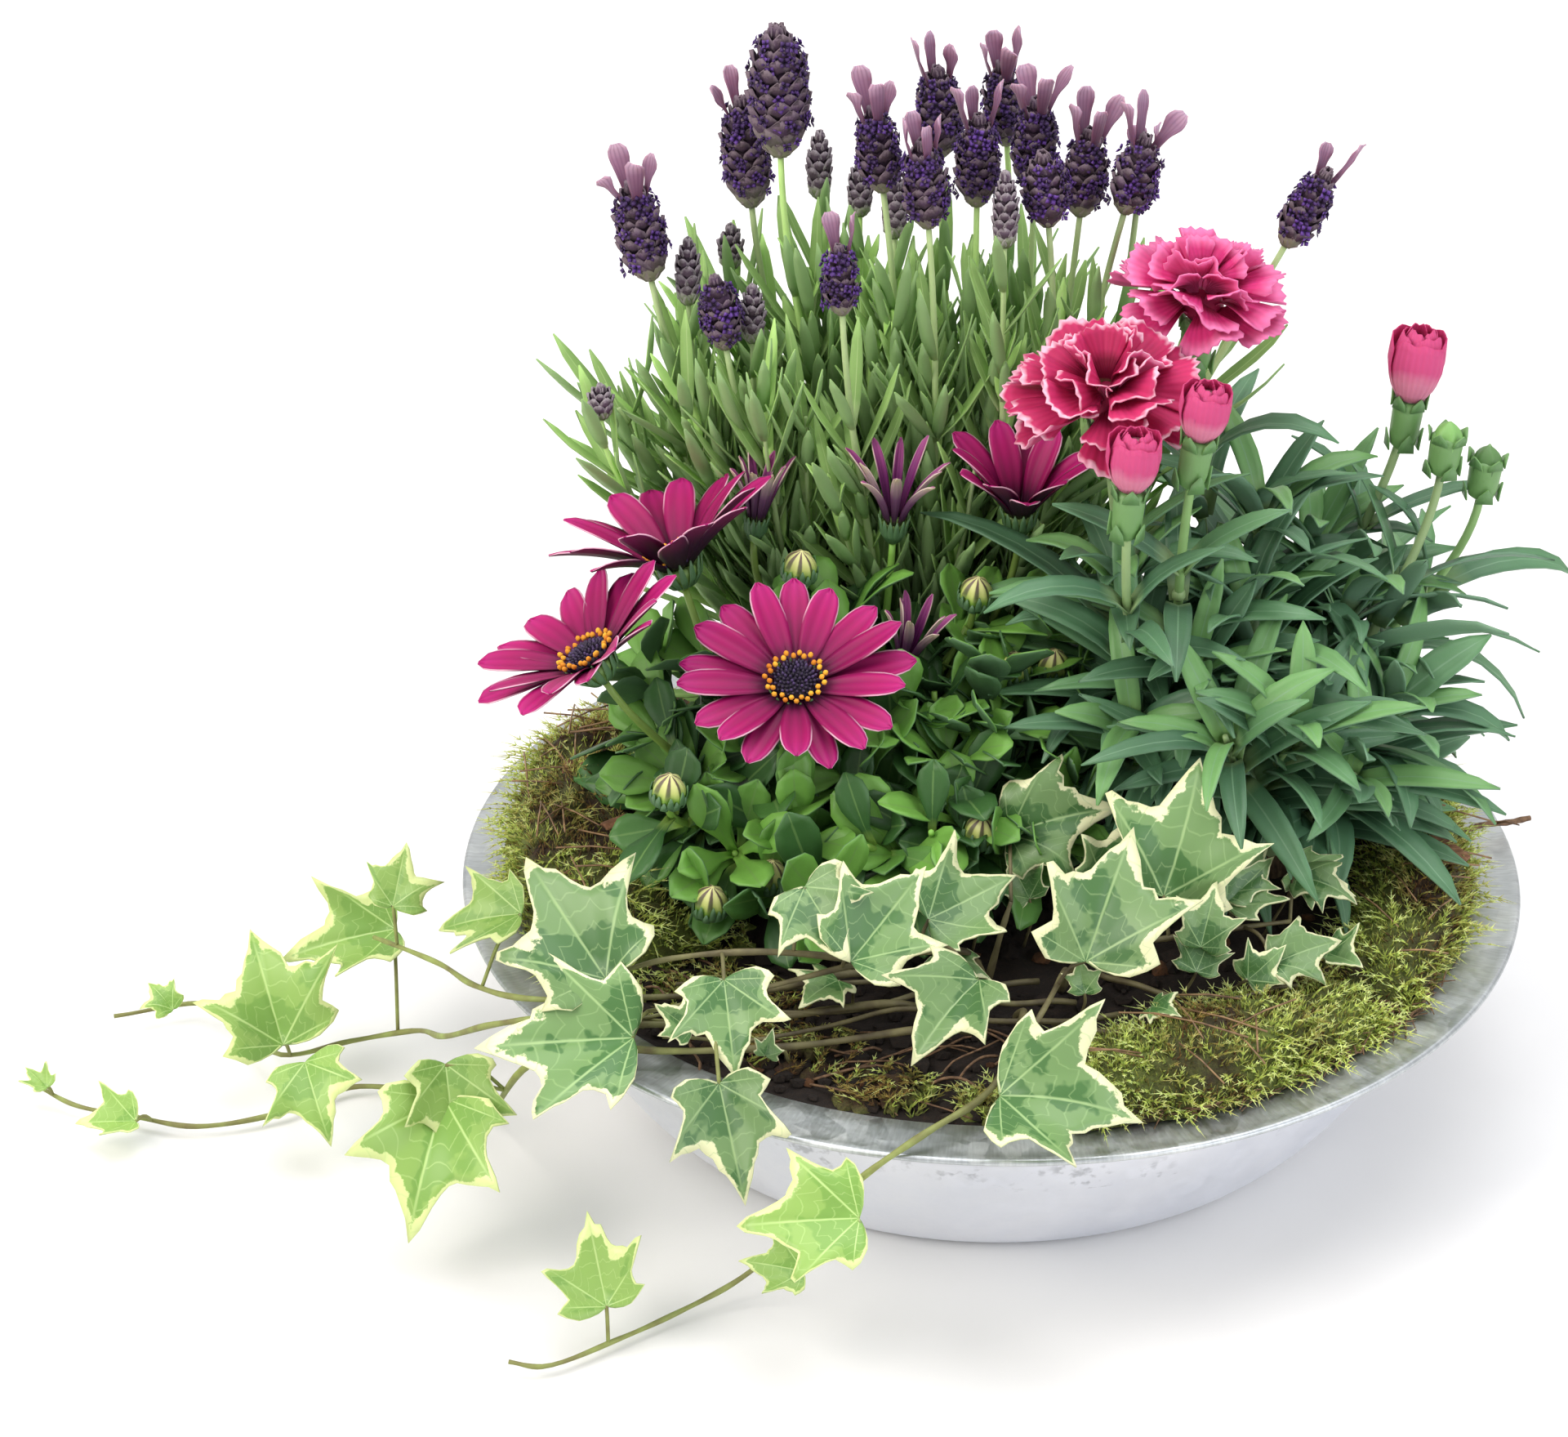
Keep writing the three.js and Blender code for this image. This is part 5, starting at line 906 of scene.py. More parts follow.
class Path:
    """A stem's course: it leaves the ground steeply, leans over and ends along its heading."""

    def __init__(self, start, stop, heading, sway=(0, 0)):
        height = stop[2] - start[2]
        lean = vec((stop[0] - start[0]) * 0.3 + sway[0], (stop[1] - start[1]) * 0.3 + sway[1], height)
        self.points = [start, start + lean * REACH, stop - unit(heading) * REACH * height, stop]

    def point(self, t):
        a, b, c, d = self.points
        return (1 - t) ** 3 * a + 3 * (1 - t) ** 2 * t * b + 3 * (1 - t) * t * t * c + t ** 3 * d

    def ahead(self, t):
        a, b, c, d = self.points
        return unit(3 * (1 - t) ** 2 * (b - a) + 6 * (1 - t) * t * (c - b) + 3 * t * t * (d - c))

    def length(self):
        spots = np.array([self.point(t) for t in np.linspace(0, 1, 60)])
        return np.linalg.norm(np.diff(spots, axis=0), axis=1).sum()

    def tube(self, build, thick, thin, rings, sides, stop=1.0, **marks):
        """A stem along the path, or along the first part of it, that tapers evenly."""
        course = [self.point(t) for t in np.linspace(0, stop, rings)]
        tube(build, course, np.linspace(thick, thin, rings), sides, **marks)


def square_to(ahead):
    first = unit(vec(1, 0, 0) - ahead[0] * ahead)
    return first, np.cross(ahead, first)


def spoke(angle, axes):
    """The way out at an angle between two directions that are square to each other."""
    return math.cos(angle) * axes[0] + math.sin(angle) * axes[1]


def stem_feet(spot, tips):
    """Stems start side by side round the root ball's top, in the order in which their tips lie."""
    bearings = [math.atan2(to[1] - spot[1], to[0] - spot[0]) for to in tips]
    order = sorted(range(len(tips)), key=lambda i: bearings[i])
    step = 2 * math.pi / len(tips)
    start = math.atan2(sum(math.sin(bearings[i] - k * step) for k, i in enumerate(order)),
                       sum(math.cos(bearings[i] - k * step) for k, i in enumerate(order)))
    feet = [None] * len(tips)
    for k, i in enumerate(order):
        radius = STUMP_RADIUS * (0.4 if k % 2 and len(tips) > 6 else 0.74)
        angle = start + k * step
        feet[i] = vec(spot[0] + radius * math.cos(angle), spot[1] + radius * math.sin(angle), STUMP_TOP - 5)
    return feet


def find_path(seat, foot, stem):
    """The sway that puts the stem inside its solid, or None where the solid has no such stem."""
    best, gap = None, SAME_SKIN
    for sway in SWAYS:
        path = Path(foot, vec(*stem["to"]), vec(*stem["heading"]), sway)
        widest = max(seat.skin_gap(path.point(t)) for t in (0.3, 0.5, 0.7, 0.9))
        if widest < gap:
            best, gap = path, widest
    return best


def blade_course(root, out, ahead, leaf, shares):
    """Where a leaf's middle runs, and its face and width directions, at shares of its length."""
    away = spoke(leaf["yaw"], (out, np.cross(ahead, out)))
    side = np.cross(ahead, away)
    bow = leaf["bend"] - leaf["rise"]
    course = []
    for s in shares:
        angle = leaf["rise"] + bow * s
        if abs(bow) < 1e-6:
            reach, climb = s * math.cos(leaf["rise"]), s * math.sin(leaf["rise"])
        else:
            reach = (math.sin(angle) - math.sin(leaf["rise"])) / bow
            climb = (math.cos(leaf["rise"]) - math.cos(angle)) / bow
        middle = root + away * leaf["length"] * reach + ahead * leaf["length"] * climb
        face = -away * math.sin(angle) + ahead * math.cos(angle)
        course.append((middle, face, spoke(leaf["twist"] * s, (side, face))))
    return [np.array(column) for column in zip(*course)]


def blade_points(course, aside, lift):
    """The grid of a leaf or petal: from its middle, each point goes so far aside and is lifted so much."""
    middle, face, wide = course
    return middle[:, None] + wide[:, None] * aside[..., None] + face[:, None] * lift[..., None]


def grow_leaf(build, root, out, ahead, leaf, kind, seed, young=False):
    stations, widths, fold, thickness, rows, columns = OUTLINE[kind]
    shares, places = np.linspace(0, 1, rows), np.linspace(-1, 1, columns)
    half = (np.interp(shares, stations, widths) * leaf["width"] / 2)[:, None]
    wave = 0.05 * leaf["width"] * np.sin(shares * 9 + 6 * draw(seed, 31))[:, None] * np.abs(places)
    lift = fold * half * (np.abs(places) - 0.55) + wave
    points = blade_points(blade_course(root, out, ahead, leaf, shares), half * places, lift)
    plate(build, points, thickness, along=shares[:, None], across=places,
          shade=0.85 if young else draw(seed, 32) * 0.8)


def leaf_sizes(kind, seed):
    sizes = {key: between(*span, seed, k + 1) for k, (key, span) in enumerate(LEAF[kind].items())}
    return {**sizes, "yaw": between(-0.22, 0.22, seed, 5), "twist": between(-0.5, 0.5, seed, 6)}


def whorl_roots(path, stem, at, turned):
    """The middles of a stem's sides round a whorl, and the way out of each."""
    half = BAND / path.length()
    sides = stem["sides"]
    rings = []
    for t in (at - half, at + half):
        axes = square_to(path.ahead(t))
        radius = stem["low"] + (stem["high"] - stem["low"]) * t
        rings.append([path.point(t) + radius * spoke(turned + 2 * math.pi * k / sides, axes)
                      for k in range(sides)])
    for f in range(sides):
        g = (f + 1) % sides
        root = (rings[0][f] + rings[0][g] + rings[1][g] + rings[1][f]) / 4
        yield f, root, spoke(turned + 2 * math.pi * (f + 0.5) / sides, axes), path.ahead(at + half)


def grow_stem(build, seat, path, stem, kind, seed):
    """The solid's own leaves, each where the solid has it, on a finer stem."""
    path.tube(build, stem["low"] * 0.92, stem["high"] * 0.92, 26, 8, along=0.0, shade=draw(seed, 33))
    for w, at in enumerate(stem["whorls"]):
        turned = (w % 2) * math.pi / 3 if stem["sides"] == 3 else 0
        for side, root, out, ahead in whorl_roots(path, stem, at, turned):
            if stem["sides"] == 4 and side % 2 != w % 2:
                continue
            leaf_seed = seed + w * 4 + side
            sizes = leaf_sizes(kind, leaf_seed)
            if "tune" in stem:
                sizes.update(stem["tune"](sizes, at))
            for aside, share in LEAF_TRIES:
                leaf = {**sizes, "yaw": sizes["yaw"] + aside, "length": sizes["length"] * share}
                tip = blade_course(root, out, ahead, leaf, [1.0])[0][0]
                if seat.corner_gap(tip) < SAME_CORNER:
                    grow_leaf(build, root, out, ahead, leaf, kind, leaf_seed)
                    break


def extra_leaves(build, path, stem, kind, seed, spots, shrink, lift=0.0, pairs=2, young=False):
    """Smaller leaves between the solid's, in pairs that turn a quarter each time."""
    for w, at in enumerate(spots):
        ahead = path.ahead(at)
        axes = square_to(ahead)
        share = shrink * (1 - 0.35 * at)
        for k in range(pairs):
            angle = w * math.pi / 2 + 2 * math.pi * k / pairs + between(-0.4, 0.4, seed + w, 41 + k)
            out = spoke(angle, axes)
            sizes = leaf_sizes(kind, seed + 400 + w * 4 + k)
            leaf = {**sizes, "length": sizes["length"] * share, "rise": sizes["rise"] + lift,
                    "width": sizes["width"] * (0.55 + 0.4 * share), "bend": sizes["bend"] + lift * 0.5}
            root = path.point(at) + out * (stem["low"] * 0.6)
            course = blade_course(root, out, ahead, leaf, [0.5, 1.0])[0]
            free = all(np.linalg.norm(spot - vec(*flower)) > reach
                       for spot in course for flower, reach in FLOWER_ROOM)
            if free and course[1][2] > SOIL_CROWN + 3:
                grow_leaf(build, root, out, ahead, leaf, kind, seed + 500 + w * 4 + k, young)


def low_shoots(build, kind, spot):
    """Short outer shoots that lean out low at the back and the sides, and hide the stems' feet."""
    x, y = STUMPS[kind][spot]
    first, count, spots, shrink = LOW_SHOOTS[kind]
    seed = first + 500 * spot
    for k in range(count):
        bearing = math.radians(-25 + 230 * (k + between(0.2, 0.8, seed, k)) / count)
        reach = between(20, 38, seed, 20 + k)
        tip = vec(x + reach * math.cos(bearing), y + reach * math.sin(bearing),
                  SOIL_CROWN + between(14, 34, seed, 40 + k))
        if math.hypot(tip[0], tip[1]) < 112:
            path = Path(vec(x, y, STUMP_TOP - 4), tip, tip - vec(x, y, SOIL_CROWN))
            path.tube(build, 1.2, 0.6, 12, 6, along=0.0, shade=0.3)
            extra_leaves(build, path, dict(low=1.2), kind, seed + 60 * k, spots, shrink, 0.1)


def spread(count, centre, semi):
    """Places that fill an oval evenly, with their shares of the way to its edge."""
    places = []
    for i in range(count):
        angle, share = i * GOLDEN_TURN, math.sqrt(draw(i, 17))
        places.append((centre[0] + semi[0] * share * math.cos(angle),
                       centre[1] + semi[1] * share * math.sin(angle), share))
    return places


def nearest_spot(kind, centre, x, y):
    """The stump nearest to a place that is pulled in to the plant's middle."""
    px, py = (middle + (place - middle) * 0.45 for middle, place in zip(centre, (x, y)))
    gaps = [math.hypot(sx - px, sy - py) for sx, sy in STUMPS[kind]]
    return gaps.index(min(gaps))


def below(at, heading, gap=0.4):
    return vec(*at) - unit(vec(*heading)) * gap


def shoot(kind, spot, to, sides, whorls, **more):
    """A leafy stem without a flower, that leans out from its stump."""
    x, y = STUMPS[kind][spot]
    heading = (to[0] - x, to[1] - y, (to[2] - STUMP_TOP) * 1.2)
    return dict(to=to, heading=heading, low=1.5, high=0.9, sides=sides, whorls=whorls, sort="shoot", **more)


def lavender_stems(spot):
    stems = []
    for head in HEADS:
        if head["spot"] == spot:
            heading = vec(*head["top"]) - vec(*head["base"])
            stems.append(dict(to=below(head["base"], heading), heading=heading, low=1.4, high=0.95, sides=3,
                              whorls=[0.38, 0.62], sort="stalk"))
    for to, length, where in LAVENDER_BUDS:
        if where == spot:
            stems.append(dict(to=to, heading=(0, 0, 1), low=1.3, high=0.8, sides=4, whorls=[0.4, 0.62],
                              sort="bud", bud=(3.6, length)))
    for x, y, share in spread(LAVENDER_SOLID_SHOOTS, LAVENDER_CENTRE, (74, 40)):
        if nearest_spot("lavender", LAVENDER_CENTRE, x, y) == spot:
            to = (x, y, 216 - 30 * share ** 2 + between(-14, 6, math.floor(x + 0.5), 5))
            stems.append(shoot("lavender", spot, to, 3, [0.35, 0.56, 0.76, 0.95]))
    return stems


def leaf_material(name, stem, root, tip, young, under, vein, roughness, vein_width=0.09, mottle=0.25):
    """A leaf from its stem's colour to its tip's, with a pale rib. Some leaves are younger and fresher than
    the rest. Light shines a little through all of them, and their undersides are duller."""
    material, add, shader = new_material(name)
    where = add("TexCoord", output="Object")
    along, across, shade, side = (add("Attribute", attribute_name=label, output="Fac")
                                  for label in Build.MARKS)
    cloud = add("TexNoise", {"Vector": where, "Scale": 1 / (7 * MM)})
    fine = add("TexNoise", {"Vector": where, "Scale": 1 / (1.2 * MM)})
    top = add("ValToRGB", {0: along}, stops=[(0.0, stem), (0.06, stem), (0.25, root), (1.0, tip)])
    freshness = add("MapRange", {0: shade, 1: 0.55, 2: 1.0})
    top = add("Mix", {0: freshness, 6: top, 7: young}, 2, data_type="RGBA")
    light = add("Math", {0: shade, 1: mottle * 2, 2: 0.88 - mottle}, operation="MULTIPLY_ADD")
    light = add("Math", {0: cloud, 1: 0.24, 2: light}, operation="MULTIPLY_ADD")
    top = add("HueSaturation", {"Value": light, "Color": top})
    middle = add("Math", {0: across}, operation="ABSOLUTE")
    rib = add("MapRange", {0: middle, 1: vein_width * 0.4, 2: vein_width, 3: 1.0, 4: 0.0})
    on_blade = add("MapRange", {0: along, 1: 0.02, 2: 0.1, 4: 0.55})
    rib = add("Math", {0: rib, 1: on_blade}, operation="MULTIPLY")
    top = add("Mix", {0: rib, 6: top, 7: vein}, 2, data_type="RGBA")
    off_stem = add("MapRange", {0: along, 2: 0.12})
    low = add("Mix", {0: off_stem, 6: stem, 7: under}, 2, data_type="RGBA")
    fill(shader, {
        "Base Color": add("Mix", {0: side, 6: low, 7: top}, 2, data_type="RGBA"),
        "Roughness": roughness,
        "Subsurface Weight": 0.1,
        "Subsurface Radius": (0.5, 1.0, 0.2),
        "Subsurface Scale": 1.2 * MM,
        "Normal": add("Bump", {"Height": fine, "Strength": 0.35, "Distance": 0.2 * MM}),
    })
    return material


def wool_material(name, low, high, edge, edge_strength, foot):
    """Scales of one colour at the foot of a spike and another at its top. Matt wool pales their edges."""
    material, add, shader = new_material(name)
    where = add("TexCoord", output="Object")
    along, across, shade = (add("Attribute", attribute_name=label, output="Fac") for label in Build.MARKS[:3])
    wool = add("TexNoise", {"Vector": where, "Scale": 1 / (0.6 * MM), "Detail": 3.0})
    broad = add("TexNoise", {"Vector": where, "Scale": 1 / (4 * MM)})
    broad = add("MapRange", {0: broad, 1: 0.35, 2: 0.65})
    at_foot = add("MapRange", {0: shade, 2: 0.14, 3: 0.85, 4: 0.0})
    tone = add("Mix", {0: broad, 6: low, 7: high}, 2, data_type="RGBA")
    tone = add("Mix", {0: at_foot, 6: tone, 7: foot}, 2, data_type="RGBA")
    rim = add("Math", {0: across}, operation="ABSOLUTE")
    rim = add("Math", {0: rim, 1: along}, operation="MAXIMUM")
    rim = add("Math", {0: wool, 1: 0.5, 2: rim}, operation="MULTIPLY_ADD")
    rim = add("MapRange", {0: rim, 1: 0.85, 2: 1.2, 4: edge_strength})
    fill(shader, {
        "Base Color": add("Mix", {0: rim, 6: tone, 7: edge}, 2, data_type="RGBA"),
        "Roughness": 0.85,
        "Normal": add("Bump", {"Height": wool, "Strength": 0.6, "Distance": 0.3 * MM}),
    })
    return material


# Fine down makes the lavender's leaves matt and a little grey. Its closed buds are grey-violet wool.
lavender_leaf = leaf_material("downy_lavender_leaf", "#b3ca8e", "#7fa258", "#98be6b", "#b0d87a", "#8dae72",
                              "#b4cc8c", 0.6, mottle=0.2)
woolly_bud = wool_material("woolly_lavender_bud", "#483944", "#584558", "#a9a0a4", 0.7, "#77865e")

# The stems' feet are old cracked wood, brown and dry, where they leave the root ball.
woody_foot, add, shader = new_material("woody_stem_foot")
where = add("Mapping", {"Vector": add("TexCoord", output="Object"), "Scale": (1, 1, 0.25)})
fissures = add("TexNoise", {"Vector": where, "Scale": 1 / (1.2 * MM), "Detail": 4.0})
fill(shader, {
    "Base Color": add("ValToRGB", {0: fissures}, stops=[(0.3, "#33271a"), (0.55, "#5f4d36"),
                                                        (0.75, "#857558")]),
    "Roughness": 0.9,
    "Normal": add("Bump", {"Height": fissures, "Strength": 0.7, "Distance": 0.5 * MM}),
})
feet_wood = Build()


def scale_cone(build, base, top, radii, rows, a_ring, size, seed, opening=0.25):
    """Rounded scales that overlap upwards round a spike, each a small cupped plate with a point."""
    axis = unit(top - base)
    axes = square_to(axis)
    height = np.linalg.norm(top - base)
    for level in range(rows + 1):
        t = 0.96 * level / rows
        radius = np.interp(t, *radii)
        count = a_ring if t < 0.85 else 5
        stand = (0.34 + opening) * (1 - 1.2 * max(t - 0.6, 0) / 0.4)
        for k in range(count):
            out = spoke(2 * math.pi * (k + 0.5 * (level % 2)) / count + between(-0.1, 0.1, seed + level, k),
                        axes)
            side = np.cross(axis, out)
            grow = size * between(0.85, 1.2, seed + level, 20 + k) * (1 - 0.35 * t)
            root = base + axis * height * t + out * radius * 0.72
            points = []
            for s, half in ((0.0, 0.28), (0.35, 0.62), (0.7, 0.53), (1.0, 0.07)):
                rise = root + axis * grow * 1.15 * s + out * grow * stand * math.sin(s * 1.5)
                points.append([rise + side * grow * half * c - out * grow * 0.22 * c * c for c in (-1, 0, 1)])
            plate(build, np.array(points), 0.35, along=[[0.0], [0.35], [0.7], [1.0]],
                  across=[-1.0, 0.0, 1.0], shade=t)


def spindle(build, base, axis, length, radius, shape, sides, **marks):
    """A straight round body: its shape lists shares of its length with shares of its radius."""
    tube(build, [base + axis * length * t for t, _ in shape], [radius * r for _, r in shape], sides, **marks)


def grow_clump(kind, spot, stems, dress, side_shoots=None):
    """One group of stems on its stump. Low and slender shoots come first, then the solid's own stems,
    each dressed with what it carries. Gives its name, its green mesh and the mesh of its buds."""
    name, (x, y) = f"{kind}_stems_{spot + 1}", STUMPS[kind][spot]
    seat, green, buds, paths = Seat(name), Build(), Build(), []
    tube(green, [vec(x, y, STUMP_BOTTOM), vec(x, y, STUMP_TOP - 2), vec(x, y, STUMP_TOP + 1)],
         [6.8, 6.4, 3.5], 14, along=0.0)
    low_shoots(green, kind, spot)
    if side_shoots:
        side_shoots(green, spot)
    for n, (foot, stem) in enumerate(zip(stem_feet((x, y), [stem["to"] for stem in stems]), stems)):
        path = find_path(seat, foot, stem)
        if path is not None:
            seed = STEM_DRAWS[kind] + 1000 * spot + 50 * n
            grow_stem(green, seat, path, stem, kind, seed)
            dress(green, buds, path, stem, seed)
            paths.append(path)
    # Bark covers the lowest part of each stem and a knobbly crown over the root ball.
    tube(feet_wood, [vec(x, y, STUMP_BOTTOM), vec(x, y, STUMP_TOP - 4), vec(x, y, STUMP_TOP)],
         [7.2, 6.9, 3.5], 12)
    for path in paths:
        path.tube(feet_wood, 2.1, 1.5, 6, 7, stop=0.14)
    return name, green, buds


def shoot_foot(kind, spot, n):
    return vec(*STUMPS[kind][spot], STUMP_TOP - 3) + [between(-4, 4, n, 56), between(-4, 4, n, 57), 0]


def lavender_side_shoots(green, spot):
    """Slender side shoots fill the clump between the stems of the solid."""
    places = spread(LAVENDER_SHOOTS, LAVENDER_CENTRE, (72, 38))[LAVENDER_SOLID_SHOOTS:]
    for n, (x, y, share) in enumerate(places):
        if nearest_spot("lavender", LAVENDER_CENTRE, x, y) == spot:
            foot = shoot_foot("lavender", spot, n)
            tip = vec(x, y, 212 - 34 * share ** 2 + between(-26, 6, n, 55))
            path, stem = Path(foot, tip, vec(tip[0] - foot[0], tip[1] - foot[1], 150)), dict(low=1.1)
            path.tube(green, 1.1, 0.6, 16, 6, along=0.0, shade=draw(n, 58))
            extra_leaves(green, path, stem, "lavender", 14000 + 60 * n, np.arange(0.25, 1.0, 0.1), 1.25, 0.25)
            extra_leaves(green, path, stem, "lavender", 15000 + 60 * n, np.arange(0.5, 0.99, 0.12), 0.8, 0.4,
                         young=True)


def dress_lavender(green, buds, path, stem, seed):
    """Pairs of leaves up the stem, small tufts in the angles between them, and the scales of a bud."""
    spots = np.arange(0.1, 0.78 if stem["sort"] == "stalk" else 0.96, 0.075)
    extra_leaves(green, path, stem, "lavender", seed, spots, 1.15, 0.25)
    extra_leaves(green, path, stem, "lavender", seed + 90, spots[1:-2] + 0.02, 0.6, 0.4, young=True)
    if "bud" in stem:
        radius, length = stem["bud"]
        base, up = vec(*stem["to"]), vec(0, 0, 1)
        radii = ([0, 0.2, 0.5, 0.8, 1], [radius * r for r in (0.7, 1.0, 1.05, 0.8, 0.3)])
        scale_cone(buds, base, base + up * length, radii, max(4, int(length / 2.6)), 6, 3.6, seed, 0.05)
        spindle(buds, base, up, length, radius, [(0, 0.45), (0.45, 0.8), (0.97, 0.3)], 8, along=0.3)


for spot in range(len(STUMPS["lavender"])):
    name, green, buds = grow_clump("lavender", spot, lavender_stems(spot), dress_lavender,
                                   lavender_side_shoots)
    green.piece(f"{name}_green", lavender_leaf, "lavender_leaf", [name])
    if buds.count:
        buds.piece(f"{name}_buds", woolly_bud, "lavender_flower")


# Lavender heads
# Sixteen square spikes of dark aubergine scales in rows, with small violet flowers between them. On top
# of most stand two to four mauve bracts like petals, veined and a little wavy.

HEAD_RADII = ([0, 0.14, 0.42, 0.7, 0.9, 1.0], [0.42, 0.92, 1.0, 0.92, 0.6, 0.25])
HEAD_CORE = [(0.01, 0.35), (0.15, 0.72), (0.45, 0.78), (0.75, 0.7), (0.97, 0.25)]
BRACT = dict(length=15, width=4.9, rise=1.2, bend=1.5, yaw=0)
BRACT_WIDTHS = ([0, 0.3, 0.55, 0.75, 0.9, 0.97, 1], [0.5, 0.55, 0.78, 1.0, 1.0, 0.8, 0.55])
FLORETS_ROUND = 8

# The scales are dark and woolly: matt, with grey edges that draw each one.
dark_scale = wool_material("aubergine_scale", "#413039", "#48304c", "#88777f", 0.6, "#85856a")

# The tiny flowers are deep blue-violet inside and paler at their tips. Some, picked at random, are painted
# lighter violet as painted highlights, so a head sparkles with them.
floret_violet, add, shader = new_material("violet_floret")
along, shade = (add("Attribute", attribute_name=label, output="Fac") for label in ("along", "shade"))
dark = add("ValToRGB", {0: along}, stops=[(0.0, "#170822"), (0.5, "#2d1245"), (1.0, "#432062")])
bright = add("ValToRGB", {0: along}, stops=[(0.0, "#2a1140"), (0.5, "#4c247c"), (1.0, "#7449a6")])
fill(shader, {
    "Base Color": add("Mix", {0: add("MapRange", {0: shade, 1: 0.45, 2: 1.0}), 6: dark, 7: bright}, 2,
                      data_type="RGBA"),
    "Roughness": 0.6,
})

# The bracts are thin as paper. Light comes through them, paler at their tips, and dark veins run up them.
mauve_bract, add, shader = new_material("mauve_bract")
along, across = (add("Attribute", attribute_name=label, output="Fac") for label in ("along", "across"))
wave = add("Math", {0: add("Math", {0: across, 1: 7.0}, operation="MULTIPLY")}, operation="SINE")
line = add("Math", {0: add("Math", {0: wave}, operation="ABSOLUTE"), 1: 4.0}, operation="POWER")
mauve = add("ValToRGB", {0: along}, stops=[(0.0, "#452840"), (0.35, "#68445f"), (0.75, "#89647f"),
                                           (1.0, "#b395aa")])
veined = add("Math", {0: line, 1: 0.4}, operation="MULTIPLY")
fill(shader, {
    "Base Color": add("Mix", {0: veined, 6: mauve, 7: "#5d3557"}, 2, data_type="RGBA"),
    "Roughness": 0.55,
    "Subsurface Weight": 0.25,
    "Subsurface Scale": 1.5 * MM,
})


def floret(build, root, out, size, seed):
    """A tiny flower: four pointed lobes round its mouth, each a thin lozenge."""
    axes, ahead = square_to(out), out * size
    centre = root + ahead * 0.8
    faces = [(0, 4, 1), (1, 4, 3), (3, 4, 2), (2, 4, 0), (0, 1, 5), (1, 3, 5), (3, 2, 5), (2, 0, 5)]
    for k in range(4):
        lobe = spoke(2 * math.pi * k / 4 + draw(seed, 3), axes) * size
        beside = unit(np.cross(out, lobe)) * size * 0.42
        middle = centre + lobe * 0.5
        corners = [centre - ahead * 0.3, middle - beside, middle + beside, centre + lobe + ahead * 0.1,
                   middle + ahead * 0.12, middle - ahead * 0.16]
        build.add(corners, faces, along=np.array([0, 0.6, 0.6, 1, 0.6, 0.6]), shade=draw(seed, 5))


for number, head in enumerate(HEADS):
    name, seed, radius = f"lavender_head_{number + 1:02d}", 500 + number, head["radius"]
    base, top = vec(*head["base"]), vec(*head["top"])
    axis, height = unit(top - base), np.linalg.norm(top - base)
    axes = square_to(axis)
    radii = (HEAD_RADII[0], [r * radius for r in HEAD_RADII[1]])
    scales, florets, bracts = Build(), Build(), Build()
    spindle(scales, base, axis, height, radius, HEAD_CORE, 10, along=0.2)
    levels = max(5, int(height / 3.1))
    scale_cone(scales, base, top, radii, levels, 8, 4.4 * radius / 6, seed * 7, 0.3)
    # Florets stand out in upright rows, thickest on the two sides, and leave the scales bare between.
    for level in range(1, 2 * levels):
        t = 0.12 + 0.4 * level / levels
        for k in range(FLORETS_ROUND):
            if draw(seed * 3 + level, 80 + k) >= (0.62 if k % 4 == 1 else 0.3):
                angle = 2 * math.pi * (k + 0.5 * (level % 2)) / FLORETS_ROUND - 0.8
                out = spoke(angle + between(-0.2, 0.2, seed + level, 70 + k), axes)
                out = unit(out + between(-0.1, 0.6, level, k) * axis)
                stand = np.interp(t, *radii) * between(0.85, 1.02, seed, level + 9 * k)
                root = base + axis * height * t + out * stand
                floret(florets, root, out, between(1.4, 2.1, seed + level, 90 + k), seed * 40 + level * 8 + k)
    sides = 10 if radius > 8 else 8
    shares, places = np.linspace(0, 1, 12), np.linspace(-1, 1, 7)
    for f in range(0, 2 * head["bracts"], 2):
        out = spoke(2 * math.pi * (f + 0.5) / sides, axes)
        root = base + axis * height * 0.82 + out * radius * 0.456
        blade = {**BRACT, "length": BRACT["length"] * between(0.75, 1.15, seed, f),
                 "twist": between(-0.9, 0.9, seed, f + 2),
                 "bend": BRACT["bend"] + between(-0.6, 0.2, seed, f + 3)}
        half = (np.interp(shares, *BRACT_WIDTHS) * BRACT["width"] * between(0.4, 0.6, seed, f + 4))[:, None]
        frill = (1.1 * np.sin(shares * 11 + f) * np.maximum(shares - 0.3, 0))[:, None]
        lift = frill * places * np.abs(places) + 0.25 * half * places ** 2
        points = blade_points(blade_course(root, out, axis, blade, shares), half * places, lift)
        plate(bracts, points, 0.35, along=shares[:, None], across=places, shade=draw(seed, f + 8))
    scales.piece(f"{name}_spike", dark_scale, "lavender_flower", [name])
    florets.piece(f"{name}_florets", floret_violet, "lavender_flower")
    if bracts.count:
        bracts.piece(f"{name}_bracts", mauve_bract, "lavender_flower")


# African daisy stems
# Three groups of leafy stems. The leaves are spoon shaped and a little fleshy, bright green and
# slightly toothed. Green striped buds sit on short stalks among them.

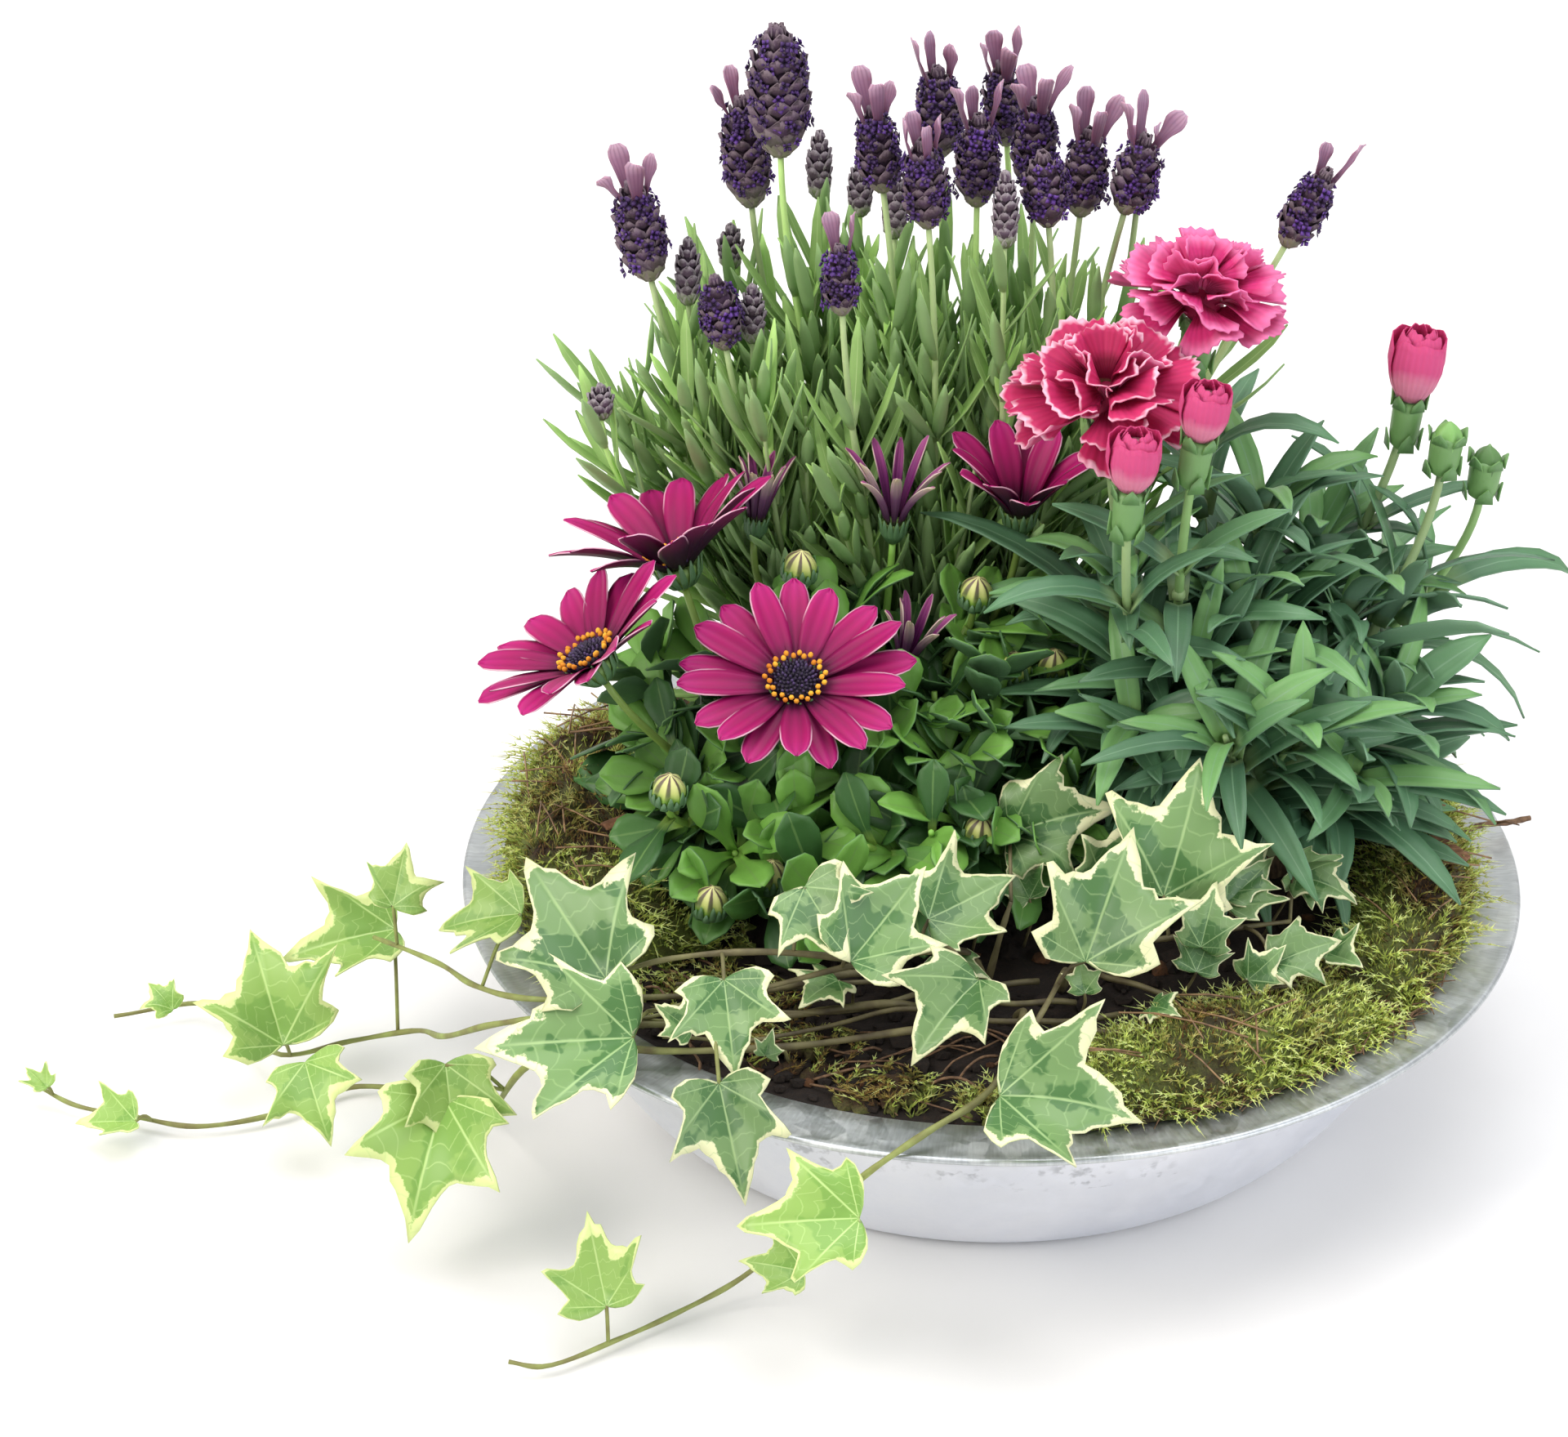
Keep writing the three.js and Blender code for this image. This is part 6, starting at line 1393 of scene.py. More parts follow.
DAISIES = [
    dict(name="daisy_front", at=(-54, -30, 136), facing=(0, -0.44, 0.9), rays=18, hub=7, length=26, width=8.4,
         rise=16, bend=12, disc=True, spot=0),
    dict(name="daisy_back", at=(-89, 9, 152), facing=(-0.3, 0.15, 0.94), rays=16, hub=7, length=29, width=8.8,
         rise=42, bend=24, disc=True, spot=0),
    dict(name="daisy_left", at=(-110, -30, 142), facing=(-0.5, 0, 0.87), rays=16, hub=7, length=26, width=8.8,
         rise=26, bend=14, disc=True, spot=0),
    dict(name="daisy_half_open", at=(6, 30, 160), facing=(0, -0.1, 1), rays=11, hub=5, length=25, width=8,
         rise=62, bend=34, disc=False, spot=1),
    dict(name="daisy_closed_middle", at=(-29, 25, 159), facing=(0.05, -0.1, 1), rays=10, hub=4, length=23,
         width=3.6, rise=72, bend=50, disc=False, spot=1),
    dict(name="daisy_closed_left", at=(-68, 34, 154), facing=(0.1, -0.1, 1), rays=8, hub=3.4, length=20,
         width=3.4, rise=80, bend=66, disc=False, spot=1),
    dict(name="daisy_closed_low", at=(-25, 6, 124), facing=(0.25, -0.1, 1), rays=8, hub=3.4, length=20,
         width=3.4, rise=78, bend=62, disc=False, spot=1),
]
DAISY_BUDS = [
    ((-88, -48, 108), 0), ((-76, -60, 80), 2), ((-55, 8, 148), 1), ((5, 0, 122), 2), ((16, 6, 120), 2),
    ((-6, 12, 139), 1), ((-38, -38, 100), 2), ((-3, -46, 96), 2), ((-60, -52, 84), 0), ((-119, 24, 138), 0),
]
DAISY_CENTRE = (-38, -14)
HUB_DEPTH = 8
# Where the low leafy shoots end, for each group in turn.
DAISY_FILL = [
    (-84, -22, 98), (-24, -16, 118), (2, -16, 114), (-70, -44, 90), (-44, 14, 132), (18, -14, 100),
    (-92, -6, 104), (-8, 12, 132), (-8, -38, 98), (-64, -22, 108), (10, 14, 128), (-24, -46, 92),
    (-78, 8, 118), (-12, -10, 112), (12, -34, 92), (-52, -44, 96), (24, 2, 112), (-36, -28, 106),
    (-96, 14, 112), (-44, 4, 122), (0, -2, 122), (-44, -60, 84), (22, -22, 88), (-12, -24, 108),
]


def tilt_leaf(rise, bend, length):
    """Leaves near a stem's tip stand up more and are shorter."""
    def tune(sizes, at):
        if at <= 0.8:
            return {}
        return dict(rise=sizes["rise"] + rise, bend=sizes["bend"] + bend, length=sizes["length"] * length)
    return tune


def stalk_leaf(sizes, at):
    return dict(rise=sizes["rise"] + at * 0.5, length=24)


def daisy_stems(spot):
    stems = []
    for daisy in DAISIES:
        if daisy["spot"] == spot:
            foot = below(below(daisy["at"], daisy["facing"], HUB_DEPTH), daisy["facing"])
            stems.append(dict(to=foot, heading=daisy["facing"], low=1.6, high=1.1, sides=4, sort="stalk",
                              whorls=[0.3] if daisy["disc"] else [], tune=stalk_leaf))
    for to, where in DAISY_BUDS:
        if where == spot:
            stems.append(dict(to=to, heading=(0.1, -0.2, 1), low=1.4, high=1, sides=4, whorls=[0.55],
                              sort="bud"))
    for x, y, share in spread(12, DAISY_CENTRE, (54, 44)):
        if nearest_spot("daisy", DAISY_CENTRE, x, y) == spot:
            to = (x, y, 124 - 30 * share ** 2 + between(-8, 8, math.floor(x + 0.5), 3))
            stems.append(shoot("daisy", spot, to, 3, [0.62, 0.92], tune=tilt_leaf(0.35, 0.35, 0.85)))
    return stems


# Daisy leaves are fleshy and a little glossy, dark green with bright young tips.
daisy_leaf = leaf_material("spoon_daisy_leaf", "#86a44c", "#315a29", "#3f6c31", "#78ac47", "#52744f",
                           "#729652", 0.48, vein_width=0.08)

# A bud's bracts are pale yellow-green with dark stripes, which show where one lies over the next.
striped_bud, add, shader = new_material("striped_daisy_bud")
along, across = (add("Attribute", attribute_name=label, output="Fac") for label in ("along", "across"))
wave = add("Math", {0: add("Math", {0: across, 1: 2 * math.pi * 7}, operation="MULTIPLY")}, operation="SINE")
upper = add("MapRange", {0: along, 1: 0.4, 2: 0.6})
stripe = add("Math", {0: add("MapRange", {0: wave, 1: 0.1, 2: 0.7}), 1: upper}, operation="MULTIPLY")
pale = add("ValToRGB", {0: along}, stops=[(0.0, "#5f9036"), (0.45, "#7da63f"), (0.65, "#c3cc74"),
                                          (1.0, "#dbd895")])
dark = add("ValToRGB", {0: along}, stops=[(0.0, "#4f8034"), (0.6, "#66703f"), (1.0, "#6b4a50")])
fill(shader, {
    "Base Color": add("Mix", {0: stripe, 6: pale, 7: dark}, 2, data_type="RGBA"),
    "Roughness": 0.5,
})


def ribbed_bud(build, base, axis, radius, length, ribs, seed):
    """An egg of bracts pressed together, ribbed along their edges."""
    shares, angles = np.linspace(0, 1, 12), 2 * math.pi * np.arange(ribs * 4) / (ribs * 4)
    spokes = np.array([spoke(angle, square_to(axis)) for angle in angles])
    profile = np.interp(shares, [0, 0.08, 0.25, 0.5, 0.78, 0.94, 1],
                        [0.28, 0.7, 0.95, 1, 0.75, 0.35, 0.1]) * radius
    ridge = 1 + 0.09 * np.cos(angles * ribs)
    wide = (profile[:, None] * ridge)[..., None] * spokes
    rings = (base + axis * (length * shares)[:, None])[:, None] + wide
    build.grid(rings, closed=True, along=shares[:, None], across=angles / (2 * math.pi), shade=draw(seed, 3))
    for ring, row in ((rings[0], 0), (rings[-1], 1)):
        build.add(ring, [list(range(len(ring)))[:: 1 if row else -1]], along=float(row), shade=draw(seed, 3))


def bract(build, base, axis, out, outline, columns=(-1, 0, 1), **marks):
    """A small green plate beside an axis, from heights, distances from the axis and half widths."""
    side = np.cross(axis, out)
    rows = [[base + axis * z + out * reach + side * half * c for c in columns] for z, reach, half in outline]
    plate(build, np.array(rows), 0.4, along=0.6, **marks)


def daisy_side_shoots(green, spot):
    """Low leafy shoots fill the clump between the stems of the solid."""
    x, y = STUMPS["daisy"][spot]
    for n, tip in enumerate(DAISY_FILL[spot::3]):
        path = Path(shoot_foot("daisy", spot, n), vec(*tip), vec(tip[0] - x, tip[1] - y, 60))
        path.tube(green, 1.5, 0.9, 14, 7, along=0.0, shade=draw(n, 58))
        first, stem = 21000 + 60 * n + spot, dict(low=1.5)
        extra_leaves(green, path, stem, "daisy", first, np.arange(0.36, 0.9, 0.15), 1.35, 0.15)
        extra_leaves(green, path, stem, "daisy", first + 1000, [0.93, 0.975], 1.2, 0.4, pairs=3, young=True)


def dress_daisy(green, buds, path, stem, seed):
    """Pairs of leaves up the stem, and a striped bud that two rings of narrow bracts hold."""
    spots = np.arange(0.15, 0.6 if stem["sort"] == "stalk" else 0.98, 0.14)
    extra_leaves(green, path, stem, "daisy", seed, spots, 0.95, 0.1)
    if stem["sort"] == "bud":
        axis = unit(vec(*stem["heading"]))
        base = vec(*stem["to"]) - axis * 0.5
        ribbed_bud(buds, base, axis, 4.6, 10.5, 7, seed)
        for k in range(18):
            grow = between(5.6, 7.4, seed, 60 + k) - (1.6 if k % 2 else 0)
            outline = [(0, 2.6, 0.8), (0.35 * grow, 4.9, 1.0), (0.75 * grow, 5.1, 0.75), (grow, 4.9, 0.15)]
            out = spoke(2 * math.pi * k / 18, square_to(axis))
            bract(green, base, axis, out, outline, (-1, 1), across=0.3, shade=0.9 * draw(seed, 80 + k))


for spot in range(len(STUMPS["daisy"])):
    name, green, buds = grow_clump("daisy", spot, daisy_stems(spot), dress_daisy, daisy_side_shoots)
    green.piece(f"{name}_green", daisy_leaf, "daisy_leaf", [name])
    if buds.count:
        buds.piece(f"{name}_buds", striped_bud, "daisy_leaf")


# African daisy flowers
# Rings of magenta rays in two layers, grooved and pale edged, with dark plum undersides. The dark disc
# has a ring of orange anthers. Closed flowers are rays rolled up to a point.

RAY_WIDTHS = ([0, 0.1, 0.3, 0.55, 0.8, 0.92, 0.98, 1], [0.4, 0.5, 0.78, 1.0, 0.94, 0.68, 0.34, 0.1])
# A small button, as shares of its height and of its radius.
KNOB = [(0.0, 0.75), (0.3, 1.0), (0.75, 0.8), (1.0, 0.25)]
DISC_FLORETS = 90
ANTHERS = 30


def ray_material(name, tops, lows, edge_tone, edge_strength):
    """A satin petal with shallow grooves along it and a fine pale edge, and its own colours underneath."""
    material, add, shader = new_material(name)
    along, across, shade, side = (add("Attribute", attribute_name=label, output="Fac")
                                  for label in Build.MARKS)
    wave = add("Math", {0: add("Math", {0: across, 1: 9.0, 2: 1.57}, operation="MULTIPLY_ADD")},
               operation="SINE")
    top = add("ValToRGB", {0: along}, stops=tops)
    low = add("ValToRGB", {0: along}, stops=lows)
    tone = add("Mix", {0: side, 6: low, 7: top}, 2, data_type="RGBA")
    # Painted shade and light: the colour is darker in the grooves' hollows and lighter on their ridges.
    light = add("Math", {0: wave, 1: 0.08, 2: 0.94}, operation="MULTIPLY_ADD")
    light = add("Math", {0: shade, 1: 0.16, 2: light}, operation="MULTIPLY_ADD")
    tone = add("HueSaturation", {"Value": light, "Color": tone})
    middle = add("Math", {0: across}, operation="ABSOLUTE")
    edge_line = add("MapRange", {0: middle, 1: 0.9, 2: 0.985, 4: edge_strength})
    outer = add("MapRange", {0: along, 1: 0.5, 2: 0.7})
    edge_line = add("Math", {0: edge_line, 1: outer}, operation="MULTIPLY")
    fill(shader, {
        "Base Color": add("Mix", {0: edge_line, 6: tone, 7: edge_tone}, 2, data_type="RGBA"),
        "Roughness": 0.5,
        "Specular IOR Level": 0.25,
        "Subsurface Weight": 0.08,
        "Subsurface Scale": 1.2 * MM,
        "Normal": add("Bump", {"Height": wave, "Strength": 0.3, "Distance": 0.25 * MM}),
    })
    return material


# Open rays glow magenta round a dark eye. Rolled ones mostly show their greyed mauve backs.
open_ray = ray_material("magenta_ray",
                        [(0.0, "#1c0716"), (0.14, "#43092d"), (0.32, "#7d0b49"), (0.7, "#9c0f5a"),
                         (1.0, "#ac1c6e")],
                        [(0.0, "#3c4526"), (0.08, "#1e0a1a"), (0.45, "#310e2b"), (1.0, "#6b1c4b")],
                        "#eebfd2", 0.85)
rolled_ray = ray_material("rolled_ray", [(0.0, "#2c0d27"), (0.5, "#6a2460"), (1.0, "#a8528c")],
                          [(0.0, "#4d5530"), (0.12, "#3a1a3a"), (0.45, "#6d4468"), (0.8, "#b49a9c"),
                           (1.0, "#d9cba6")], "#e6d6c4", 0.7)

# The disc's florets are matt and nearly black, with a painted blue-violet sheen on the lightest.
disc_floret, add, shader = new_material("dark_disc_floret")
shade = add("Attribute", attribute_name="shade", output="Fac")
fill(shader, {
    "Base Color": add("ValToRGB", {0: shade}, stops=[(0.0, "#1c1226"), (0.6, "#2f2140"), (1.0, "#4d3a66")]),
    "Roughness": 0.6,
})

# Pollen is a matt orange powder that makes the ring stand out from the dark disc.
anther, add, shader = new_material("orange_anther")
shade = add("Attribute", attribute_name="shade", output="Fac")
fill(shader, {
    "Base Color": add("ValToRGB", {0: shade}, stops=[(0.0, "#d07a14"), (1.0, "#f2b634")]),
    "Roughness": 0.8,
})

for number, daisy in enumerate(DAISIES):
    name, hub, count, seed = daisy["name"], daisy["hub"], daisy["rays"], 700 + 30 * number
    at, axis = vec(*daisy["at"]), unit(vec(*daisy["facing"]))
    axes = square_to(axis)
    rolled = not daisy["disc"] and count < 11
    rays, calyx, disc, pollen = Build(), Build(), Build(), Build()
    shares, places = np.linspace(0, 1, 13), np.linspace(-1, 1, 7)
    for i in range(count):
        rims = ((at - axis * HUB_DEPTH * 0.22, hub * 0.9), (at, hub))
        corners = [middle + radius * spoke(2 * math.pi * k / count, axes)
                   for middle, radius in rims for k in (i, i + 1)]
        out = spoke(2 * math.pi * (i + 0.5) / count, axes)
        layer = 4 if i % 2 else -4
        ray = dict(length=daisy["length"] * between(0.9, 1.05, seed + i, 1) + hub * 0.25,
                   yaw=between(-0.07, 0.07, seed + i, 5), twist=between(-0.4, 0.4, seed + i, 4),
                   rise=math.radians(daisy["rise"] + layer + between(-3, 3, seed + i, 2)),
                   bend=math.radians(daisy["bend"] + layer + between(-9, 9, seed + i, 3)))
        root = sum(corners) / 4 - out * hub * 0.25
        half = (np.interp(shares, *RAY_WIDTHS) * daisy["width"] * (0.56 if rolled else 0.53))[:, None]
        groove = 0.16 * np.cos(places * 9) + 0.22 * half * places ** 2 * (2.4 if rolled else 1)
        course = blade_course(root, out, axis, ray, shares)
        points = blade_points(course, half * places * (0.75 if rolled else 1), groove)
        plate(rays, points, 0.35, along=shares[:, None], across=places, shade=draw(seed, i + 40))
    cup = [(-HUB_DEPTH, 1.3), (-HUB_DEPTH * 0.75, 0.62 * hub), (-HUB_DEPTH * 0.4, 0.86 * hub),
           (-1.2, 0.9 * hub)]
    spindle(calyx, at, axis, 1, 1, cup, 20, along=0.1, shade=0.5)
    for k in range(14):
        outline = [(-7, 0.5 * hub, 0.7), (-4, 0.9 * hub, 1.0), (-1, hub, 0.7), (1.2, 1.1 * hub, 0.15)]
        bract(calyx, at, axis, spoke(2 * math.pi * k / 14, axes), outline, across=0.0,
              shade=draw(seed, 90 + k))
    if daisy["disc"]:
        spindle(disc, at, axis, 1, hub, [(0.2, 0.86), (1.6, 0.84), (2.6, 0.6), (2.9, 0.2)], 24, shade=0.0)
        for k in range(DISC_FLORETS):
            share, out = math.sqrt((k + 0.5) / DISC_FLORETS), spoke(k * GOLDEN_TURN, axes)
            root = at + axis * (1.5 + 1.4 * math.sqrt(1 - share ** 2)) + out * hub * 0.8 * share
            spindle(disc, root, unit(axis + out * share * 0.7), 1.4, 0.5, KNOB, 5, shade=draw(seed, 200 + k))
        # The outer florets are open: each holds up a crumb of pollen.
        for k in range(ANTHERS):
            out = spoke(2 * math.pi * k / ANTHERS + between(-0.06, 0.06, seed, 260 + k), axes)
            root = at + axis * 1.2 + out * hub * (1.02 if k % 2 else 0.86)
            stand = unit(axis + out * 0.5)
            tube(disc, [root, root + stand * 1.7], 0.28, 5, shade=0.9)
            crumb = root + stand * between(1.3, 2.1, seed, 300 + k)
            spindle(pollen, crumb, stand, 1.5, 0.78, KNOB, 6, shade=draw(seed, 340 + k))
        disc.piece(f"{name}_disc_florets", disc_floret, "daisy_disc", [f"{name}_disc"])
        pollen.piece(f"{name}_anthers", anther, "daisy_disc")
    rays.piece(f"{name}_petals", rolled_ray if rolled else open_ray, "daisy_ray", [f"{name}_rays"])
    calyx.piece(f"{name}_calyx", daisy_leaf, "daisy_leaf")


# Carnation stems
# Three groups of stiff stems with swollen pale nodes. The leaves are narrow straps, blue-green with a
# waxy bloom, in pairs that clasp the stem and arch outwards. Green tubes hold the flowers and buds.

CARNATIONS = [
    dict(name="carnation_upper", at=(54, 38, 216), facing=(0.05, -0.05, 1), scale=1, spot=1),
    dict(name="carnation_lower", at=(29, 3, 201), facing=(-0.06, -0.16, 1), scale=1.12, spot=0),
]
PINK_BUDS = [
    dict(name="carnation_bud_low", at=(35, -31, 198), top=(36, -32, 214), radius=7, spot=0),
    dict(name="carnation_bud_middle", at=(53, -22, 209), top=(55, -23, 224), radius=6.6, spot=0),
    dict(name="carnation_bud_right", at=(114, 45, 190), top=(116, 45, 210), radius=7.6, spot=1),
]
GREEN_BUDS = [((123, 34, 172), 2), ((135, 40, 162), 1)]
CARNATION_SHOOTS = [
    ((34, 4, 160), 0), ((55, -12, 138), 0), ((38, -22, 122), 0), ((73, 30, 168), 1), ((89, 40, 153), 1),
    ((68, 4, 150), 2), ((99, 25, 138), 2), ((110, 0, 118), 2), ((83, -30, 128), 2), ((63, -36, 126), 2),
    ((100, -20, 106), 2),
]
# A swollen node, as places along the stem and shares of its radius, and a green tube, as shares of its
# length and of its radius.
STEM_NODE = [(-1.8, 0.9), (-0.6, 1.35), (0.8, 1.3), (2.0, 0.9)]
GREEN_TUBE = [(0, 0.45), (0.1, 0.82), (0.3, 0.95), (0.7, 1.0), (0.95, 1.0), (1.0, 0.8)]


def carnation_stems(spot):
    flowering = dict(low=1.7, high=1.3, sides=4, whorls=[0.3, 0.62], sort="stalk")
    stems = []
    for flower in CARNATIONS:
        if flower["spot"] == spot:
            stems.append(dict(flowering, to=below(flower["at"], flower["facing"]), heading=flower["facing"],
                              calyx=(3.8, 16)))
    for pink in PINK_BUDS:
        if pink["spot"] == spot:
            heading = vec(*pink["top"]) - vec(*pink["at"])
            stems.append(dict(flowering, to=below(pink["at"], heading), heading=heading, calyx=(3.6, 15)))
    for to, where in GREEN_BUDS:
        if where == spot:
            stems.append(dict(flowering, to=to, heading=(0.1, 0, 1), bud=(5.4, 17)))
    for to, where in CARNATION_SHOOTS:
        if where == spot:
            stems.append(shoot("carnation", spot, to, 4, [0.45, 0.68, 0.9], tune=tilt_leaf(0.3, 0.7, 0.6)))
    return stems


# A thin wax makes the leaves blue-green and even. The calyxes are smoother, fresher and a little glossy.
carnation_leaf = leaf_material("waxy_carnation_leaf", "#99b27c", "#466f50", "#5a855e", "#709e56", "#709377",
                               "#7a9f7c", 0.5, vein_width=0.08, mottle=0.22)
green_calyx = leaf_material("green_calyx", "#64884a", "#557f45", "#6b9756", "#74a158", "#648c56", "#779f62",
                            0.45)


def pod(build, base, axis, radius, length, seed):
    """A green tube with five pointed teeth, and four short scales at its foot."""
    spindle(build, base, axis, length, radius, GREEN_TUBE, 20, along=0.5, shade=0.5)
    for count, start, grow, stand in ((5, 0.86, 0.3, 1.02), (4, 0.02, 0.4, 1.0)):
        outline = [(length * (start + grow * s), radius * (stand + 0.25 * s * s), radius * 0.55 * half)
                   for s, half in ((0, 1), (0.5, 0.8), (1, 0.06))]
        for k in range(count):
            out = spoke(2 * math.pi * k / count + draw(seed, 8), square_to(axis))
            bract(build, base, axis, out, outline, across=0.0, shade=draw(seed, 9 + k))


def dress_carnation(green, pods, path, stem, seed):
    """Pairs of leaves up the stem, fresh ones at a shoot's tip, the green tubes, and the swollen nodes."""
    spots = np.arange(0.12, 0.75 if stem["sort"] == "stalk" else 0.97, 0.095)
    extra_leaves(green, path, stem, "carnation", seed, spots, 0.9, 0.15)
    if stem["sort"] == "shoot":
        extra_leaves(green, path, stem, "carnation", seed + 77, [0.88, 0.95], 0.8, 0.3, young=True)
    axis, tip = unit(vec(*stem["heading"])), vec(*stem["to"])
    if "calyx" in stem:
        radius, length = stem["calyx"]
        pod(pods, tip - axis * length, axis, radius * 1.2, length, seed)
    if "bud" in stem:
        radius, length = stem["bud"]
        pod(pods, tip, axis, radius * 0.85, length * 0.72, seed)
        ribbed_bud(pods, tip + axis * length * 0.3, axis, radius * 0.8, length * 0.66, 5, seed)
    for at in stem["whorls"]:
        radius = stem["low"] + (stem["high"] - stem["low"]) * at
        spindle(green, path.point(at), path.ahead(at), 1, radius, STEM_NODE, 10, along=0.02, shade=0.6)


for spot in range(len(STUMPS["carnation"])):
    name, green, pods = grow_clump("carnation", spot, carnation_stems(spot), dress_carnation)
    green.piece(f"{name}_green", carnation_leaf, "carnation_leaf", [name])
    if pods.count:
        pods.piece(f"{name}_calyxes", green_calyx, "carnation_leaf")

# Every stem now stands on its wooden foot, so the feet of all three plants are one piece.
feet_wood.piece("woody_stem_feet", woody_foot, "twig")


# Carnation flowers and buds
# Two double flowers of fringed petals, pink at the top one and crimson with pale edges at the lower
# one, and three pink buds whose petals are still rolled together.

# Each ring of six petals: its height, radius and length, how far its claws and its blades rise in
# degrees, and its turn. The solids have every second ring.
FRILL_LAYERS = [(1.5, 3.4, 23, 34, -6, 0), (3.2, 3.3, 22, 44, 6, 30), (5, 3.2, 21, 54, 18, 30),
                (6.8, 2.9, 17, 66, 32, 0), (8.5, 2.4, 14, 76, 52, 20)]
OWN_LAYERS = (0, 2, 4)
CLAW = 0.25


def petal_material(name, deep, body, pale, edge_start, under):
    """A soft petal with no gloss: a dark streak up from its claw, fine veins and a paler fringe. Light
    shines through it."""
    material, add, shader = new_material(name)
    where = add("TexCoord", output="Object")
    along, across, shade, side = (add("Attribute", attribute_name=label, output="Fac")
                                  for label in Build.MARKS)
    uneven = add("TexNoise", {"Vector": where, "Scale": 1 / (5 * MM)})
    reach = add("Math", {0: along, 1: 0.12}, operation="SUBTRACT")
    reach = add("Math", {0: uneven, 1: 0.24, 2: reach}, operation="MULTIPLY_ADD")
    tone = add("ValToRGB", {0: reach}, stops=[(0.0, "#b8c489"), (0.12, deep), (0.42, deep), (0.62, body),
                                              (edge_start, body), (1.0, pale)])
    wave = add("Math", {0: add("Math", {0: across, 1: 30.0}, operation="MULTIPLY")}, operation="SINE")
    light = add("Math", {0: wave, 1: 0.05, 2: 0.88}, operation="MULTIPLY_ADD")
    light = add("Math", {0: shade, 1: 0.2, 2: light}, operation="MULTIPLY_ADD")
    tone = add("HueSaturation", {"Value": light, "Color": tone})
    back = add("Mix", {0: 0.65, 6: tone, 7: under}, 2, data_type="RGBA")
    fill(shader, {
        "Base Color": add("Mix", {0: side, 6: back, 7: tone}, 2, data_type="RGBA"),
        "Roughness": 0.6,
        "Specular IOR Level": 0.25,
        "Subsurface Weight": 0.1,
        "Subsurface Scale": 1.2 * MM,
        "Normal": add("Bump", {"Height": wave, "Strength": 0.3, "Distance": 0.2 * MM}),
    })
    return material


# The upper flower is clear pink, the lower one crimson with a pale fringe. Buds are deepest at the tip.
pink_petal = petal_material("pink_petal", "#8c0c3e", "#cd3478", "#e87cac", 0.74, "#d85c94")
crimson_petal = petal_material("crimson_petal", "#820a36", "#ba2a5e", "#ebb6c8", 0.94, "#d05888")
rolled_petal = petal_material("rolled_petal", "#d9a8b4", "#c23a70", "#a81c55", 0.85, "#cc5283")


def frilled_petal(build, root, claw, heading, across, facing, reach, opening, scale, seed):
    """A broad fan on a narrow claw. It rolls and waves gently, and its edge is finely toothed."""
    shares, columns = np.linspace(0, 1, 10), 17
    fan = np.radians(np.linspace(-opening, opening, columns))
    aside = np.sin(fan) / math.sin(fan[-1])
    spokes = heading * np.cos(fan)[:, None] + across * np.sin(fan)[:, None]
    uneven = np.array([draw(seed, k) for k in range(columns)])
    teeth = 1 + 0.035 * np.where(np.arange(columns) % 2, 1, -1) + 0.05 * uneven
    roll, cup = between(-0.5, 0.9, seed, 53), between(-0.4, 0.5, seed, 54)
    broad = np.sin(fan * between(4.2, 6.2, seed, 55) + 6 * draw(seed, 50))
    waves = broad + 0.3 * np.sin(fan * 13 + 6 * draw(seed, 51))
    grid = []
    for s in shares:
        if s < CLAW:
            half = (1.0 + 1.2 * s / CLAW) * scale * aside
            grid.append(root + (claw - root) * s / CLAW + across * half[:, None])
            continue
        grow = (s - CLAW) / (1 - CLAW)
        # A rounded fan: its corners are held back.
        far = reach * grow * (1 - 0.12 * (fan / fan[-1]) ** 4) * (teeth if s == 1 else 1)
        lift = scale * (1.7 * grow ** 1.5 * waves - 3.4 * roll * grow ** 2
                        + 2.6 * cup * grow * (fan / fan[-1]) ** 2)
        grid.append(claw + across * (2.2 * scale * aside * (1 - grow))[:, None] + spokes * far[:, None]
                    + facing * lift[:, None])
    plate(build, np.array(grid), 0.4, along=shares[:, None], across=np.linspace(-1, 1, columns),
          shade=draw(seed, 52))


for number, flower in enumerate(CARNATIONS):
    seed, scale = 900 + 40 * number, flower["scale"]
    at, axis = vec(*flower["at"]), unit(vec(*flower["facing"]))
    axes = square_to(axis)
    bloom = Build()
    spindle(bloom, at, axis, scale, 1, [(0.2, 2.6), (2, 4.4), (4.5, 6.6), (8, 5.4), (11, 1.5)], 16, along=0.3)
    for k, (height, radius, length, rise, bend, turned) in enumerate(FRILL_LAYERS):
        own, inner = k in OWN_LAYERS, k > 2
        for i in range(6):
            pick = seed + 10 * (OWN_LAYERS.index(k) if own else 40 + k) + i
            angle = math.radians(turned + (0 if own else 30)) + 2 * math.pi * (i + 0.5) / 6
            # The inner petals stand in no order.
            out = spoke(angle + between(-0.14, 0.14, pick, 5) * (3 if inner else 1), axes)
            side, tilt = np.cross(axis, out), between(-0.45, 0.45, pick, 4) * (1.8 if inner else 1)
            reach = length * scale * between(0.92, 1.05, pick, 1)
            low = math.radians(rise + between(-3, 3, pick, 2))
            high = math.radians(bend + between(-5, 5, pick, 3))
            root = at + axis * (height * scale + 0.7) + out * radius * scale * 0.8
            claw = root + spoke(low, (out, axis)) * reach * 0.3
            upright = spoke(high, (axis, -out))
            frilled_petal(bloom, root, claw, spoke(high, (out, axis)), spoke(tilt, (side, upright)),
                          spoke(tilt, (upright, -side)), reach * 0.74, 46 if inner else 37, scale, pick)
    bloom.piece(f"{flower['name']}_petals", (pink_petal, crimson_petal)[number], "carnation_petal",
                [flower["name"]])

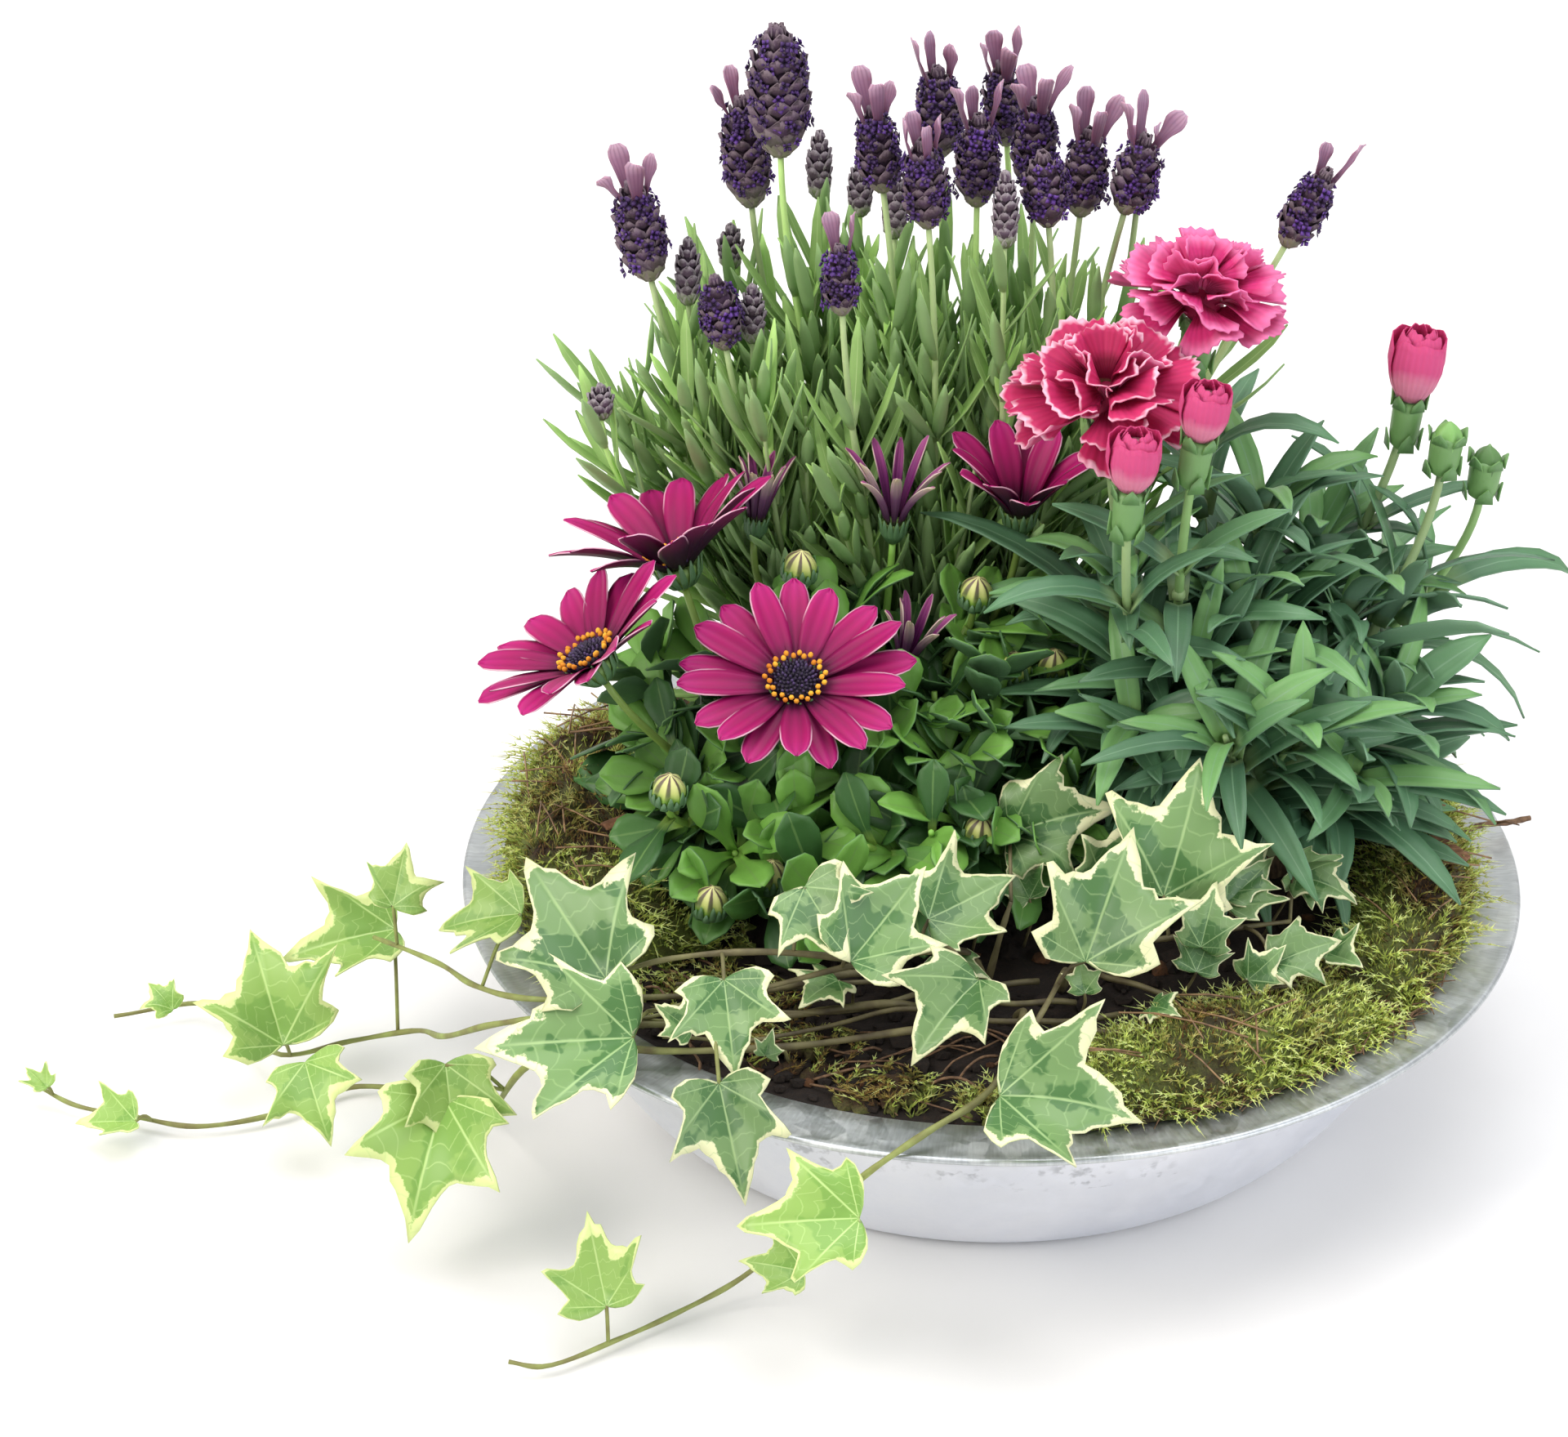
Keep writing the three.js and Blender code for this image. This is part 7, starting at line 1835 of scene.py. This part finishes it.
for pink in PINK_BUDS:
    base, top, radius = vec(*pink["at"]), vec(*pink["top"]), pink["radius"]
    axis, height = unit(top - base), np.linalg.norm(top - base)
    axes = square_to(axis)
    bud = Build()
    spindle(bud, base, axis, height, radius, [(0.0, 0.45), (0.3, 0.7), (0.6, 0.75), (0.85, 0.5)], 16,
            along=0.3, shade=0.4)
    shares, places = np.linspace(0, 1, 9), np.linspace(-1, 1, 13)
    for k in range(9):
        layer, angle = k % 3, 2 * math.pi * k / 9 * 4 + 0.4
        rows = []
        for s in shares:
            widths = [0.5, 0.88, 1.04, 0.98 - 0.24 * layer]
            wide = radius * np.interp(s, [0, 0.3, 0.65, 1.0], widths) * (1 - 0.1 * layer)
            # The tips are rounded and stand a little apart.
            rows.append([base + axis * height * (0.02 + s * (0.94 + 0.05 * layer - 0.14 * c ** 4))
                         + axis * 0.4 * math.sin(9 * c + k) * s
                         + spoke(angle + c * 1.1, axes) * (wide + 0.7 * c * s) for c in places])
        plate(bud, np.array(rows), 0.4, along=shares[:, None] * 0.9 + 0.1, across=places, shade=draw(k, 7))
    bud.piece(f"{pink['name']}_petals", rolled_petal, "carnation_bud", [pink["name"]])


# Bark and twigs
# Bits that came in with the moss: a curved chip of pine bark and a thin twig on the cushion at the
# right, a smaller chip at the left, and brittle brown moss stems along the front of the rim.

TWIG = [(134, 16, 66), (141, 20, 66.5), (148, 24, 65), (155, 27, 65)]
DRY_STRIP = (-72, -24)
ROOTLET_STRIP = (-158, -62)

# Weathered pine bark is dry and rough, in layers from dark brown to tan.
weathered_bark, add, shader = new_material("weathered_bark")
where = add("Mapping", {"Vector": add("TexCoord", output="Object"), "Scale": (1.0, 3.0, 3.0)})
layers = add("TexNoise", {"Vector": where, "Scale": 1 / (5 * MM), "Detail": 5.0, "Roughness": 0.65})
fill(shader, {
    "Base Color": add("ValToRGB", {0: layers}, stops=[(0.25, "#4a3122"), (0.5, "#7d573c"),
                                                      (0.75, "#a98260")]),
    "Roughness": 0.85,
    "Normal": add("Bump", {"Height": layers, "Strength": 0.8, "Distance": 0.6 * MM}),
})


def chip(build, middle, long_way, wide_way, size, seed):
    """A flake of bark, a little curved, with broken ends and a few raised layers."""
    up, (length, width, thickness) = unit(np.cross(long_way, wide_way)), size
    grid = []
    for i, s in enumerate(np.linspace(-1, 1, 15)):
        ragged = (1 + 0.12 * wander(i * 3.1, seed, 0, 4.0)) * (1 - 0.3 * s * s)
        grid.append([middle + long_way * length / 2 * s * (1 + 0.08 * wander(k * 2.3, seed, s, 2.0))
                     + wide_way * width / 2 * c * ragged + up * (0.35 * wander(i, k, seed, 2.2) - 0.9 * c * c)
                     for k, c in enumerate(np.linspace(-1, 1, 9))])
    plate(build, np.array(grid), thickness)


# The large chip lies as its solid does, which shows in the solid's middle and its longest directions.
points = np.array([v.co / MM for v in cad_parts["bark_chip"].data.vertices])
_, _, (long_way, wide_way, _) = np.linalg.svd(points - points.mean(axis=0))
bark = Build()
chip(bark, points.mean(axis=0), long_way, wide_way, (12.6, 6.6, 1.5), 3)
bark.piece("bark_chip_flake", weathered_bark, "bark", ["bark_chip"])

loose = Build()
chip(loose, vec(-119, 10, 84), unit(vec(0.3, 0.9, 0.25)), unit(vec(0.9, -0.3, 0)), (11, 6, 1.3), 8)
chip(loose, vec(-104, -28, 90), unit(vec(0.8, 0.5, 0.1)), unit(vec(-0.5, 0.8, 0)), (8, 4, 1.1), 9)
loose.piece("loose_bark", weathered_bark, "bark")

# The twig, the dry moss stems and the rootlets are dull and brown, streaked along their grain.
dry_twig, add, shader = new_material("dry_twig")
grain = add("TexNoise", {"Vector": add("TexCoord", output="Object"), "Scale": 1 / (1.5 * MM), "Detail": 4.0})
fill(shader, {
    "Base Color": add("ValToRGB", {0: grain}, stops=[(0.3, "#4b3626"), (0.7, "#8a6a4c")]),
    "Roughness": 0.75,
    "Normal": add("Bump", {"Height": grain, "Strength": 0.5, "Distance": 0.2 * MM}),
})

# The solid was laid on the moss in half millimetre steps, so the finer twig looks for the same step.
twig, seat = Build(), Seat("twig")
raised = min(range(40), key=lambda k: max(seat.skin_gap(vec(*p) + vec(0, 0, 0.5 * k)) for p in TWIG[1:3]))
course = smooth_path([vec(*p) + vec(0, 0, 0.5 * raised) for p in TWIG], 6)
tube(twig, course, 0.85 * (1 + 0.12 * np.sin(np.arange(len(course)) * 1.7)), 9)
fork = course[9]
tube(twig, [fork, fork + vec(3, -1.5, 1.6), fork + vec(6.5, -4, 2)], [0.45, 0.35, 0.2], 6)
twig.piece("twig_wood", dry_twig, "twig", ["twig"])

strip = Build()
for k in range(230):
    bearing = math.radians(between(*DRY_STRIP, k, 21))
    reach = between(129, 139, k, 22)
    root = vec(reach * math.cos(bearing), reach * math.sin(bearing), RIM_HEIGHT + between(0.5, 3.5, k, 23))
    turned = bearing + math.pi / 2 + between(-0.9, 0.9, k, 24)
    half = vec(math.cos(turned), math.sin(turned), between(-0.05, 0.3, k, 25)) * between(2, 6, k, 26)
    tube(strip, [root - half, root + vec(0, 0, 0.5), root + half], [0.18, 0.26, 0.14], 4, along=draw(k, 27))
strip.piece("dry_moss_stems", dry_twig, "twig")

# Dry rootlets and stalks lie in a loose tangle on the soil at the front.
rootlets = Build()
for k in range(70):
    bearing = math.radians(between(*ROOTLET_STRIP, k, 41))
    turned = bearing + math.pi / 2 + between(-1.0, 1.0, k, 43)
    reach, half, lift = between(92, 129, k, 42), between(5, 13, k, 44), between(0.3, 4.5, k, 45)
    course = []
    for step in np.linspace(-1, 1, 5):
        x = reach * math.cos(bearing) + half * step * math.cos(turned) + 1.6 * wander(k, step, 3, 0.7)
        y = reach * math.sin(bearing) + half * step * math.sin(turned) + 1.6 * wander(step, k, 9, 0.7)
        course.append(vec(x, y, soil_height(min(math.hypot(x, y), edge)) + lift * (1 - 0.7 * step ** 2)))
    tube(rootlets, smooth_path(course, 2), between(0.2, 0.5, k, 46), 4, along=draw(k, 47))
rootlets.piece("dry_rootlets", dry_twig, "twig")


# Table and studio
# A plain pale table top that curves up behind, wide soft lamps and the camera at the photograph's angle.

CAMERA_PLACE = (0, -1197.9, 780.6)
CAMERA_TURN = -2.802
CAMERA_TILT = 29.282
SENSOR = 36
LENS = 112.5
# The sweep's side view, and half its width.
SWEEP = [(-2400, 0), (1500, 0), (1900, 60), (2150, 260), (2300, 600), (2300, 2600)]
SWEEP_HALF = 3000
AIR_STRENGTH = 0.75

# Thick matt paper, near white and very slightly cloudy, takes a soft shadow and no reflection.
table_top, add, shader = new_material("matt_paper_backdrop")
fibre = add("TexNoise", {"Vector": add("TexCoord", output="Object"), "Scale": 1 / (60 * MM), "Detail": 2.0})
fill(shader, {
    "Base Color": add("ValToRGB", {0: fibre}, stops=[(0.2, "#e9e8e6"), (0.8, "#efeeec")]),
    "Roughness": 0.9,
})
sweep = Build()
sweep.grid(np.array([[(x, y, z) for x in (-SWEEP_HALF, SWEEP_HALF)] for y, z in SWEEP], float))
mesh = bpy.data.meshes.new("backdrop")
mesh.from_pydata((np.concatenate(sweep.points) * MM).tolist(), [], sweep.faces)
mesh.materials.append(table_top)
backdrop = bpy.data.objects.new("backdrop", mesh)
bpy.context.scene.collection.objects.link(backdrop)


def lamp(name, place, aim, size, watts, colour):
    """A soft rectangular lamp that looks at a place on the bowl."""
    light = bpy.data.lights.new(name, "AREA")
    light.shape, light.size, light.size_y = "RECTANGLE", size[0] * MM, size[1] * MM
    light.energy, light.color = watts, linear(colour)[:3]
    obj = bpy.data.objects.new(name, light)
    bpy.context.scene.collection.objects.link(obj)
    obj.location = Vector(place) * MM
    obj.rotation_euler = (Vector(aim) - Vector(place)).to_track_quat("-Z", "Y").to_euler()


lamp("window_left", (-1500, -900, 1500), (0, 0, 120), (1300, 1300), 34, "#fff8f0")
lamp("overhead", (200, 300, 1900), (0, 0, 100), (1700, 1500), 24, "#fbfbff")
lamp("fill_right", (1500, -1100, 700), (0, 0, 120), (1200, 1000), 13, "#f4f7ff")

world = bpy.data.worlds.new("studio_air")
world.use_nodes = True
air = world.node_tree.nodes["Background"]
air.inputs["Color"].default_value = linear("#f2f3f5")
air.inputs["Strength"].default_value = AIR_STRENGTH
bpy.context.scene.world = world
bpy.context.scene.view_settings.view_transform = "Standard"

lens = bpy.data.cameras.new("camera")
lens.lens, lens.sensor_width = LENS, SENSOR
camera = bpy.data.objects.new("camera", lens)
bpy.context.scene.collection.objects.link(camera)
yaw, pitch = math.radians(CAMERA_TURN), math.radians(CAMERA_TILT)
ahead = Vector((math.sin(yaw) * math.cos(pitch), math.cos(yaw) * math.cos(pitch), -math.sin(pitch)))
camera.location = Vector(CAMERA_PLACE) * MM
camera.rotation_euler = ahead.to_track_quat("-Z", "Y").to_euler()
bpy.context.scene.camera = camera
